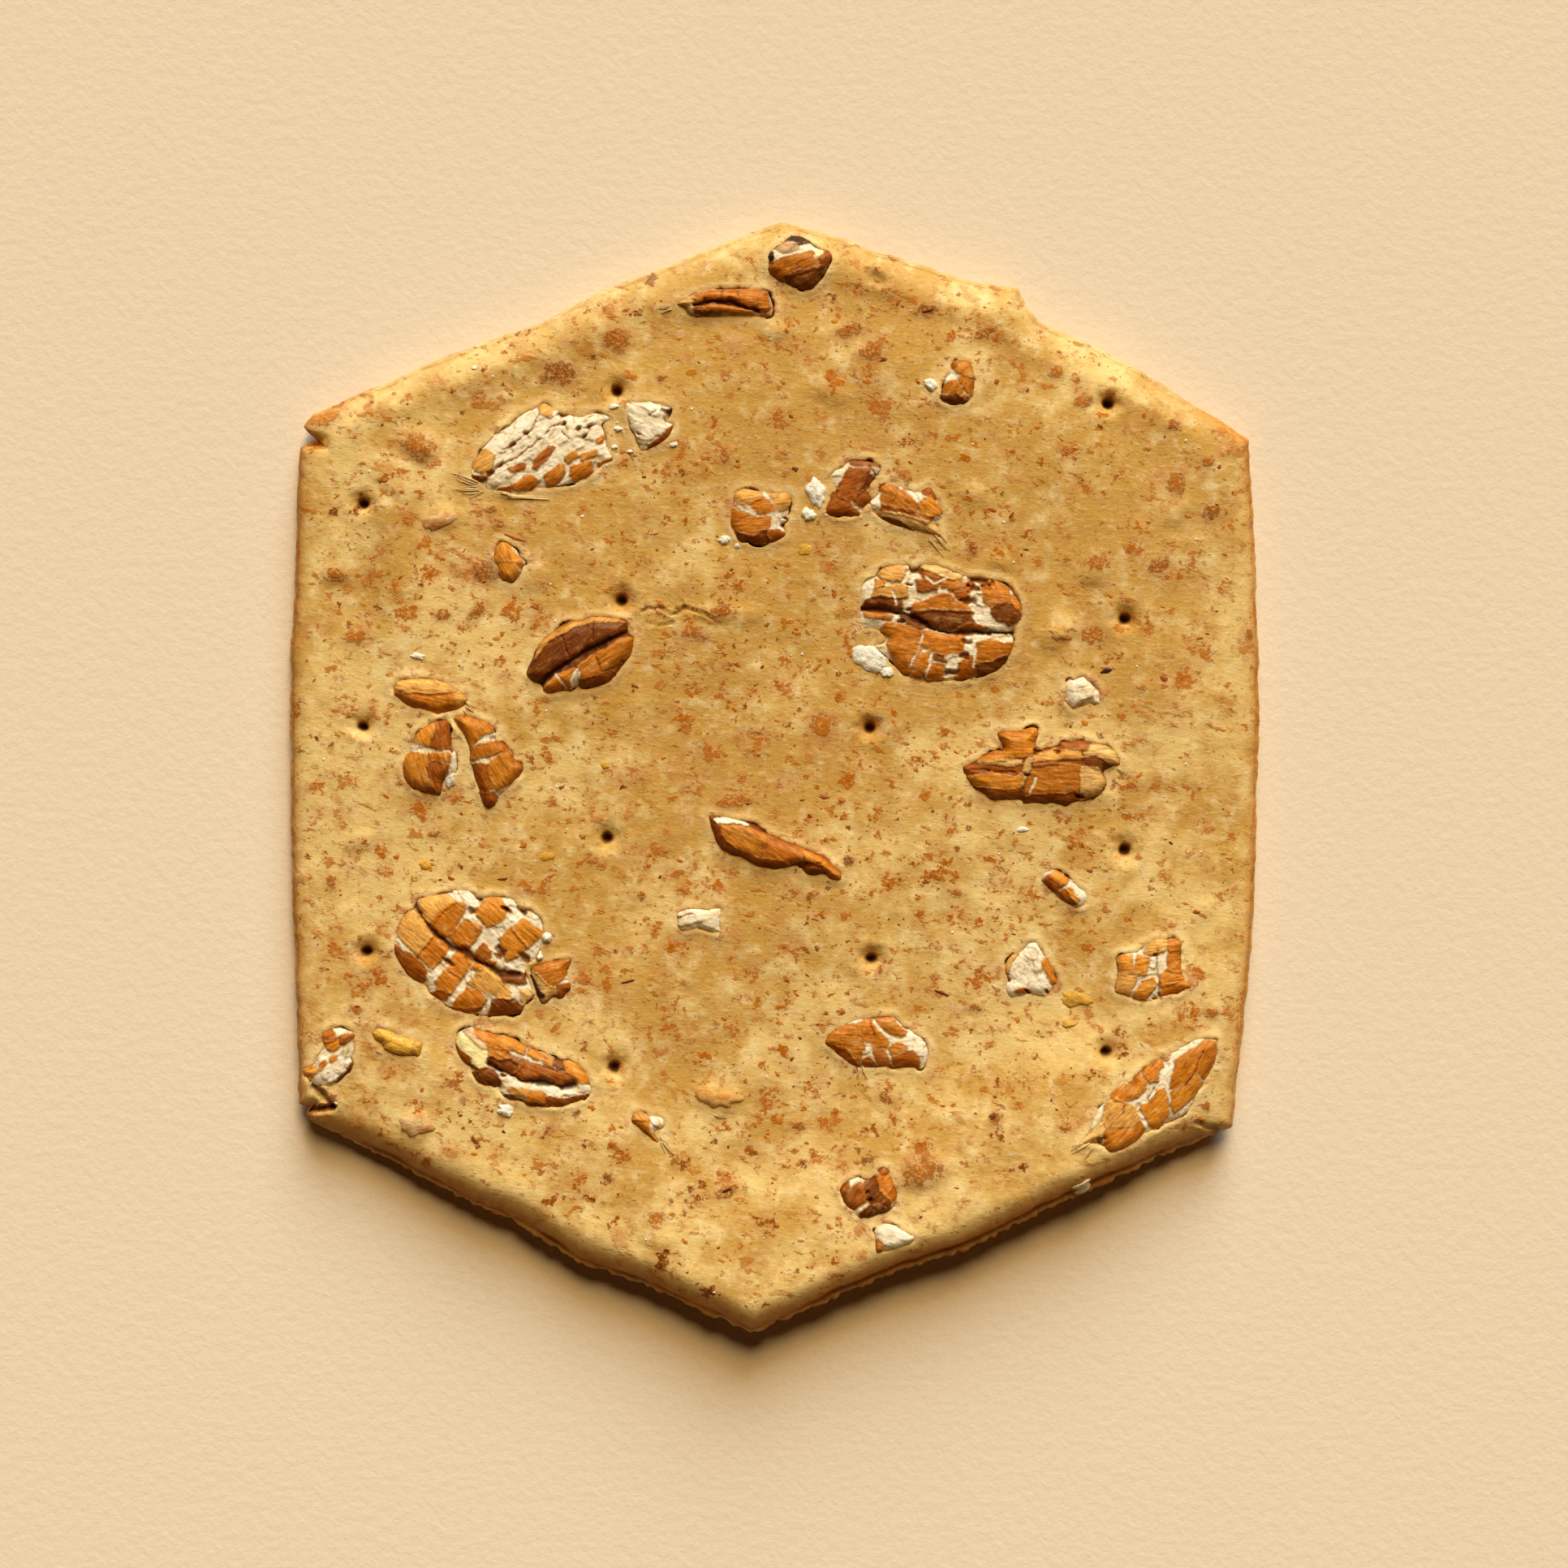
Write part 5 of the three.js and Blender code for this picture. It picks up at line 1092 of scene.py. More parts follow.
            -1.24, -1.64,  -1.47, -1.3,  -1.86, -1.07,  -2.03, -.85,  -1.92, -.62,  -1.24, -.45,  -1.18,
            -.06,  -.85, .45,  -.56, .73,  -.73, 1.07,  -.79, 1.35],
        "tiles": [
        ("rust", [-.68, 1.52,  -.34, 1.69,  -.06, 1.75,  .28, 1.24,  -.17, 1.07,  -.56, 1.13]),
        ("amber", [-.56, 1.08,  -.17, 1.03,  .31, 1.2,  .51, 1.01,  .45, .68,  .11, .45,  -.28, .62]),
        ("rust", [.45, 1.41,  .96, 1.58,  1.41, 1.41,  1.07, 1.24,  .62, .9,  .51, 1.13]),
        ("amber", [-1.86, -.79,  -1.41, -.51,  -1.07, -.56,  -.87, -.73,  -1.24, -1.07,  -1.64, -1.13,
            -1.86, -.96]),
        ("bran", [-.79, -.45,  -.45, -.11,  -.34, -.23,  -.62, -.62,  -.73, -.68]),
        ("bran", [-.06, 0,  .23, .17,  .28, .06,  .06, -.23,  -.06, -.17]),
        ("dark", [1.35, -.24,  1.13, -.79,  .34, -1.52,  .45, -1.24,  .9, -.73,  1.13, -.28]),
        ],
    },
    "yellow_chip_left": {
        "slot": "grit_yellow", "bed": "straw", "grain": -20, "rise": .3,
        "rim": [-1.55, .48,  -1.37, .68,  -1, .82,  -.5, .68,  .87, .14,  1.32, .05,  1.6, -.14,  1.6, -.59,
            1.41, -1.05,  1.14, -.91,  .78, -1,  .41, -1,  -.05, -.91,  -.78, -.64,  -.82, -.32,  -1.37,
            .09,  -1.41, .27],
        "tiles": [
        ("gold", [-1.53, .48,  -1.14, .59,  -.5, .55,  .09, .23,  -.55, 0,  -1.14, -.05,  -1.37, .14]),
        ("gold", [-.78, -.23,  -.37, 0,  .23, .14,  .68, .09,  1.1, -.14,  .96, -.87,  .5, -1,  -.05, -.91,
            -.59, -.68,  -.73, -.46]),
        ("gold", [1.1, -.32,  1.23, -.14,  1.6, -.18,  1.55, -.68,  1.37, -1.1,  1, -.73]),
        ],
    },
    "split_tip_lower": {
        "slot": "straw_tan", "bed": "flour", "grain": -42, "baked": .4, "rise": .3,
        "rim": [-1.08, .16,  -1, .48,  -.84, .72,  -.48, .74,  .04, .52,  .76, .4,  1, .2,  1.06, -.04,
            .96, -.36,  .76, -.52,  .52, -.56,  .38, -.68,  .76, -1.33,  .28, -1.04,  -1, 0],
        "tiles": [
        ("tan", [-.98, .48,  -.84, .7,  -.48, .72,  -.24, .6,  -.04, .4,  0, .2,  -.48, .2,  -.92, .28]),
        ("amber", [-1.06, .16,  -.94, .26,  -.48, .18,  .01, .17,  .12, -.44,  .6, -1.08,  .28, -.96,  -.44,
            -.44]),
        ],
    },
    "brown_chip_bottom": {
        "slot": "bran_dark", "bed": "flour", "grain": 50, "grow": .14, "baked": .5, "rise": .3,
        "rim": [-1.8, -.11,  -1.74, .16,  -1.47, .54,  -1.14, .76,  -.44, .87,  -.27, .65,  .11, .71,  .49,
            1.04,  .6, 1.31,  .93, 1.47,  1.31, 1.31,  1.36, 1.04,  1.69, .27,  1.8, -.44,  1.69, -.82,
            1.47, -1.14,  .82, -1.36,  .05, -1.72,  -.27, -1.63,  -.6, -1.69,  -.82, -1.53,  -.93, -1.25,
            -1.25, -1.09],
        "tiles": [
        ("rust", [-1.74, .05,  -1.63, .27,  -1.28, .49,  -1.23, .27,  -1.31, -.38,  -1.42, -.65,  -1.63,
            -.33]),
        ("rust", [-1.31, -.49,  -.87, .11,  -.54, .44,  -.27, .27,  -.11, -.27,  -.27, -.6,  -.98, -1.14,
            -1.25, -1.09,  -1.36, -.82]),
        ("dark", [-.11, .44,  .11, .63,  .6, .87,  .68, .54,  .65, .11,  1.04, -.33,  1.31, -.82,  1.31,
            -1.17,  .82, -1.28,  .11, -.6]),
        ("bran", [.65, .93,  1.04, 1.09,  1.47, .65,  1.69, .16,  1.74, -.27,  1.47, -.6,  1.09, -.27,  .74,
            .16]),
        ("dark", [-.44, -1.39,  .11, -.93,  .6, -.87,  1.25, -1.21,  .6, -1.53,  .05, -1.72,  -.33, -1.63]),
        ("rust", [.6, 1.31,  .93, 1.42,  1.31, 1.28,  1.25, 1.14,  .82, 1.14]),
        ],
        "pits": [(-.44, .82, .14), (.11, -.6, .14), (-.07, -.14, .12)],
    },
    "cream_chip_bottom": {
        "slot": "flour_white", "bed": "flour", "grain": -25, "rise": .3,
        "rim": [-1.15, .42,  -.93, .68,  -.42, .89,  .25, .68,  .55, .51,  1.06, .08,  1.32, 0,  1.34, -.17,
            1.19, -.38,  .89, -.59,  -.13, -.96,  -.79, -1.06,  -1.08, -1.04,  -1.11, -.13,  -1.19, .21],
        "tiles": [
        ("bran", [-1.1, -.21,  -.89, -.21,  -.68, -.42,  -.68, -.72,  -.81, -1.03,  -1.06, -1.02]),
        ],
    },
}


# the larger blots of bran in the skin: x, y, half sizes, turn, darkness
largeFlecks = [
    (-21.95, 20.25, 1.25, 0.85, -20, 0.25), (-13.2, 24.8, 0.85, 1.1, 80, 0.7),
    (-9.7, 26.8, 0.7, 0.9, 80, 0.3),
    (-6.9, 24.5, 0.4, 0.3, 0, 0.6), (4.6, 27.4, 1.0, 0.5, 25, 0.4), (5.9, 26.1, 0.9, 0.45, 10, 0.3),
    (12.9, 27.2, 0.8, 0.35, 20, 0.5), (9.3, 28.7, 0.9, 0.35, 15, 0.7), (17.4, 24.8, 0.5, 0.4, 0, 0),
    (19.0, 23.1, 0.6, 0.5, 20, 0), (24.6, 21.6, 0.5, 0.3, 20, 0.5), (26.7, 19.3, 0.45, 0.3, 0, 0.3),
    (-27.5, 22.0, 1.1, 0.45, 28, 0), (-27.0, 12.35, 0.8, 0.5, 0, 0.5), (-17.67, 12.5, 1.1, 0.7, 10, 0.6),
    (-20.4, 9.9, 0.5, 0.4, 0, 0.4), (-18.3, 10.1, 1.0, 0.35, 55, 0.4), (-25.7, 8.5, 1.0, 0.5, 0, 0),
    (-17.4, 16.3, 0.4, 0.25, 0, 0.6), (-16.9, 15.5, 0.4, 0.3, 0, 0.3), (14.8, 15.9, 0.5, 0.2, 40, 0.2),
    (7.9, 18.3, 0.9, 0.3, 0, 0.3), (-3.0, 19.6, 0.4, 0.4, 0, 0.2), (23.6, 12.9, 0.8, 0.6, 20, 0.5),
    (26.9, 16.2, 0.6, 0.6, 60, 0.7), (29.3, 8.7, 0.25, 0.5, 10, 0.5), (19.9, 13.1, 0.9, 0.5, 0, 0.4),
    (22.6, 5.4, 0.4, 0.25, 0, 0.2), (2.9, 3.1, 0.8, 0.8, 60, 0.1), (4.2, -1.6, 0.35, 0.3, 0, 0.2),
    (-4.9, 8.7, 1.0, 0.45, -10, 0.2), (-3.2, 10.0, 0.9, 0.4, 0, 0.5), (-2.6, -1.6, 1.2, 0.45, 5, 0.1),
    (4.55, -5.3, 0.5, 0.35, 40, 1), (11.2, -7.2, 0.5, 0.3, 0, 0.2), (-8.2, -7.4, 0.3, 0.3, 0, 0.5),
    (6.9, -19.9, 0.6, 0.3, -30, 0.6), (-20.9, -3.6, 0.5, 0.3, 0, 0.3), (-25.8, -14.4, 0.5, 0.35, 0, 0.2),
    (9.05, -24.3, 1.5, 0.9, 10, 0.4), (-3.0, -25.6, 0.8, 0.4, 20, 0.5), (-7.3, -27.2, 0.7, 0.5, 0, 0.2),
    (1.4, -21.6, 0.5, 0.35, 0, 0.5), (13.6, -21.1, 0.55, 0.35, 30, 0.5), (17.9, -21.6, 0.6, 0.3, 0, 0.3),
    (26.9, -14.6, 0.45, 0.4, 0, 0.2), (12.4, -14.3, 0.45, 0.3, 0, 0.5), (-27.3, -6.6, 0.4, 0.5, 0, 0.2),
    (12.2, 14.0, 0.4, 0.4, 0, 0.5), (19.6, 8.6, 0.9, 0.6, 0, 0.2), (24.7, 18.0, 0.6, 0.9, 20, 0.3),
]


def flatShape(name):
    place = spot(name)
    return softened(pairs(kernels[name]["rim"]) + place[:2] - middle[:2])


rims = {name: flatShape(name) for name in kernels}


def doughTop(x, y):
    # height of the finished top, and the masks that the dough's finish uses
    z = surfaceAt(x, y)
    _, inset = shareAndInset(x, y)
    deepIn = smooth(inset, 0.4, 1.6)
    z = z + deepIn * (0.085 * layered(x, y, 5.0, 21) + 0.045 * layered(x, y, 1.9, 31))
    ax, ay = turned(x, y, -7)
    z = z + deepIn * 0.024 * layered(ax / 2.4, ay, 0.8, 41)
    shade, litAndPaleLip, glow = np.zeros(x.shape), np.zeros(x.shape), np.zeros(x.shape)
    blot, blotTone = np.zeros(x.shape), np.zeros(x.shape)
    for cx, cy, a, b, turn, tone in largeFlecks:
        near = closeTo(x, y, cx, cy, 2.6)
        u, v = turned(x[near] - cx, y[near] - cy, turn)
        fall = smooth(np.hypot(u / a, v / b), 1.7, 0.15)
        z[near] += 0.07 * fall * (1 + 0.5 * ripple(x[near], y[near], 0.45, 22))
        blotTone[near] = np.where(fall > blot[near], tone, blotTone[near])
        blot[near] = np.maximum(blot[near], fall)
    for cx, cy, a, b, turn, height in coveredLumps:
        near = closeTo(x, y, cx, cy, 4)
        u, v = turned(x[near] - cx, y[near] - cy, turn)
        wobble = 0.25 * layered(x[near], y[near], 0.9, 51)
        z[near] += height * smooth(np.hypot(u / a, v / b) + wobble, 1.25, 0.2)
    for width, depth, line in furrows:
        line = pairs(line)
        d = lineReach(x + 0.12 * ripple(x, y, 0.5, 61), y + 0.12 * ripple(x, y, 0.5, 62), line)
        dip = hump(d, width)
        z -= depth * dip
        z += 0.35 * depth * hump(d - 2.2 * width, width)
        # painted shade along the furrow
        shade = np.maximum(shade, dip * min(1, depth * 2.4))
    hollowDepth, hollowWidth = dough["holeHollow"]
    shaftDepth, shaftRadius = dough["holeShaft"]
    for i, (cx, cy) in enumerate(dockingHoles):
        near = closeTo(x, y, cx, cy, 3)
        px, py = x[near] - cx, y[near] - cy
        r = np.hypot(px, py * (1.05 + 0.1 * math.sin(i))) * (1 + 0.16 * ripple(px, py, 0.4, i))
        z[near] -= hollowDepth * hump(r, hollowWidth) + shaftDepth * smooth(r, shaftRadius, 0.1)
        z[near] += 0.05 * hump(r - 1.2, 0.4)
        # painted shade down the pricked hole
        shade[near] = np.maximum(shade[near], 0.8 * smooth(r, 0.5, 0.2))
        # painted light: the warm tint of light through the thin dough round the hole
        glow[near] = np.maximum(glow[near], 0.5 * smooth(np.hypot(px, py - 0.15), 1.0, 0.25))
    for (mx, my), (ex, ey), width, depth in clefts:
        d = lineReach(x, y, np.array([(mx, my), (ex, ey)]))
        z -= depth * smooth(d, 0.6 * width, 0.1 * width)
        # painted shade in the cleft
        shade = np.maximum(shade, (depth - 0.35) * 1.2 * smooth(d, 0.3 * width, 0.05))
        # painted light: the same warm tint in the cleft
        glow = np.maximum(glow, smooth(d, 0.7 * width, 0.1 * width))
    for i, rim in enumerate(rims.values()):
        (x0, y0), (x1, y1) = rim.min(0) - 1.6, rim.max(0) + 1.6
        near = (x > x0) & (x < x1) & (y > y0) & (y < y1)
        px, py = x[near], y[near]
        if not len(px):
            continue
        d = -signedReach(px, py, rim)
        gap = np.clip(0.17 * (2.0 * layered(px, py, 0.9, 71 + i) - 0.3) - 0.11, -0.18, 0.34)
        drop = smooth(d, gap + 0.04, gap - 0.07)
        ridge = dough["ridge"] * (1 + 0.9 * ripple(px, py, 1.1, 81 + i)) * hump(d - gap - 0.28, 0.24)
        z[near] += (ridge + 0.06 * ripple(px, py, 0.4, 91) * hump(d - gap, 0.3)) * (1 - drop)
        z[near] -= dough["socket"] * drop
        # painted shade in the socket, and a faint one round the kernel
        shade[near] = np.maximum(shade[near], np.maximum(drop * 0.7, 0.1 * smooth(d - gap, 0.1, 0.0)))
        # painted light: a pale band on the raised dough round each kernel
        litAndPaleLip[near] = np.maximum(litAndPaleLip[near], (1 - drop) * hump(d - gap - 0.34, 0.28))
    # a pale band along the upper sides, partly paler bake and partly painted light on the rim that faces the
    # lamps
    upperSide = smooth(y, 17, 23) * (1 - smooth(np.abs(x), 26.5, 28.5))
    litAndPaleLip = np.maximum(litAndPaleLip, 0.6 * upperSide * smooth(inset, 2.2, 0.5) * (0.75 + 0.4 * ripple(x, y, 1.6, 48)))
    # darker or paler colour: uneven bake together with painted shade and painted light
    tone = 0
    for cx, cy, radius, amount in bakeAndShadeSpots:
        tone = tone + amount * np.exp(-(((x - cx) ** 2 + (y - cy) ** 2) / radius**2))
    return z, {"hollow": shade, "litAndPaleLip": litAndPaleLip, "blot": blot, "blotTone": blotTone, "bakeAndShade": tone, "glow": glow}


# Side rings from the underside up: inset from the widest line and share of the edge's thickness, the same two
# on the torn lower sides, then how brown the ring is on the cut sides and on the torn ones; on the torn ones
# that brown is also painted shade on the rolled edge.
sideRings = [
    (1.0, 0.0, 1.0, 0.0, 0.5, 0.8), (0.6, 0.0, 0.6, 0.0, 0.5, 0.8), (0.32, 0.05, 0.34, 0.03, 0.5, 0.8),
    (0.13, 0.14, 0.14, 0.1, 0.4, 0.8), (0.02, 0.26, 0.02, 0.19, 0.4, 0.7), (0.0, 0.38, 0.0, 0.25, 0.55, 0.5),
    (0.08, 0.47, 0.12, 0.3, 0.7, 0.7), (0.24, 0.53, 0.22, 0.33, 0.9, 1.0), (0.3, 0.6, 0.29, 0.37, 1.0, 1.1),
    (0.27, 0.67, 0.36, 0.43, 0.9, 1.1), (0.34, 0.77, 0.44, 0.5, 0.6, 1.0), (0.43, 0.82, 0.53, 0, 0.5, 0.9),
    (0.52, 0.865, 0.63, 0, 0.4, 0.8), (0.65, 0.9, 0.75, 0, 0.25, 0.65), (0.78, 0.93, 0.88, 0, 0.15, 0.5),
    (0.95, 0.96, 1.03, 0, 0.08, 0.32), (1.15, 1.0, 1.2, 0, 0.0, 0.15),
]
# where the mesh needs to be finer: rows along the lower sides, round the holes and beside the kernels' rims
fineRows = {
    "side": (1.34, 1.48, 1.64, 1.82, 2.02, 2.25, 2.5),
    "hole": (0.0, 0.1, 0.19, 0.28, 0.37, 0.47, 0.6, 0.76, 0.95, 1.2),
    "kernel": (-0.1, 0.0, 0.1, 0.2, 0.31, 0.46, 0.68),
    "furrow": ((0, 0), (0.1, 0.14), (-0.1, -0.14), (0.05, 0.28), (-0.05, -0.28)),
}


def tornSide(x, y):
    # the share of a point on the two long cut sides, and on the torn lower sides
    sideways = smooth(np.abs(x), 25, 28.5)
    return sideways, smooth(-y, 20, 24) * (1 - sideways)


def sideWall():
    # one ring of points per row of sideRings, with the masks and the browning of each
    count = len(outline)
    size = np.hypot(*outline.T)
    x, y = outline.T
    sideways, torn = tornSide(x, y)
    groove = 0.08 + 0.92 * sideways * (0.8 + 0.4 * ripple(x, y, 3.0, 5))  # deepest on the cut sides
    # a thin torn lip shows under the edge of the lower sides
    wideLip = 0.06 + 0.22 * smooth(x, 0, 8) * (0.7 + 0.5 * ripple(x, y, 3.5, 49))
    wideLip = wideLip + 0.12 * ripple(x, y, 1.7, 50)
    rag = 0.08 * ripple(x, y, 0.8, 9) + 0.16 * layered(x, y, 0.42, 10) + 0.07 * ripple(x, y, 0.21, 11)
    points, brown, upper = [], [], []
    for k, (inset, share, tornInset, tornShare, cutBrown, tornBrownAndShade) in enumerate(sideRings):
        inner = np.full(count, inset)
        if 5 < k < 12:
            plain = np.interp(share, [0.38, 0.5, 0.6, 0.67, 0.77, 0.865], [0.0, 0.03, 0.11, 0.2, 0.34, 0.52])
            inner = between(plain, inset, groove)
        fade = smooth(k, 0, 1) * smooth(k, 16, 12)
        uneven = 0.055 * layered(x + k * 0.35, y, 0.7, 6) + 0.03 * ripple(x, y + k * 0.5, 0.3, 7)
        inner = inner + uneven * fade
        if k > 2:
            inner = between(inner, tornInset + wideLip * smooth(k, 5, 7) * smooth(k, 17, 9), torn)
            inner = inner - torn * rag * np.interp(k, [3, 4, 5, 6, 7, 9], [0.6, 1, 1, 0.6, 0.3, 0])
        level = between(share, tornShare, torn)
        px, py = x * (1 - inner / size), y * (1 - inner / size)
        reach, _ = shareAndInset(px, py)
        top, masks = doughTop(px, py)
        if k < 10:
            rough = (0.04 * layered(x + k * 0.2, y, 0.9, 12)) * (k > 0)
            pz = liftAt(px, py, reach) + dough["edge"] * level + rough
        else:
            pz = top + 0.03 * layered(px, py, 0.9, 12) * smooth(k, 16, 12)
        points.append(np.stack([px, py, pz], 1))
        upper.append(masks)
        # brown of the edge; on the rolled torn edge it is also painted shade
        brown.append(cutBrown * (0.06 + 0.94 * sideways) + tornBrownAndShade * torn)
    return points, upper, brown


def topPoints(top):
    # a plain lattice, with finer rows wherever the top has small forms
    points = [latticeIn(top, dough["lattice"], 0.14, 3)]
    for rim in rims.values():
        dense = resampled(rim, 0.16)
        tangent = np.roll(dense, -1, 0) - np.roll(dense, 1, 0)
        outward = np.stack([tangent[:, 1], -tangent[:, 0]], 1) / (np.hypot(*tangent.T)[:, None] + 1e-9)
        area = np.sum(dense[:, 0] * np.roll(dense[:, 1], -1) - np.roll(dense[:, 0], -1) * dense[:, 1])
        for offset in fineRows["kernel"]:
            points.append(dense + outward * offset * (1 if area > 0 else -1))
    for cx, cy in dockingHoles:
        for r in fineRows["hole"]:
            a = np.linspace(0, 2 * np.pi, max(1, int(2 * np.pi * r / 0.13)), endpoint=False) + r
            points.append(np.stack([cx + r * np.cos(a), cy + r * np.sin(a)], 1))
    _, torn = tornSide(*outline.T)
    lower = outline[torn > 0.2]
    for inset in fineRows["side"]:
        points.append(lower * (1 - inset / np.hypot(*lower.T))[:, None])
    for _, _, line in furrows:
        line = pairs(line)
        parts = [a + (b - a) * np.linspace(0, 1, 14)[:, None] for a, b in zip(line[:-1], line[1:])]
        points += [np.concatenate(parts) + offset for offset in fineRows["furrow"]]
    points = np.vstack(points)
    return points[signedReach(points[:, 0], points[:, 1], top[::4]) > 0.14]


def buildDough():
    points, upper, brown = sideWall()
    count, ringCount = len(outline), len(sideRings)
    rings = [np.arange(count) + k * count for k in range(ringCount)]
    side = np.concatenate([bridged(rings[k + 1], rings[k]) for k in range(ringCount - 1)])
    verts = np.vstack(points)
    top = points[-1][:, :2]
    flat, tris = filled(top, topPoints(top))
    z, masks = doughTop(flat[count:, 0], flat[count:, 1])
    base = len(verts) - count
    verts = np.vstack([verts, np.column_stack([flat[count:], z])])
    bottomRing = points[0][:, :2]
    below, under = filled(bottomRing, latticeIn(bottomRing, 1.1, 0.5, 4))
    bx, by = below[count:].T
    bz = liftAt(bx, by, shareAndInset(bx, by)[0]) + 0.05 + 0.05 * layered(bx, by, 4, 15)
    extra = len(verts)
    verts = np.vstack([verts, np.column_stack([below[count:], bz])])
    under = np.where(under < count, under, under - count + extra)[:, ::-1]
    tris = np.concatenate([side, tris + base, under])
    values = {key: np.zeros(len(verts)) for key in ("edgeBrownAndShade", *masks)}
    values["edgeBrownAndShade"][:ringCount * count] = np.concatenate(brown)
    for key, mask in masks.items():
        values[key][base + count:extra] = mask
        for k in range(8, ringCount):
            values[key][k * count:(k + 1) * count] = upper[k][key]
    return verts + [middle[0], middle[1], floorHeight], tris, values


def doughFinish():
    material, tree, shader = newMaterial("spelt dough")
    place = placeInMillimetres(tree)
    wide = put(tree, "TexNoise", {"Vector": place, "Scale": 0.2, "Detail": 4.0, "Roughness": 0.6})
    mid = put(tree, "TexNoise", {"Vector": place, "Scale": 0.8, "Detail": 5.0, "Roughness": 0.65})
    fibres = putGroup(tree, fibreGroup, {"Place": place, "Turn": 0.12, "Along": 0.8, "Across": 2.6})
    fine = putGroup(tree, fibreGroup, {"Place": place, "Turn": 0.05, "Along": 2.6, "Across": 7.0})
    grit = put(tree, "TexNoise", {"Vector": place, "Scale": 5.5, "Detail": 3.0, "Roughness": 0.6})

    def part(value, share):
        return times(tree, value, share)

    # the spots of darker and paler colour are uneven bake together with painted shade and painted light
    baked = plus(tree, wide.outputs["Fac"], part(attributeNode(tree, "bakeAndShade").outputs["Fac"], 0.2))
    colour = blendNode(tree, stepNode(tree, baked, 0.39, 0.62), dough["deep"], dough["light"])
    for value, low, high, share, tone in (
        (mid.outputs["Fac"], 0.5, 0.7, 0.42, dough["pale"]),
        (mid.outputs["Fac"], 0.46, 0.3, 0.3, dough["deep"] * 0.82),
        (fibres.outputs["Strand"], 0.54, 0.78, 0.4, dough["pale"]),
    ):
        colour = blendNode(tree, part(stepNode(tree, value, low, high), share), colour, tone)
    # mauve blotches where grain lies under the skin, then milky ones
    feeds = {"Place": place, "Cells": 0.3, "Share": 0.4, "Size": 0.45, "Wobble": 0.9, "Fuzz": 0.85}
    blotch = putGroup(tree, speckGroup, feeds)
    colour = blendNode(tree, part(blotch.outputs["Mask"], 0.36), colour, dough["mauve"])
    feeds = {"Place": place, "Cells": 0.45, "Share": 0.3, "Size": 0.42, "Wobble": 1.2, "Fuzz": 0.8}
    milky = putGroup(tree, speckGroup, feeds)
    colour = blendNode(tree, part(milky.outputs["Mask"], 0.28), colour, dough["pale"])
    strands = part(stepNode(tree, fine.outputs["Strand"], 0.5, 0.74), 0.3)
    colour = blendNode(tree, strands, colour, dough["pale"])
    # clusters: some places carry many specks, others few
    gather = put(tree, "TexNoise", {"Vector": place, "Scale": 0.17, "Detail": 2.0, "Roughness": 0.5})
    gathered = plus(tree, 0.4, part(stepNode(tree, gather.outputs["Fac"], 0.42, 0.58), 0.6))
    height = None
    # broken bran: patches of uneven noise
    for scale, low, high, strength, turn in dough["crumbled"]:
        feeds = {"Place": place, "Scale": scale, "Low": low, "High": high, "Turn": turn}
        spread = putGroup(tree, crumbleGroup, feeds).outputs["Mask"]
        colour = blendNode(tree, part(spread, strength), colour, dough["speck"])
        height = spread if height is None else plus(tree, height, spread)
    # whole specks
    for cellsNow, share, size, wobble, strength, halo in dough["specks"]:
        feeds = {"Place": place, "Cells": cellsNow, "Share": share, "Size": size}
        feeds.update({"Wobble": wobble, "Fuzz": 0.4})
        specks = putGroup(tree, speckGroup, feeds)
        dark = stepNode(tree, specks.outputs["Tone"], 0.5, 1.0)
        tone = blendNode(tree, dark, dough["speck"], dough["speckDark"])
        worn = plus(tree, 0.6, part(stepNode(tree, grit.outputs["Fac"], 0.38, 0.52), 0.4))
        faint = plus(tree, 0.62, part(specks.outputs["Tone"], 0.7), clamp=True)
        faint = times(tree, faint, gathered if cellsNow > 0.8 else 1.0)
        mask = part(times(tree, times(tree, specks.outputs["Mask"], worn), faint), strength)
        if halo:
            colour = blendNode(tree, part(specks.outputs["Halo"], halo), colour, dough["mauve"])
        colour = blendNode(tree, mask, colour, tone)
        height = plus(tree, height, mask)
    # the large blots that are placed one by one, broken up by noise
    chips = put(tree, "TexNoise", {"Vector": place, "Scale": 2.4, "Detail": 6.0, "Roughness": 0.75})
    blotField = plus(tree, attributeNode(tree, "blot").outputs["Fac"],
                     part(mathNode(tree, "SUBTRACT", chips.outputs["Fac"], 0.5), 2.6))
    blotMask = times(tree, stepNode(tree, blotField, 0.5, 0.78),
                     stepNode(tree, attributeNode(tree, "blot").outputs["Fac"], 0.0, 0.2))
    tone = blendNode(tree, attributeNode(tree, "blotTone").outputs["Fac"], dough["speck"], dough["speckDark"])
    tone = blendNode(tree, part(stepNode(tree, grit.outputs["Fac"], 0.5, 0.62), 0.45), tone, dough["light"])
    blotHalo = stepNode(tree, attributeNode(tree, "blot").outputs["Fac"], 0.0, 0.35)
    colour = blendNode(tree, part(blotHalo, 0.35), colour, dough["mauve"])
    colour = blendNode(tree, part(blotMask, 0.9), colour, tone)
    height = plus(tree, height, blotMask)
    feeds = {"Place": place, "Cells": 2.6, "Share": 0.07, "Size": 0.13, "Wobble": 0.2, "Fuzz": 0.4}
    glints = putGroup(tree, speckGroup, feeds)
    colour = blendNode(tree, part(glints.outputs["Mask"], 0.6), colour, dough["glint"])
    # painted light on the raised dough round the kernels and on the upper rim, which is also paler in bake
    colour = blendNode(tree, part(attributeNode(tree, "litAndPaleLip").outputs["Fac"], 0.22), colour, dough["pale"])
    patchy = plus(tree, 0.5, part(stepNode(tree, mid.outputs["Fac"], 0.36, 0.58), 0.5))
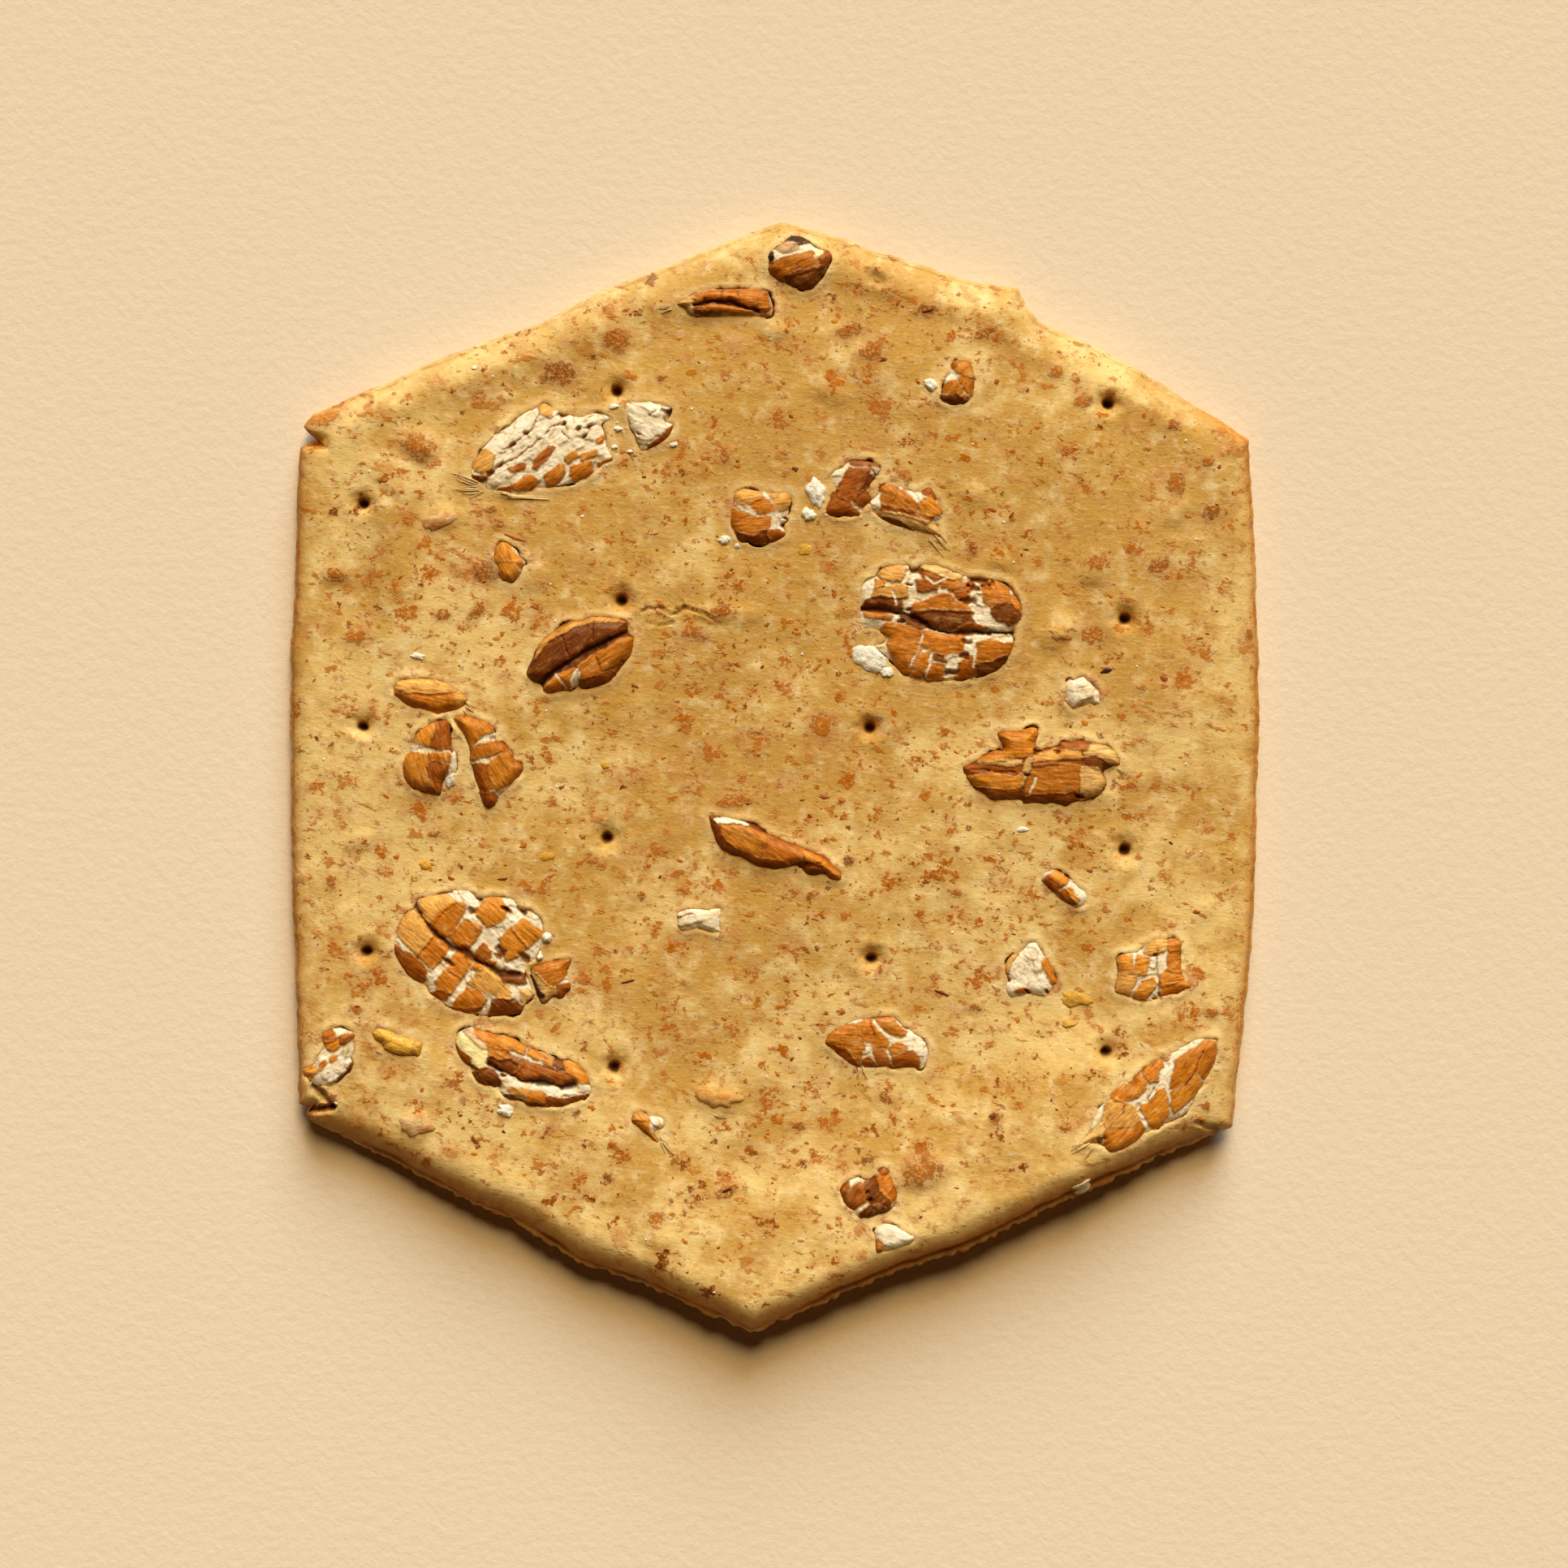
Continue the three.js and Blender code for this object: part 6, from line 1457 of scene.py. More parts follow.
    # browner edges, and painted shade on the rolled lower edge
    edgeTone = times(tree, attributeNode(tree, "edgeBrownAndShade").outputs["Fac"], patchy, clamp=True)
    colour = blendNode(tree, edgeTone, colour, dough["edgeBrownAndShade"])
    # painted light through the thin dough
    glow = blendNode(tree, 1.0, colour, dough["through"], "MULTIPLY")
    colour = blendNode(tree, attributeNode(tree, "glow").outputs["Fac"], colour, glow)
    # painted shade in the holes, furrows, clefts and sockets
    colour = blendNode(tree, attributeNode(tree, "hollow").outputs["Fac"], colour, dough["hollow"])
    # fine relief, in millimetres
    pores = put(tree, "TexNoise", {"Vector": place, "Scale": 3.4, "Detail": 4.0, "Roughness": 0.6})
    relief = part(fibres.outputs["Strand"], 0.03)
    for value, depth in ((fine.outputs["Strand"], 0.016), (pores.outputs["Fac"], 0.03),
                         (mid.outputs["Fac"], 0.05), (height, 0.02)):
        relief = plus(tree, relief, part(value, depth))
    gloss, glossTone = dough["gloss"]
    feed(tree, shader, {"Base Color": colour, "Roughness": dough["roughness"], "Specular IOR Level": gloss,
                        "Specular Tint": glossTone, "Normal": bumped(tree, times(tree, relief, 0.001))})
    return material


doughMesh = buildDough()
addPiece("dough", doughMesh[0], doughMesh[1], doughFinish(), ["dough"], values=doughMesh[2])
print("dough made:", len(doughMesh[1]), "triangles")

# The cracked kernels.
# dark and deep also serve as painted shade: creases are coloured with them, and some dark and deep plates lie
# on the shaded lower sides of lobes and down into creases
tones = {
    "flour": seen(241, 222, 185), "cream": seen(246, 224, 152), "straw": seen(230, 180, 104),
    "tan": seen(228, 162, 74), "amber": seen(219, 135, 34), "bran": seen(205, 118, 24),
    "rust": seen(172, 88, 12), "dark": seen(126, 61, 6), "deep": seen(62, 28, 3),
    "gold": seen(230, 172, 62), "pink": seen(228, 182, 130),
}

# sizes that all kernels share, in millimetres
kernelForm = {
    "lattice": 0.075,  # mesh step
    "ledge": 0.08,  # steps in the broken flour
    "crease": 0.34,  # depth of the crease, and of that in a flat flake
    "flatCrease": 0.25,
    "seam": 0.06,
    "crack": 0.14,
    "pit": 0.36,
    "below": 0.82,  # how far the hidden bottom lies under the skin of the dough
}
# thin floury seams across the plates, from the dough's middle
lightSeams = [
    [9.16, 8.62, 8.8, 7.64, 8.36, 6.67], [9.69, 7.38, 9.42, 6.4, 9.33, 6.04], [12.36, 7.82, 12.32, 6.67],
    [7.3, 11.3, 7.5, 10.5], [9.3, 12.2, 9.8, 11.8, 10.6, 12.1], [16.1, -0.2, 15.5, -1.6, 15.2, -3.0],
    [-19.0, 8.1, -18.6, 7.2], [-13.4, 6.2, -12.9, 5.6, -12.7, 5.0], [-11.2, 4.9, -11.5, 4.4],
]


def crackedKernel(name, data, number):
    place = spot(name)[:2] - middle[:2]
    rng = np.random.default_rng(100 + number)
    edge = resampled(rims[name], kernelForm["lattice"])
    x, y = edge.T
    inward = place - edge
    inward = inward / np.hypot(*inward.T)[:, None]
    edge = edge + inward * (0.03 * layered(x, y, 0.35, number) + 0.03)[:, None]
    flat, tris = filled(edge, latticeIn(edge, kernelForm["lattice"], 0.05, number))
    x, y = flat.T
    deepIn = np.maximum(signedReach(x, y, edge[::2]), 0)
    half = max(deepIn.max(), 0.3)
    roundness = min(half, 0.4 + 0.25 * half)
    dome = 1 - (1 - np.clip(deepIn / roundness, 0, 1)) ** 2.2
    z = surfaceAt(x, y) - 0.03 + data["rise"] * dome
    # wandering coordinates, so that no drawn line stays straight
    wx = x + 0.06 * ripple(x, y, 0.45, 3) + 0.035 * ripple(x, y, 0.16, 4)
    wy = y + 0.06 * ripple(x, y, 0.45, 5) + 0.035 * ripple(x, y, 0.16, 6)
    gx, gy = turned(x, y, data["grain"])
    bed = tones[data["bed"]]
    tint = np.tile(bed, (len(x), 1))
    isFloury = data["bed"] in ("flour", "cream", "pink")
    chunk = layered(x, y, 0.5, 13 + number)
    if isFloury:
        ridge = 1 - np.abs(ripple(x, y, 0.95, 15 + number))
        crackLine = smooth(ridge, 0.93, 0.995) * smooth(ripple(x, y, 1.4, 16), 0.1, 0.7)
        step = layered(gx * 0.6, gy, 1.15, 61 + number) * 2.4 + 9
        rest = step - np.floor(step)
        ledge = np.floor(step) + smooth(rest, 0.4, 0.6) - 9
        cliff = smooth(np.abs(rest - 0.47), 0.1, 0.02)
        bedRelief = kernelForm["ledge"] * ledge + 0.045 * chunk + 0.02 * ripple(x, y, 0.14, 17)
        bedRelief = bedRelief - 0.05 * crackLine
        # painted shade: the floury bed is darkened along its cracks and below the steps of its ledges, and
        # tan patches where the chunk noise is low stand in for its shaded parts
        tint = tint * (1 - 0.35 * crackLine[:, None]) * (0.98 + 0.04 * chunk[:, None])
        tint = tint * (1 - np.array([0.16, 0.28, 0.42]) * cliff[:, None])
        tint = tint * (1 - np.array([0.08, 0.16, 0.32]) * smooth(-chunk, 0.05, 0.55)[:, None])
    else:
        bedRelief = 0.03 * chunk
        tint = tint * (0.9 + 0.25 * chunk[:, None])
    bare = np.ones(len(x))
    skin = np.zeros(len(x)) if isFloury else np.ones(len(x))
    for tone, numbers in data["tiles"]:
        shape = pairs(numbers) + place
        (x0, y0), (x1, y1) = shape.min(0) - 0.5, shape.max(0) + 0.5
        near = (x > x0) & (x < x1) & (y > y0) & (y < y1)
        d = np.full(len(x), -1.0)
        d[near] = signedReach(wx[near], wy[near], shape) + data.get("grow", 0.08)
        on = smooth(d, -0.015, 0.03)
        puff = rng.uniform(0.05, 0.09) + 0.03 * smooth(d, 0, 0.4)
        lean = rng.uniform(-0.025, 0.025, 2)
        tilt = (x - shape[:, 0].mean()) * lean[0] + (y - shape[:, 1].mean()) * lean[1]
        pick = rng.uniform(0.92, 1.08)
        if tone in ("flour", "cream"):
            z += on * (puff * 0.6 + 0.04 * chunk)
            skin = skin * (1 - on)
            own = tones[tone] * (0.98 + 0.05 * chunk[:, None])
        else:
            streak = 0.6 * layered(gx * 0.3, gy, 0.26, 23 + number)
            streak = streak + 0.5 * layered(gx * 0.2, gy, 0.13, 27 + number)
            speckle = layered(x, y, 0.2, 33 + number)
            light = smooth(streak + 0.7 * speckle, 0.1, 0.75)
            dim = smooth(-streak - 0.7 * speckle, 0.1, 0.75)
            own = tones[tone] * pick * (1 - 0.34 * dim[:, None])
            streakTone = tones["straw"] * (0.9 if tone in ("tan", "amber", "bran", "straw") else 0.62)
            own = mixed(own, streakTone, 0.5 * light)
            # painted shade along the inside of the plate's edge
            own = own * (1 - 0.25 * smooth(d, 0.09, 0.0))[:, None]
            bright = smooth(np.abs(d - 0.02), 0.05, 0.0) * smooth(ripple(x, y, 0.35, 53), -0.2, 0.4)
            own = mixed(own, tones["straw"], 0.5 * bright)
            z += on * (puff + tilt + 0.022 * streak + 0.008 * speckle)
            skin = between(skin, 1, on)
        # painted shade on the bed just outside the plate's edge
        tint = tint * (1 - 0.35 * smooth(np.abs(d + 0.02), 0.05, 0.0) * (d < 0))[:, None]
        tint = mixed(tint, own, on)
        bare = bare * (1 - 0.85 * on)
    z += bedRelief * bare
    if "crease" in data:
        line = pairs(data["crease"]) + place
        d = lineReach(wx, wy, line)
        wide = 0.13 * (1 + 0.75 * ripple(x, y, 0.9, 83) + 0.3 * ripple(x, y, 0.3, 84))
        depth = kernelForm["crease" if data["rise"] > 0.3 else "flatCrease"]
        z -= depth * hump(d, wide) + 0.1 * smooth(d, 0.5, 0)
        # painted shade: the crease is coloured deep and dark brown
        fibre = smooth(layered(gx * 0.3, gy, 0.25, 85), -0.2, 0.6)[:, None]
        groove = tones["deep"] * (1 - fibre) + tones["dark"] * fibre
        tint = mixed(tint, groove, smooth(d, wide * 1.6, wide * 0.4) * 0.88)
    for line in lightSeams:
        line = pairs(line)
        if (line.min(0) < flat.max(0)).all() and (line.max(0) > flat.min(0)).all():
            d = lineReach(wx, wy, line)
            on = smooth(d, 0.11, 0.04) * smooth(ripple(x, y, 0.5, 87), -0.7, -0.2)
            z -= kernelForm["seam"] * on
            tint = mixed(tint, tones["flour"] * 0.92, on)
            skin = skin * (1 - on)
    for line in data.get("cracks", ()):
        d = lineReach(wx, wy, pairs(line) + place)
        z -= kernelForm["crack"] * smooth(d, 0.07, 0.0)
        # painted shade in the crack
        tint = mixed(tint, tones["rust"] * 0.5, 0.8 * smooth(d, 0.07, 0.01))
    for px, py, r in data.get("pits", ()):
        r = r * 0.75
        u, v = turned(wx - place[0] - px, wy - place[1] - py, data["grain"])
        d = np.hypot(u * 0.5, v)
        d = d * (1 + 0.5 * ripple(x, y, 0.22, 73))
        z -= kernelForm["pit"] * smooth(d, r * 1.1, r * 0.3)
        # painted shade in the pit
        tint = mixed(tint, tones["rust" if isFloury else "dark"] * 0.6, 0.75 * smooth(d, r, r * 0.4))
    # painted shade along the kernel's rim, where it sinks into the dough
    tint = tint * (1 - 0.3 * smooth(deepIn, 0.1, 0.0))[:, None]
    baked = data.get("baked", 0)
    if baked:
        # darker towards the rim: browner bake and painted shade at the kernel's edge
        worn = skin * smooth(deepIn - 0.2 * layered(x, y, 0.8, 93), 0.36, 0.0)
        cloud = skin * smooth(layered(gx * 0.6, gy, 0.9, 95 + number), 0.0, 0.5)
        deeper = (0.35 * skin + 0.6 * worn + 0.45 * cloud)[:, None] * baked
        tint = tint * np.clip(1 - np.array([0.42, 0.58, 0.75]) * deeper, 0.08, 1)
    # the wall down into the socket, and the hidden flat bottom
    loop = rimLoop(tris)
    floorZ = float(surfaceAt(x, y).min()) - kernelForm["below"]
    verts = [np.column_stack([flat, z])]
    inwardNow = place - flat[loop]
    inwardNow = inwardNow / (np.hypot(*inwardNow.T)[:, None] + 1e-9)
    upper, walls, total = loop, [], len(flat)
    for inset, down in ((-0.01, 0.07), (0.0, 0.22), (0.05, 0.5)):
        spots = flat[loop] + inwardNow * inset
        verts.append(np.column_stack([spots, np.maximum(z[loop] - down, floorZ + 0.08)]))
        lower = np.arange(len(loop)) + total
        walls.append(bridged(upper, lower))
        upper, total = lower, total + len(loop)
    base = flat[loop] + inwardNow * 0.08
    verts.append(np.column_stack([base, np.full(len(loop), floorZ)]))
    lower = np.arange(len(loop)) + total
    walls.append(bridged(upper, lower))
    _, under = filled(base, np.zeros((0, 2)))
    verts = np.vstack(verts) + [middle[0], middle[1], floorHeight]
    tris = np.concatenate([tris, *walls, under[:, ::-1] + total])
    wallCount = (len(verts) - len(flat)) // len(loop)
    # painted shade on the wall down into the socket
    wallTint = np.tile(tint[loop] * 0.6, (wallCount, 1))
    tint = np.clip(np.vstack([tint, wallTint]), 0.004, 0.95)
    facts = {"skin": skin, "along": gx, "across": gy}
    facts = {key: np.concatenate([v, np.tile(v[loop], wallCount)]) for key, v in facts.items()}
    return verts, tris, tint, facts


def kernelFinish(name, gloss, grainDepth):
    material, tree, shader = newMaterial(name)
    place = placeInMillimetres(tree)
    skin = attributeNode(tree, "skin").outputs["Fac"]
    tint = attributeNode(tree, "tint").outputs["Color"]
    along = attributeNode(tree, "along").outputs["Fac"]
    across = attributeNode(tree, "across").outputs["Fac"]
    grain = put(tree, "CombineXYZ", {0: along, 1: across}).outputs[0]
    feeds = {"Place": grain, "Turn": 0.0, "Along": 1.2, "Across": 6.5}
    fibres = putGroup(tree, fibreGroup, feeds).outputs["Strand"]
    feeds = {"Vector": place, "Scale": 9.0, "Detail": 3.0, "Roughness": 0.7}
    smallBumps = put(tree, "TexNoise", feeds).outputs["Fac"]
    # light and dark fibres, then darker where the small bumps dip
    colour = filtered(tree, times(tree, stepNode(tree, fibres, 0.5, 0.68), 0.8), tint, (1.4, 1.55, 1.8))
    lines = times(tree, stepNode(tree, fibres, 0.5, 0.34), skin)
    colour = filtered(tree, times(tree, lines, 0.8), colour, (0.55, 0.45, 0.35))
    colour = filtered(tree, times(tree, stepNode(tree, smallBumps, 0.56, 0.4), 0.22), colour, (0.55, 0.5, 0.45))
    rough = put(tree, "MapRange", {"Value": skin, "To Min": 0.85, "To Max": gloss}).outputs[0]
    relief = plus(tree, times(tree, fibres, grainDepth), times(tree, smallBumps, 0.03))
    normal = bumped(tree, times(tree, relief, 0.001))
    feed(tree, shader, {"Base Color": colour, "Roughness": rough, "Specular IOR Level": 0.3,
                        "Specular Tint": (1.0, 0.78, 0.42, 1), "Normal": normal})
    return material


kernelFinishes = {
    "bran_brown": kernelFinish("bran, brown", 0.42, 0.04),
    "bran_dark": kernelFinish("bran, dark", 0.36, 0.05),
    "flour_white": kernelFinish("floury grain, white", 0.5, 0.02),
    "straw_tan": kernelFinish("bran, straw", 0.45, 0.04),
    "grit_yellow": kernelFinish("yellow grit", 0.4, 0.02),
}
allTriangles = 0
for number, (name, data) in enumerate(kernels.items()):
    verts, tris, tint, facts = crackedKernel(name, data, number)
    allTriangles += len(tris)
    addPiece(name, verts, tris, kernelFinishes[data["slot"]], [name], facts, {"tint": tint})
print("kernels made:", len(kernels), "with", allTriangles, "triangles")


# Small loose bits, one joined mesh per kind.
def topHeights(x, y):
    x, y = np.atleast_1d(np.asarray(x, float)), np.atleast_1d(np.asarray(y, float))
    return doughTop(x, y)[0]


def crumb(cx, cy, a, b, turn, height, sink, seed, rings=4, spokes=16, ragged=0.25):
    # one closed low-domed bit lying on the dough, with an uneven outline
    angle = np.linspace(0, 2 * np.pi, spokes, endpoint=False)
    edge = 1 + ragged * layered(np.cos(angle) * 1.3 + seed * 3.1, np.sin(angle) * 1.3, 0.9, seed % 50)
    points, depth = [], []
    for k in range(rings):
        r = (k + 1) / rings
        u, v = r * a * edge * np.cos(angle), r * b * edge * np.sin(angle)
        px, py = turned(u, v, -turn)
        points.append(np.column_stack([cx + px, cy + py]))
        depth.append(np.full(spokes, (1 - r ** 2.4)))
    flat = np.vstack([[(cx, cy)], *points])
    share = np.concatenate([[1.0], *depth])
    z = topHeights(flat[:, 0], flat[:, 1])
    uneven = 0.18 * height * ripple(flat[:, 0], flat[:, 1], 0.22, seed % 37) * share
    z = z - sink + (height + sink) * share ** 0.6 + uneven
    first = np.arange(1, spokes + 1)
    tris = [np.stack([np.zeros(spokes, int), first, np.roll(first, -1)], 1)]
    for k in range(rings - 1):
        tris.append(bridged(first + k * spokes, first + (k + 1) * spokes))
    last = first + (rings - 1) * spokes
    low = np.column_stack([flat[last] * 0.96 + np.array([cx, cy]) * 0.04, z[last] - 0.12])
    lowIds = np.arange(spokes) + len(flat)
    tris.append(bridged(last, lowIds))
    centre = len(flat) + spokes
    tris.append(np.stack([np.full(spokes, centre), np.roll(lowIds, -1), lowIds], 1))
    verts = np.vstack([np.column_stack([flat, z]), low, [(cx, cy, z[last].mean() - 0.12)]])
    return verts, np.concatenate(tris), np.concatenate([share, np.zeros(spokes + 1)])


def joined(bits):
    verts, tris, tints, total = [], [], [], 0
    for v, t, c in bits:
        verts.append(v)
        tris.append(t + total)
        tints.append(c)
        total += len(v)
    return np.vstack(verts) + [middle[0], middle[1], floorHeight], np.concatenate(tris), np.vstack(tints)


def clearOf(x, y, margin):
    for rim in rims.values():
        (x0, y0), (x1, y1) = rim.min(0) - 1, rim.max(0) + 1
        if x0 < x < x1 and y0 < y < y1 and signedReach(np.array([x]), np.array([y]), rim)[0] > -margin:
            return False
    return all(math.hypot(x - hx, y - hy) > 0.9 for hx, hy in dockingHoles)


fleckLook = {
    "count": 210, "smallest": 0.12, "largest": 0.36, "height": 0.035,
    "tones": ["bran", "amber", "rust", "bran", "rust", "dark"],
}


def makeFlecks():
    rng = np.random.default_rng(5)
    bits = []
    while len(bits) < fleckLook["count"]:
        x, y = rng.uniform(-29, 29), rng.uniform(-33.5, 33.5)
        _, inset = shareAndInset(np.array([x]), np.array([y]))
        if inset[0] < 1.4 or not clearOf(x, y, 0.6):
            continue
        i = len(bits)
        a = between(fleckLook["smallest"], fleckLook["largest"], rng.random() ** 2)
        b, turn = a * rng.uniform(0.35, 0.8), rng.uniform(-40, 60)
        height = fleckLook["height"]
        v, t, share = crumb(x, y, a, b, turn, height, 0.05, 3 + i, rings=3, spokes=12, ragged=0.8)
        tone = tones[fleckLook["tones"][int(rng.integers(len(fleckLook["tones"])))]]
        skinTone = dough["light"] * 0.5 + dough["deep"] * 0.5
        worn = ripple(v[:, 0], v[:, 1], 0.12, i)
        cover = np.clip(0.35 + 0.9 * share + 0.25 * worn, 0, 1)
        tint = mixed(skinTone, tone * (0.95 + 0.2 * worn[:, None]), cover)
        bits.append((v, t, np.clip(tint, 0.01, 0.95)))
    return joined(bits)


crumbLook = {"tone": seen(252, 243, 216), "loose": 60, "smallest": 0.05, "largest": 0.13, "height": 0.05}
# floury crumbs: x, y, half sizes, turn, height
floury = [
    (2.6, 17.25, 0.62, 0.95, 10, 0.26), (2.1, 16.0, 0.5, 0.42, 0, 0.22), (5.95, 7.1, 1.15, 0.7, -25, 0.24),
    (6.9, 6.3, 0.5, 0.4, 0, 0.2), (-21.95, 7.3, 0.5, 0.22, -10, 0.12), (-16.5, -20.6, 0.6, 0.4, -20, 0.2),
    (-13.95, -10.0, 0.35, 0.4, 0, 0.3), (-14.5, -11.1, 0.3, 0.35, 0, 0.25), (-9.9, 22.7, 0.3, 0.2, 0, 0.15),
    (-9.6, 21.3, 0.25, 0.18, 0, 0.15), (-9.85, 20.2, 0.2, 0.16, 0, 0.12), (-6.2, 20.3, 0.28, 0.2, 30, 0.15),
    (-8.9, 19.9, 0.22, 0.12, 0, 0.1), (9.6, 24.0, 0.5, 0.35, -30, 0.22), (-3.1, 14.5, 0.36, 0.32, 0, 0.2),
    (15.3, -3.35, 0.45, 0.17, 0, 0.1), (-18.5, 25.1, 0.2, 0.15, 0, 0.1), (-2.3, 14.1, 0.2, 0.15, 0, 0.1),
    (-19.9, -0.1, 0.35, 0.7, -8, 0.2),
]


def makeCrumbs():
    rng = np.random.default_rng(8)
    bits = []
    spots = list(floury)
    while len(spots) < len(floury) + crumbLook["loose"]:
        x, y = rng.uniform(-28.5, 28.5), rng.uniform(-33, 33)
        _, inset = shareAndInset(np.array([x]), np.array([y]))
        if inset[0] > 1.5 and clearOf(x, y, 0.1):
            a = rng.uniform(crumbLook["smallest"], crumbLook["largest"])
            spots.append((x, y, a, a * rng.uniform(0.5, 1), rng.uniform(0, 180), crumbLook["height"]))
    for i, (x, y, a, b, turn, height) in enumerate(spots):
        large = i < len(floury)
        rings, spokes = (8, 32) if large else (3, 9)
        v, t, share = crumb(x, y, a, b, turn, height, 0.04, 5 + i, rings, spokes, ragged=0.5)
        lumps = layered(v[:, 0], v[:, 1], 0.4, 17 + i)
        v[:, 2] += (0.3 * height * lumps * (share > 0.02)) * (height > 0.1)
        tint = crumbLook["tone"] * (0.98 + 0.05 * lumps[:, None])
        tint = tint * (1 - 0.12 * smooth(share, 0.25, 0.0))[:, None]
        bits.append((v, t, np.clip(tint, 0.02, 0.95)))
    return joined(bits)


# flat bits of other colours: x, y, half sizes, turn, height, tone
yellowBits = [
    (18.6, -13.85, 0.9, 0.45, -10, 0.14, "gold"), (18.1, -15.35, 0.4, 0.3, 0, 0.12, "gold"),
    (-14.0, -5.0, 0.5, 0.3, 10, 0.08, "gold"), (-10.4, 0.6, 0.35, 0.3, 0, 0.08, "gold"),
    (1.9, 13.9, 0.5, 0.4, 0, 0.08, "gold"), (-21.5, -5.5, 0.4, 0.35, 0, 0.1, "gold"),
]
paleBits = [
    (18.9, -25.3, 0.75, 0.34, 28, 0.25, "flour"), (-21.95, -21.5, 1.2, 0.8, 0, 0.16, "pink"),
    (14.3, -0.1, 0.9, 0.45, 20, 0.25, "pink"), (17.6, 8.75, 0.8, 0.6, 0, 0.12, "tan"),
    (-20.6, 15.7, 1.1, 0.55, 18, 0.12, "pink"), (-3.45, -19.85, 1.3, 0.7, -10, 0.16, "tan"),
]
darkBits = [
    (-9.0, -12.7, 0.5, 0.09, 15, 0.06, "dark"), (10.3, -13.4, 0.55, 0.1, -20, 0.06, "dark"),
    (-16.7, -6.4, 0.45, 0.09, 5, 0.06, "dark"), (-2.9, -25.5, 0.4, 0.1, 20, 0.07, "deep"),
    (9.5, 28.6, 0.4, 0.1, 15, 0.07, "dark"), (20.4, 6.4, 0.42, 0.16, 15, 0.05, "deep"),
    (14.6, 16.0, 0.3, 0.08, 50, 0.05, "dark"), (-16.0, 14.6, 0.9, 0.1, -20, 0.05, "rust"),
    (-12.2, 7.6, 0.3, 0.06, 0, 0.04, "dark"), (-11.2, 13.9, 0.16, 0.05, 20, 0.04, "deep"),
]


def makeBits(table, seed):
    bits = []
    for i, (x, y, a, b, turn, height, tone) in enumerate(table):
        ragged = 0.75 if height > 0.1 else 0.4
        v, t, share = crumb(x, y, a, b, turn, height, 0.04, seed + i, rings=7, spokes=26, ragged=ragged)
        worn = layered(v[:, 0], v[:, 1], 0.4, seed + i)
        v[:, 2] += 0.25 * height * worn * (share > 0.02)
        own = tones[tone] * (0.95 + 0.3 * worn[:, None])
        if tone in ("pink", "tan"):
            # these lie half under the skin of the dough and show through it
            fleck = smooth(layered(v[:, 0], v[:, 1], 0.5, seed + 40 + i), 0.0, 0.35)[:, None]
            own = own * 0.6 + dough["light"] * 0.4
            own = own + (tones["bran"] - own) * 0.6 * fleck
        bits.append((v, t, np.clip(own, 0.01, 0.95)))
    return joined(bits)


# straw hairs: x, y, heading, length, bend, thickness
hairs = [
    (-18.3, 18.0, 150, 1.6, 20, 0.05), (-18.4, 17.8, 165, 1.3, -15, 0.045), (-18.2, 17.6, 175, 1.7, 10, 0.05),
    (-18.0, 17.4, 190, 1.2, -20, 0.04), (-16.4, 17.2, -8, 2.6, 6, 0.09), (-16.8, 17.35, -12, 2.0, 12, 0.06),
    (-18.95, 4.5, -35, 0.7, 10, 0.04), (-19.0, 4.2, -25, 0.6, -20, 0.035), (-19.1, 4.0, -50, 0.6, 15, 0.035),
    (9.8, 14.9, -52, 1.5, 10, 0.05), (9.5, 14.5, -44, 1.4, -12, 0.045), (9.9, 15.3, -60, 1.2, 16, 0.04),
    (19.3, -22.3, 205, 1.3, 15, 0.05), (19.2, -22.6, 215, 1.1, -10, 0.045), (19.5, -22.8, 225, 0.9, 20, 0.04),
    (-6.9, -22.5, -52, 1.1, 8, 0.05), (-7.0, -22.3, -40, 0.9, -12, 0.04), (-6.4, 28.9, 185, 0.9, 14, 0.04),
    (-6.3, 28.7, 200, 0.8, -10, 0.04), (5.4, -17.9, -75, 0.9, 20, 0.05), (5.2, -18.0, -100, 0.7, 0, 0.04),
    (21.1, 0.4, -30, 0.7, 20, 0.04), (20.9, -0.2, -50, 0.6, 10, 0.04), (-3.6, -20.9, -20, 0.7, 10, 0.035),
    (-11.6, 21.9, 25, 0.6, 10, 0.03), (-24.5, -16.9, -30, 0.5, 10, 0.035), (13.4, -12.9, -30, 0.6, 10, 0.03),
]


hairLook = {
    "tone": seen(246, 212, 142),
    "siblings": 2,  # finer hairs beside each
    "sides": 6,
    "steps": 9,
    "lift": 0.03,  # height over the dough
    "arch": 0.05,  # how much higher the middle stands
}


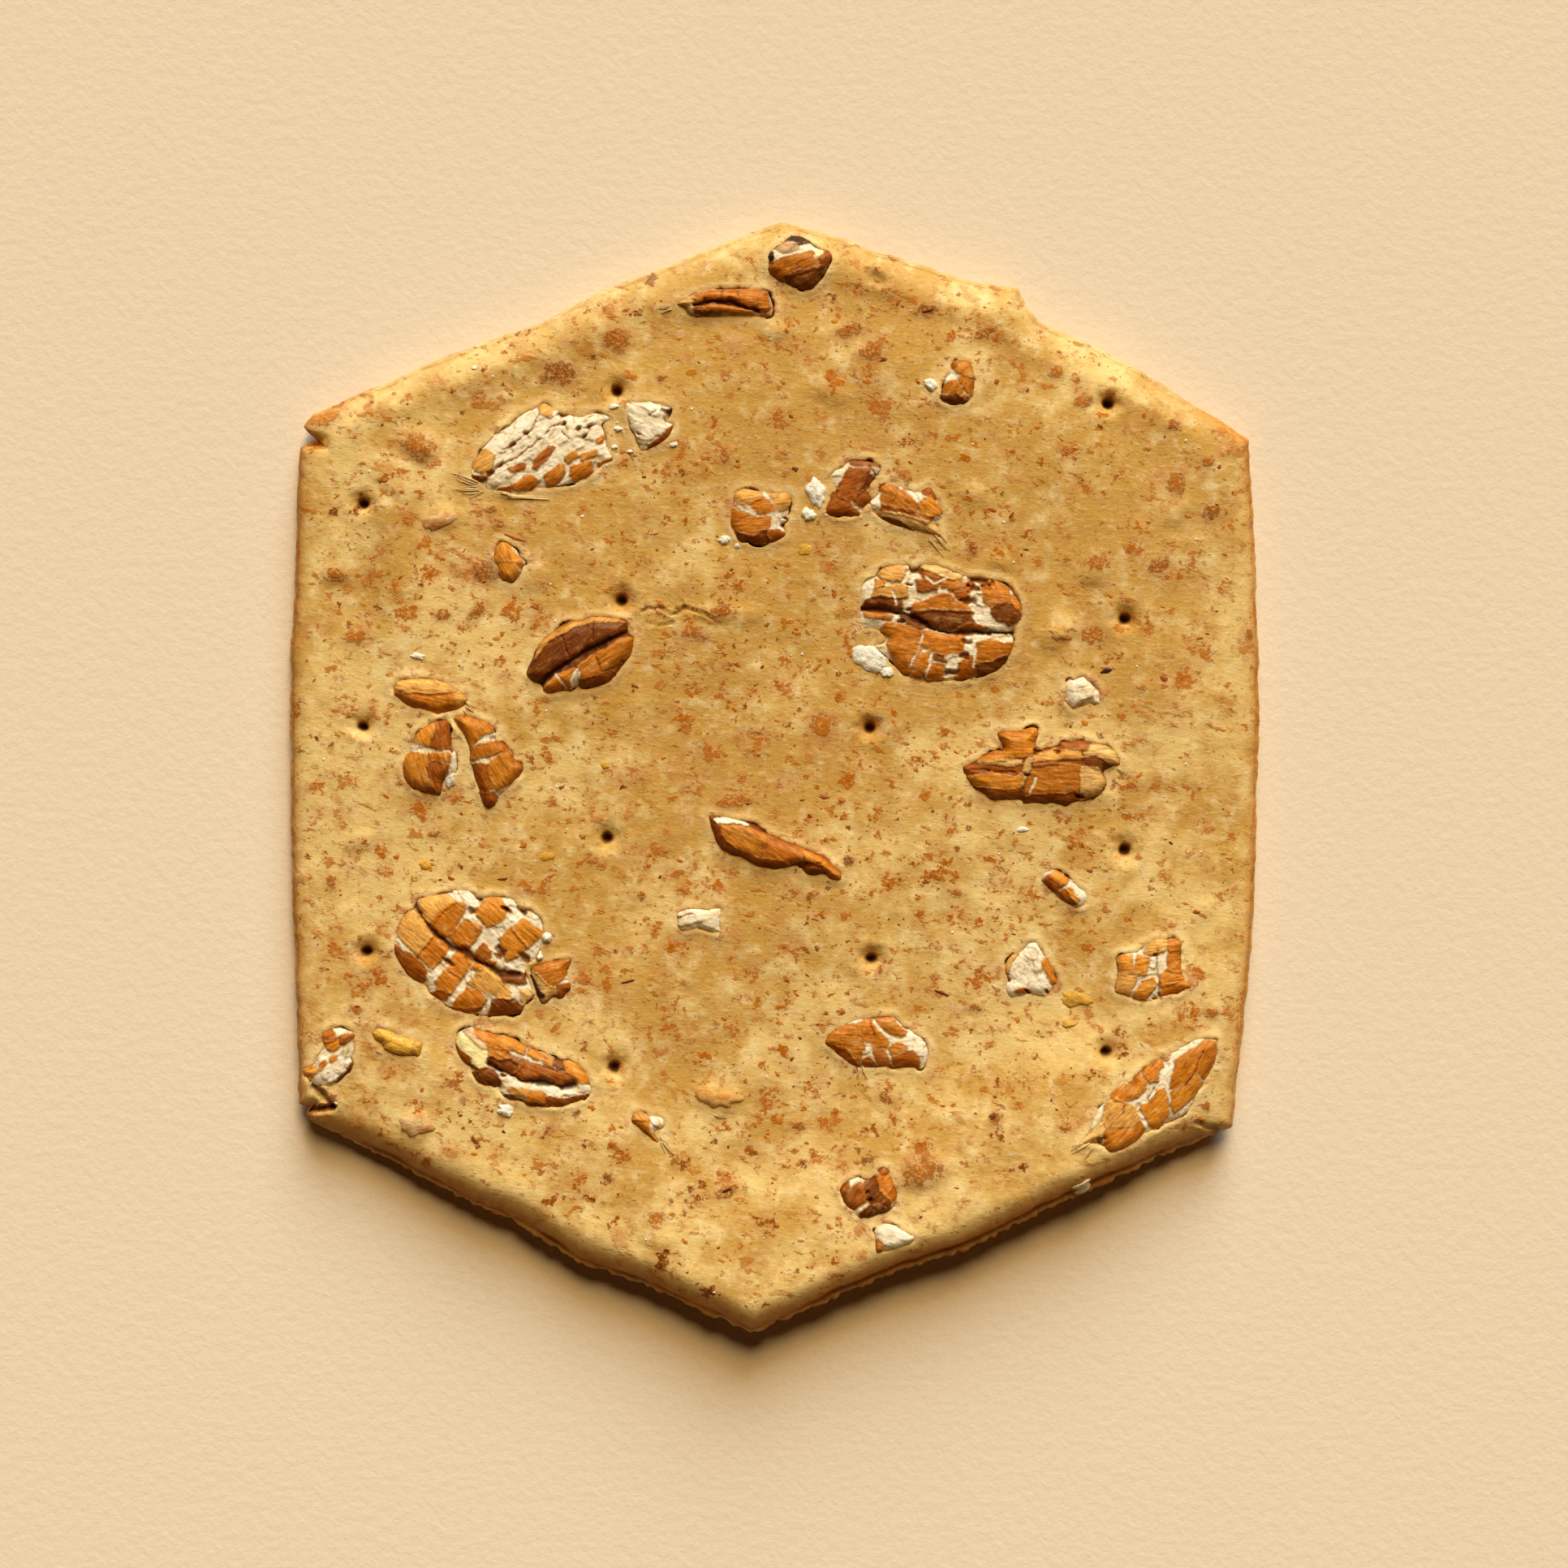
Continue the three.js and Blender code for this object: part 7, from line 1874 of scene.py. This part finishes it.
def makeHairs():
    rng = np.random.default_rng(21)
    strands = []
    for x, y, heading, length, bend, thick in hairs:
        strands.append((x, y, heading, length, bend, thick * 0.85))
        for _ in range(hairLook["siblings"]):
            sx, sy = x + rng.uniform(-0.12, 0.12), y + rng.uniform(-0.12, 0.12)
            facing, size = heading + rng.uniform(-14, 14), length * rng.uniform(0.5, 0.95)
            strands.append((sx, sy, facing, size, bend * rng.uniform(-1, 1), thick * rng.uniform(0.5, 0.8)))
    bits, sides, steps = [], hairLook["sides"], hairLook["steps"]
    for i, (x, y, heading, length, bend, thick) in enumerate(strands):
        t = np.linspace(0, 1, steps)
        way = np.radians(heading + bend * t)
        px = x + np.concatenate([[0], np.cumsum(np.cos(way[:-1]))]) * length / (steps - 1)
        py = y + np.concatenate([[0], np.cumsum(np.sin(way[:-1]))]) * length / (steps - 1)
        ground = np.maximum(surfaceAt(px, py), doughTop(px, py)[0])
        pz = ground + hairLook["lift"] + hairLook["arch"] * np.sin(np.pi * t)
        radiusNow = thick * (1 - 0.75 * t) + 0.006
        around = np.linspace(0, 2 * np.pi, sides, endpoint=False)
        ring = [np.column_stack([px[k] - math.sin(way[k]) * radiusNow[k] * np.cos(around),
                                 py[k] + math.cos(way[k]) * radiusNow[k] * np.cos(around),
                                 pz[k] + radiusNow[k] * np.sin(around)]) for k in range(steps)]
        ids = [np.arange(sides) + k * sides for k in range(steps)]
        tris = [bridged(ids[k], ids[k + 1]) for k in range(steps - 1)]
        ends = len(ids) * sides
        verts = np.vstack([*ring, [(px[0], py[0], pz[0])], [(px[-1], py[-1], pz[-1])]])
        tris.append(np.stack([np.full(sides, ends), ids[0], np.roll(ids[0], -1)], 1))
        tris.append(np.stack([np.full(sides, ends + 1), np.roll(ids[-1], -1), ids[-1]], 1))
        shine = 0.9 + 0.2 * ripple(verts[:, 0], verts[:, 1], 0.3, i)[:, None]
        tint = np.tile(hairLook["tone"], (len(verts), 1)) * shine
        bits.append((verts, np.concatenate(tris), np.clip(tint, 0.02, 0.9)))
    return joined(bits)


def bitFinish(name, rough, relief=0.00008):
    material, tree, shader = newMaterial(name)
    place = placeInMillimetres(tree)
    tint = attributeNode(tree, "tint").outputs["Color"]
    feeds = {"Vector": place, "Scale": 6.0, "Detail": 4.0, "Roughness": 0.7}
    grit = put(tree, "TexNoise", feeds).outputs["Fac"]
    colour = filtered(tree, times(tree, stepNode(tree, grit, 0.62, 0.38), 0.45), tint, (0.6, 0.52, 0.45))
    normal = bumped(tree, times(tree, grit, relief))
    feed(tree, shader, {"Base Color": colour, "Roughness": rough, "Specular IOR Level": 0.25,
                        "Specular Tint": (1.0, 0.82, 0.5, 1), "Normal": normal})
    return material


for name, slotName, finish, (verts, tris, tint) in (
    ("bran_flecks", "bran_brown", bitFinish("bran flecks", 0.5), makeFlecks()),
    ("flour_crumbs", "flour_white", bitFinish("flour crumbs", 0.85), makeCrumbs()),
    ("yellow_bits", "grit_yellow", bitFinish("yellow bits", 0.4), makeBits(yellowBits, 300)),
    ("pale_bits", "straw_tan", bitFinish("pale bits", 0.65), makeBits(paleBits, 330)),
    ("dark_slivers", "bran_dark", bitFinish("dark slivers", 0.4), makeBits(darkBits, 360)),
    ("straw_hairs", "straw_tan", bitFinish("straw hairs", 0.5, 0.00001), makeHairs()),
):
    addPiece(name, verts, tris, finish, tints={"tint": tint})
    print(name, "made:", len(tris), "triangles")

# Floor, light and camera.
studio = {
    "paper": seen(239, 219, 188),
    # lamps: strength, colour, height above the floor, turn and softness in degrees
    "lamps": {
        "high": (1.97, (0.97, 0.7, 0.35), 54, -9, 24),
        "broad": (4.0, (0.78, 0.89, 1.0), 28, -9, 36),
    },
    "fill": (0.022, 0.013, 0.006),
    "lens": 100,
    "sensor": 36,
    "across": 96.6,  # how many millimetres the picture is wide
    "sharp": 2.6,  # height of the cracker's top, where that width holds
    "shift": (0.6, -0.55),
    "floor": 1.5,  # half its width, in metres
    "floorGap": 0.00002,  # in metres
}


def paperFinish():
    material, tree, shader = newMaterial("cream paper")
    place = placeInMillimetres(tree)
    feeds = {"Vector": place, "Scale": 1.6, "Detail": 5.0, "Roughness": 0.65}
    tooth = put(tree, "TexNoise", feeds).outputs["Fac"]
    wide = put(tree, "TexNoise", {"Vector": place, "Scale": 0.05, "Detail": 2.0}).outputs["Fac"]
    shade = times(tree, stepNode(tree, tooth, 0.4, 0.7), 0.08)
    colour = blendNode(tree, shade, studio["paper"], studio["paper"] * 0.8)
    colour = blendNode(tree, times(tree, wide, 0.06), colour, studio["paper"] * 0.9)
    normal = bumped(tree, times(tree, tooth, 0.00005))
    feed(tree, shader, {"Base Color": colour, "Roughness": 0.9, "Normal": normal})
    return material


def makeFloor():
    count = 25
    line = np.linspace(-studio["floor"], studio["floor"], count)
    gx, gy = np.meshgrid(line, line)
    level = floorHeight / 1000 - studio["floorGap"]
    verts = np.column_stack([gx.ravel(), gy.ravel(), np.full(gx.size, level)])
    ids = np.arange(gx.size).reshape(count, count)
    quads = np.stack([ids[:-1, :-1], ids[:-1, 1:], ids[1:, 1:], ids[1:, :-1]], 2).reshape(-1, 4)
    mesh = bpy.data.meshes.new("floor")
    mesh.from_pydata(verts.tolist(), [], quads.tolist())
    mesh.materials.append(paperFinish())
    floor = bpy.data.objects.new("floor", mesh)
    bpy.context.scene.collection.objects.link(floor)
    return floor


makeFloor()
scene = bpy.context.scene
scene.view_settings.view_transform = "Standard"
world = bpy.data.worlds.new("studio")
scene.world = world
world.use_nodes = True
feed(world.node_tree, world.node_tree.nodes["Background"], {"Color": (*studio["fill"], 1), "Strength": 1.0})
for lampName, (strength, tone, height, turn, softness) in studio["lamps"].items():
    lamp = bpy.data.lights.new(lampName, "SUN")
    lamp.energy, lamp.color, lamp.angle = strength, tone, math.radians(softness)
    key = bpy.data.objects.new(lampName, lamp)
    key.rotation_euler = (math.radians(height - 90), 0, math.radians(turn))
    scene.collection.objects.link(key)
view = bpy.data.cameras.new("camera")
view.lens, view.sensor_width = studio["lens"], studio["sensor"]
camera = bpy.data.objects.new("camera", view)
away = studio["across"] * studio["lens"] / studio["sensor"]
aside = middle[:2] + studio["shift"]
camera.location = (aside[0] / 1000, aside[1] / 1000, (floorHeight + studio["sharp"] + away) / 1000)
view.clip_start, view.clip_end = 0.01, 10
scene.collection.objects.link(camera)
scene.camera = camera
print("studio set")
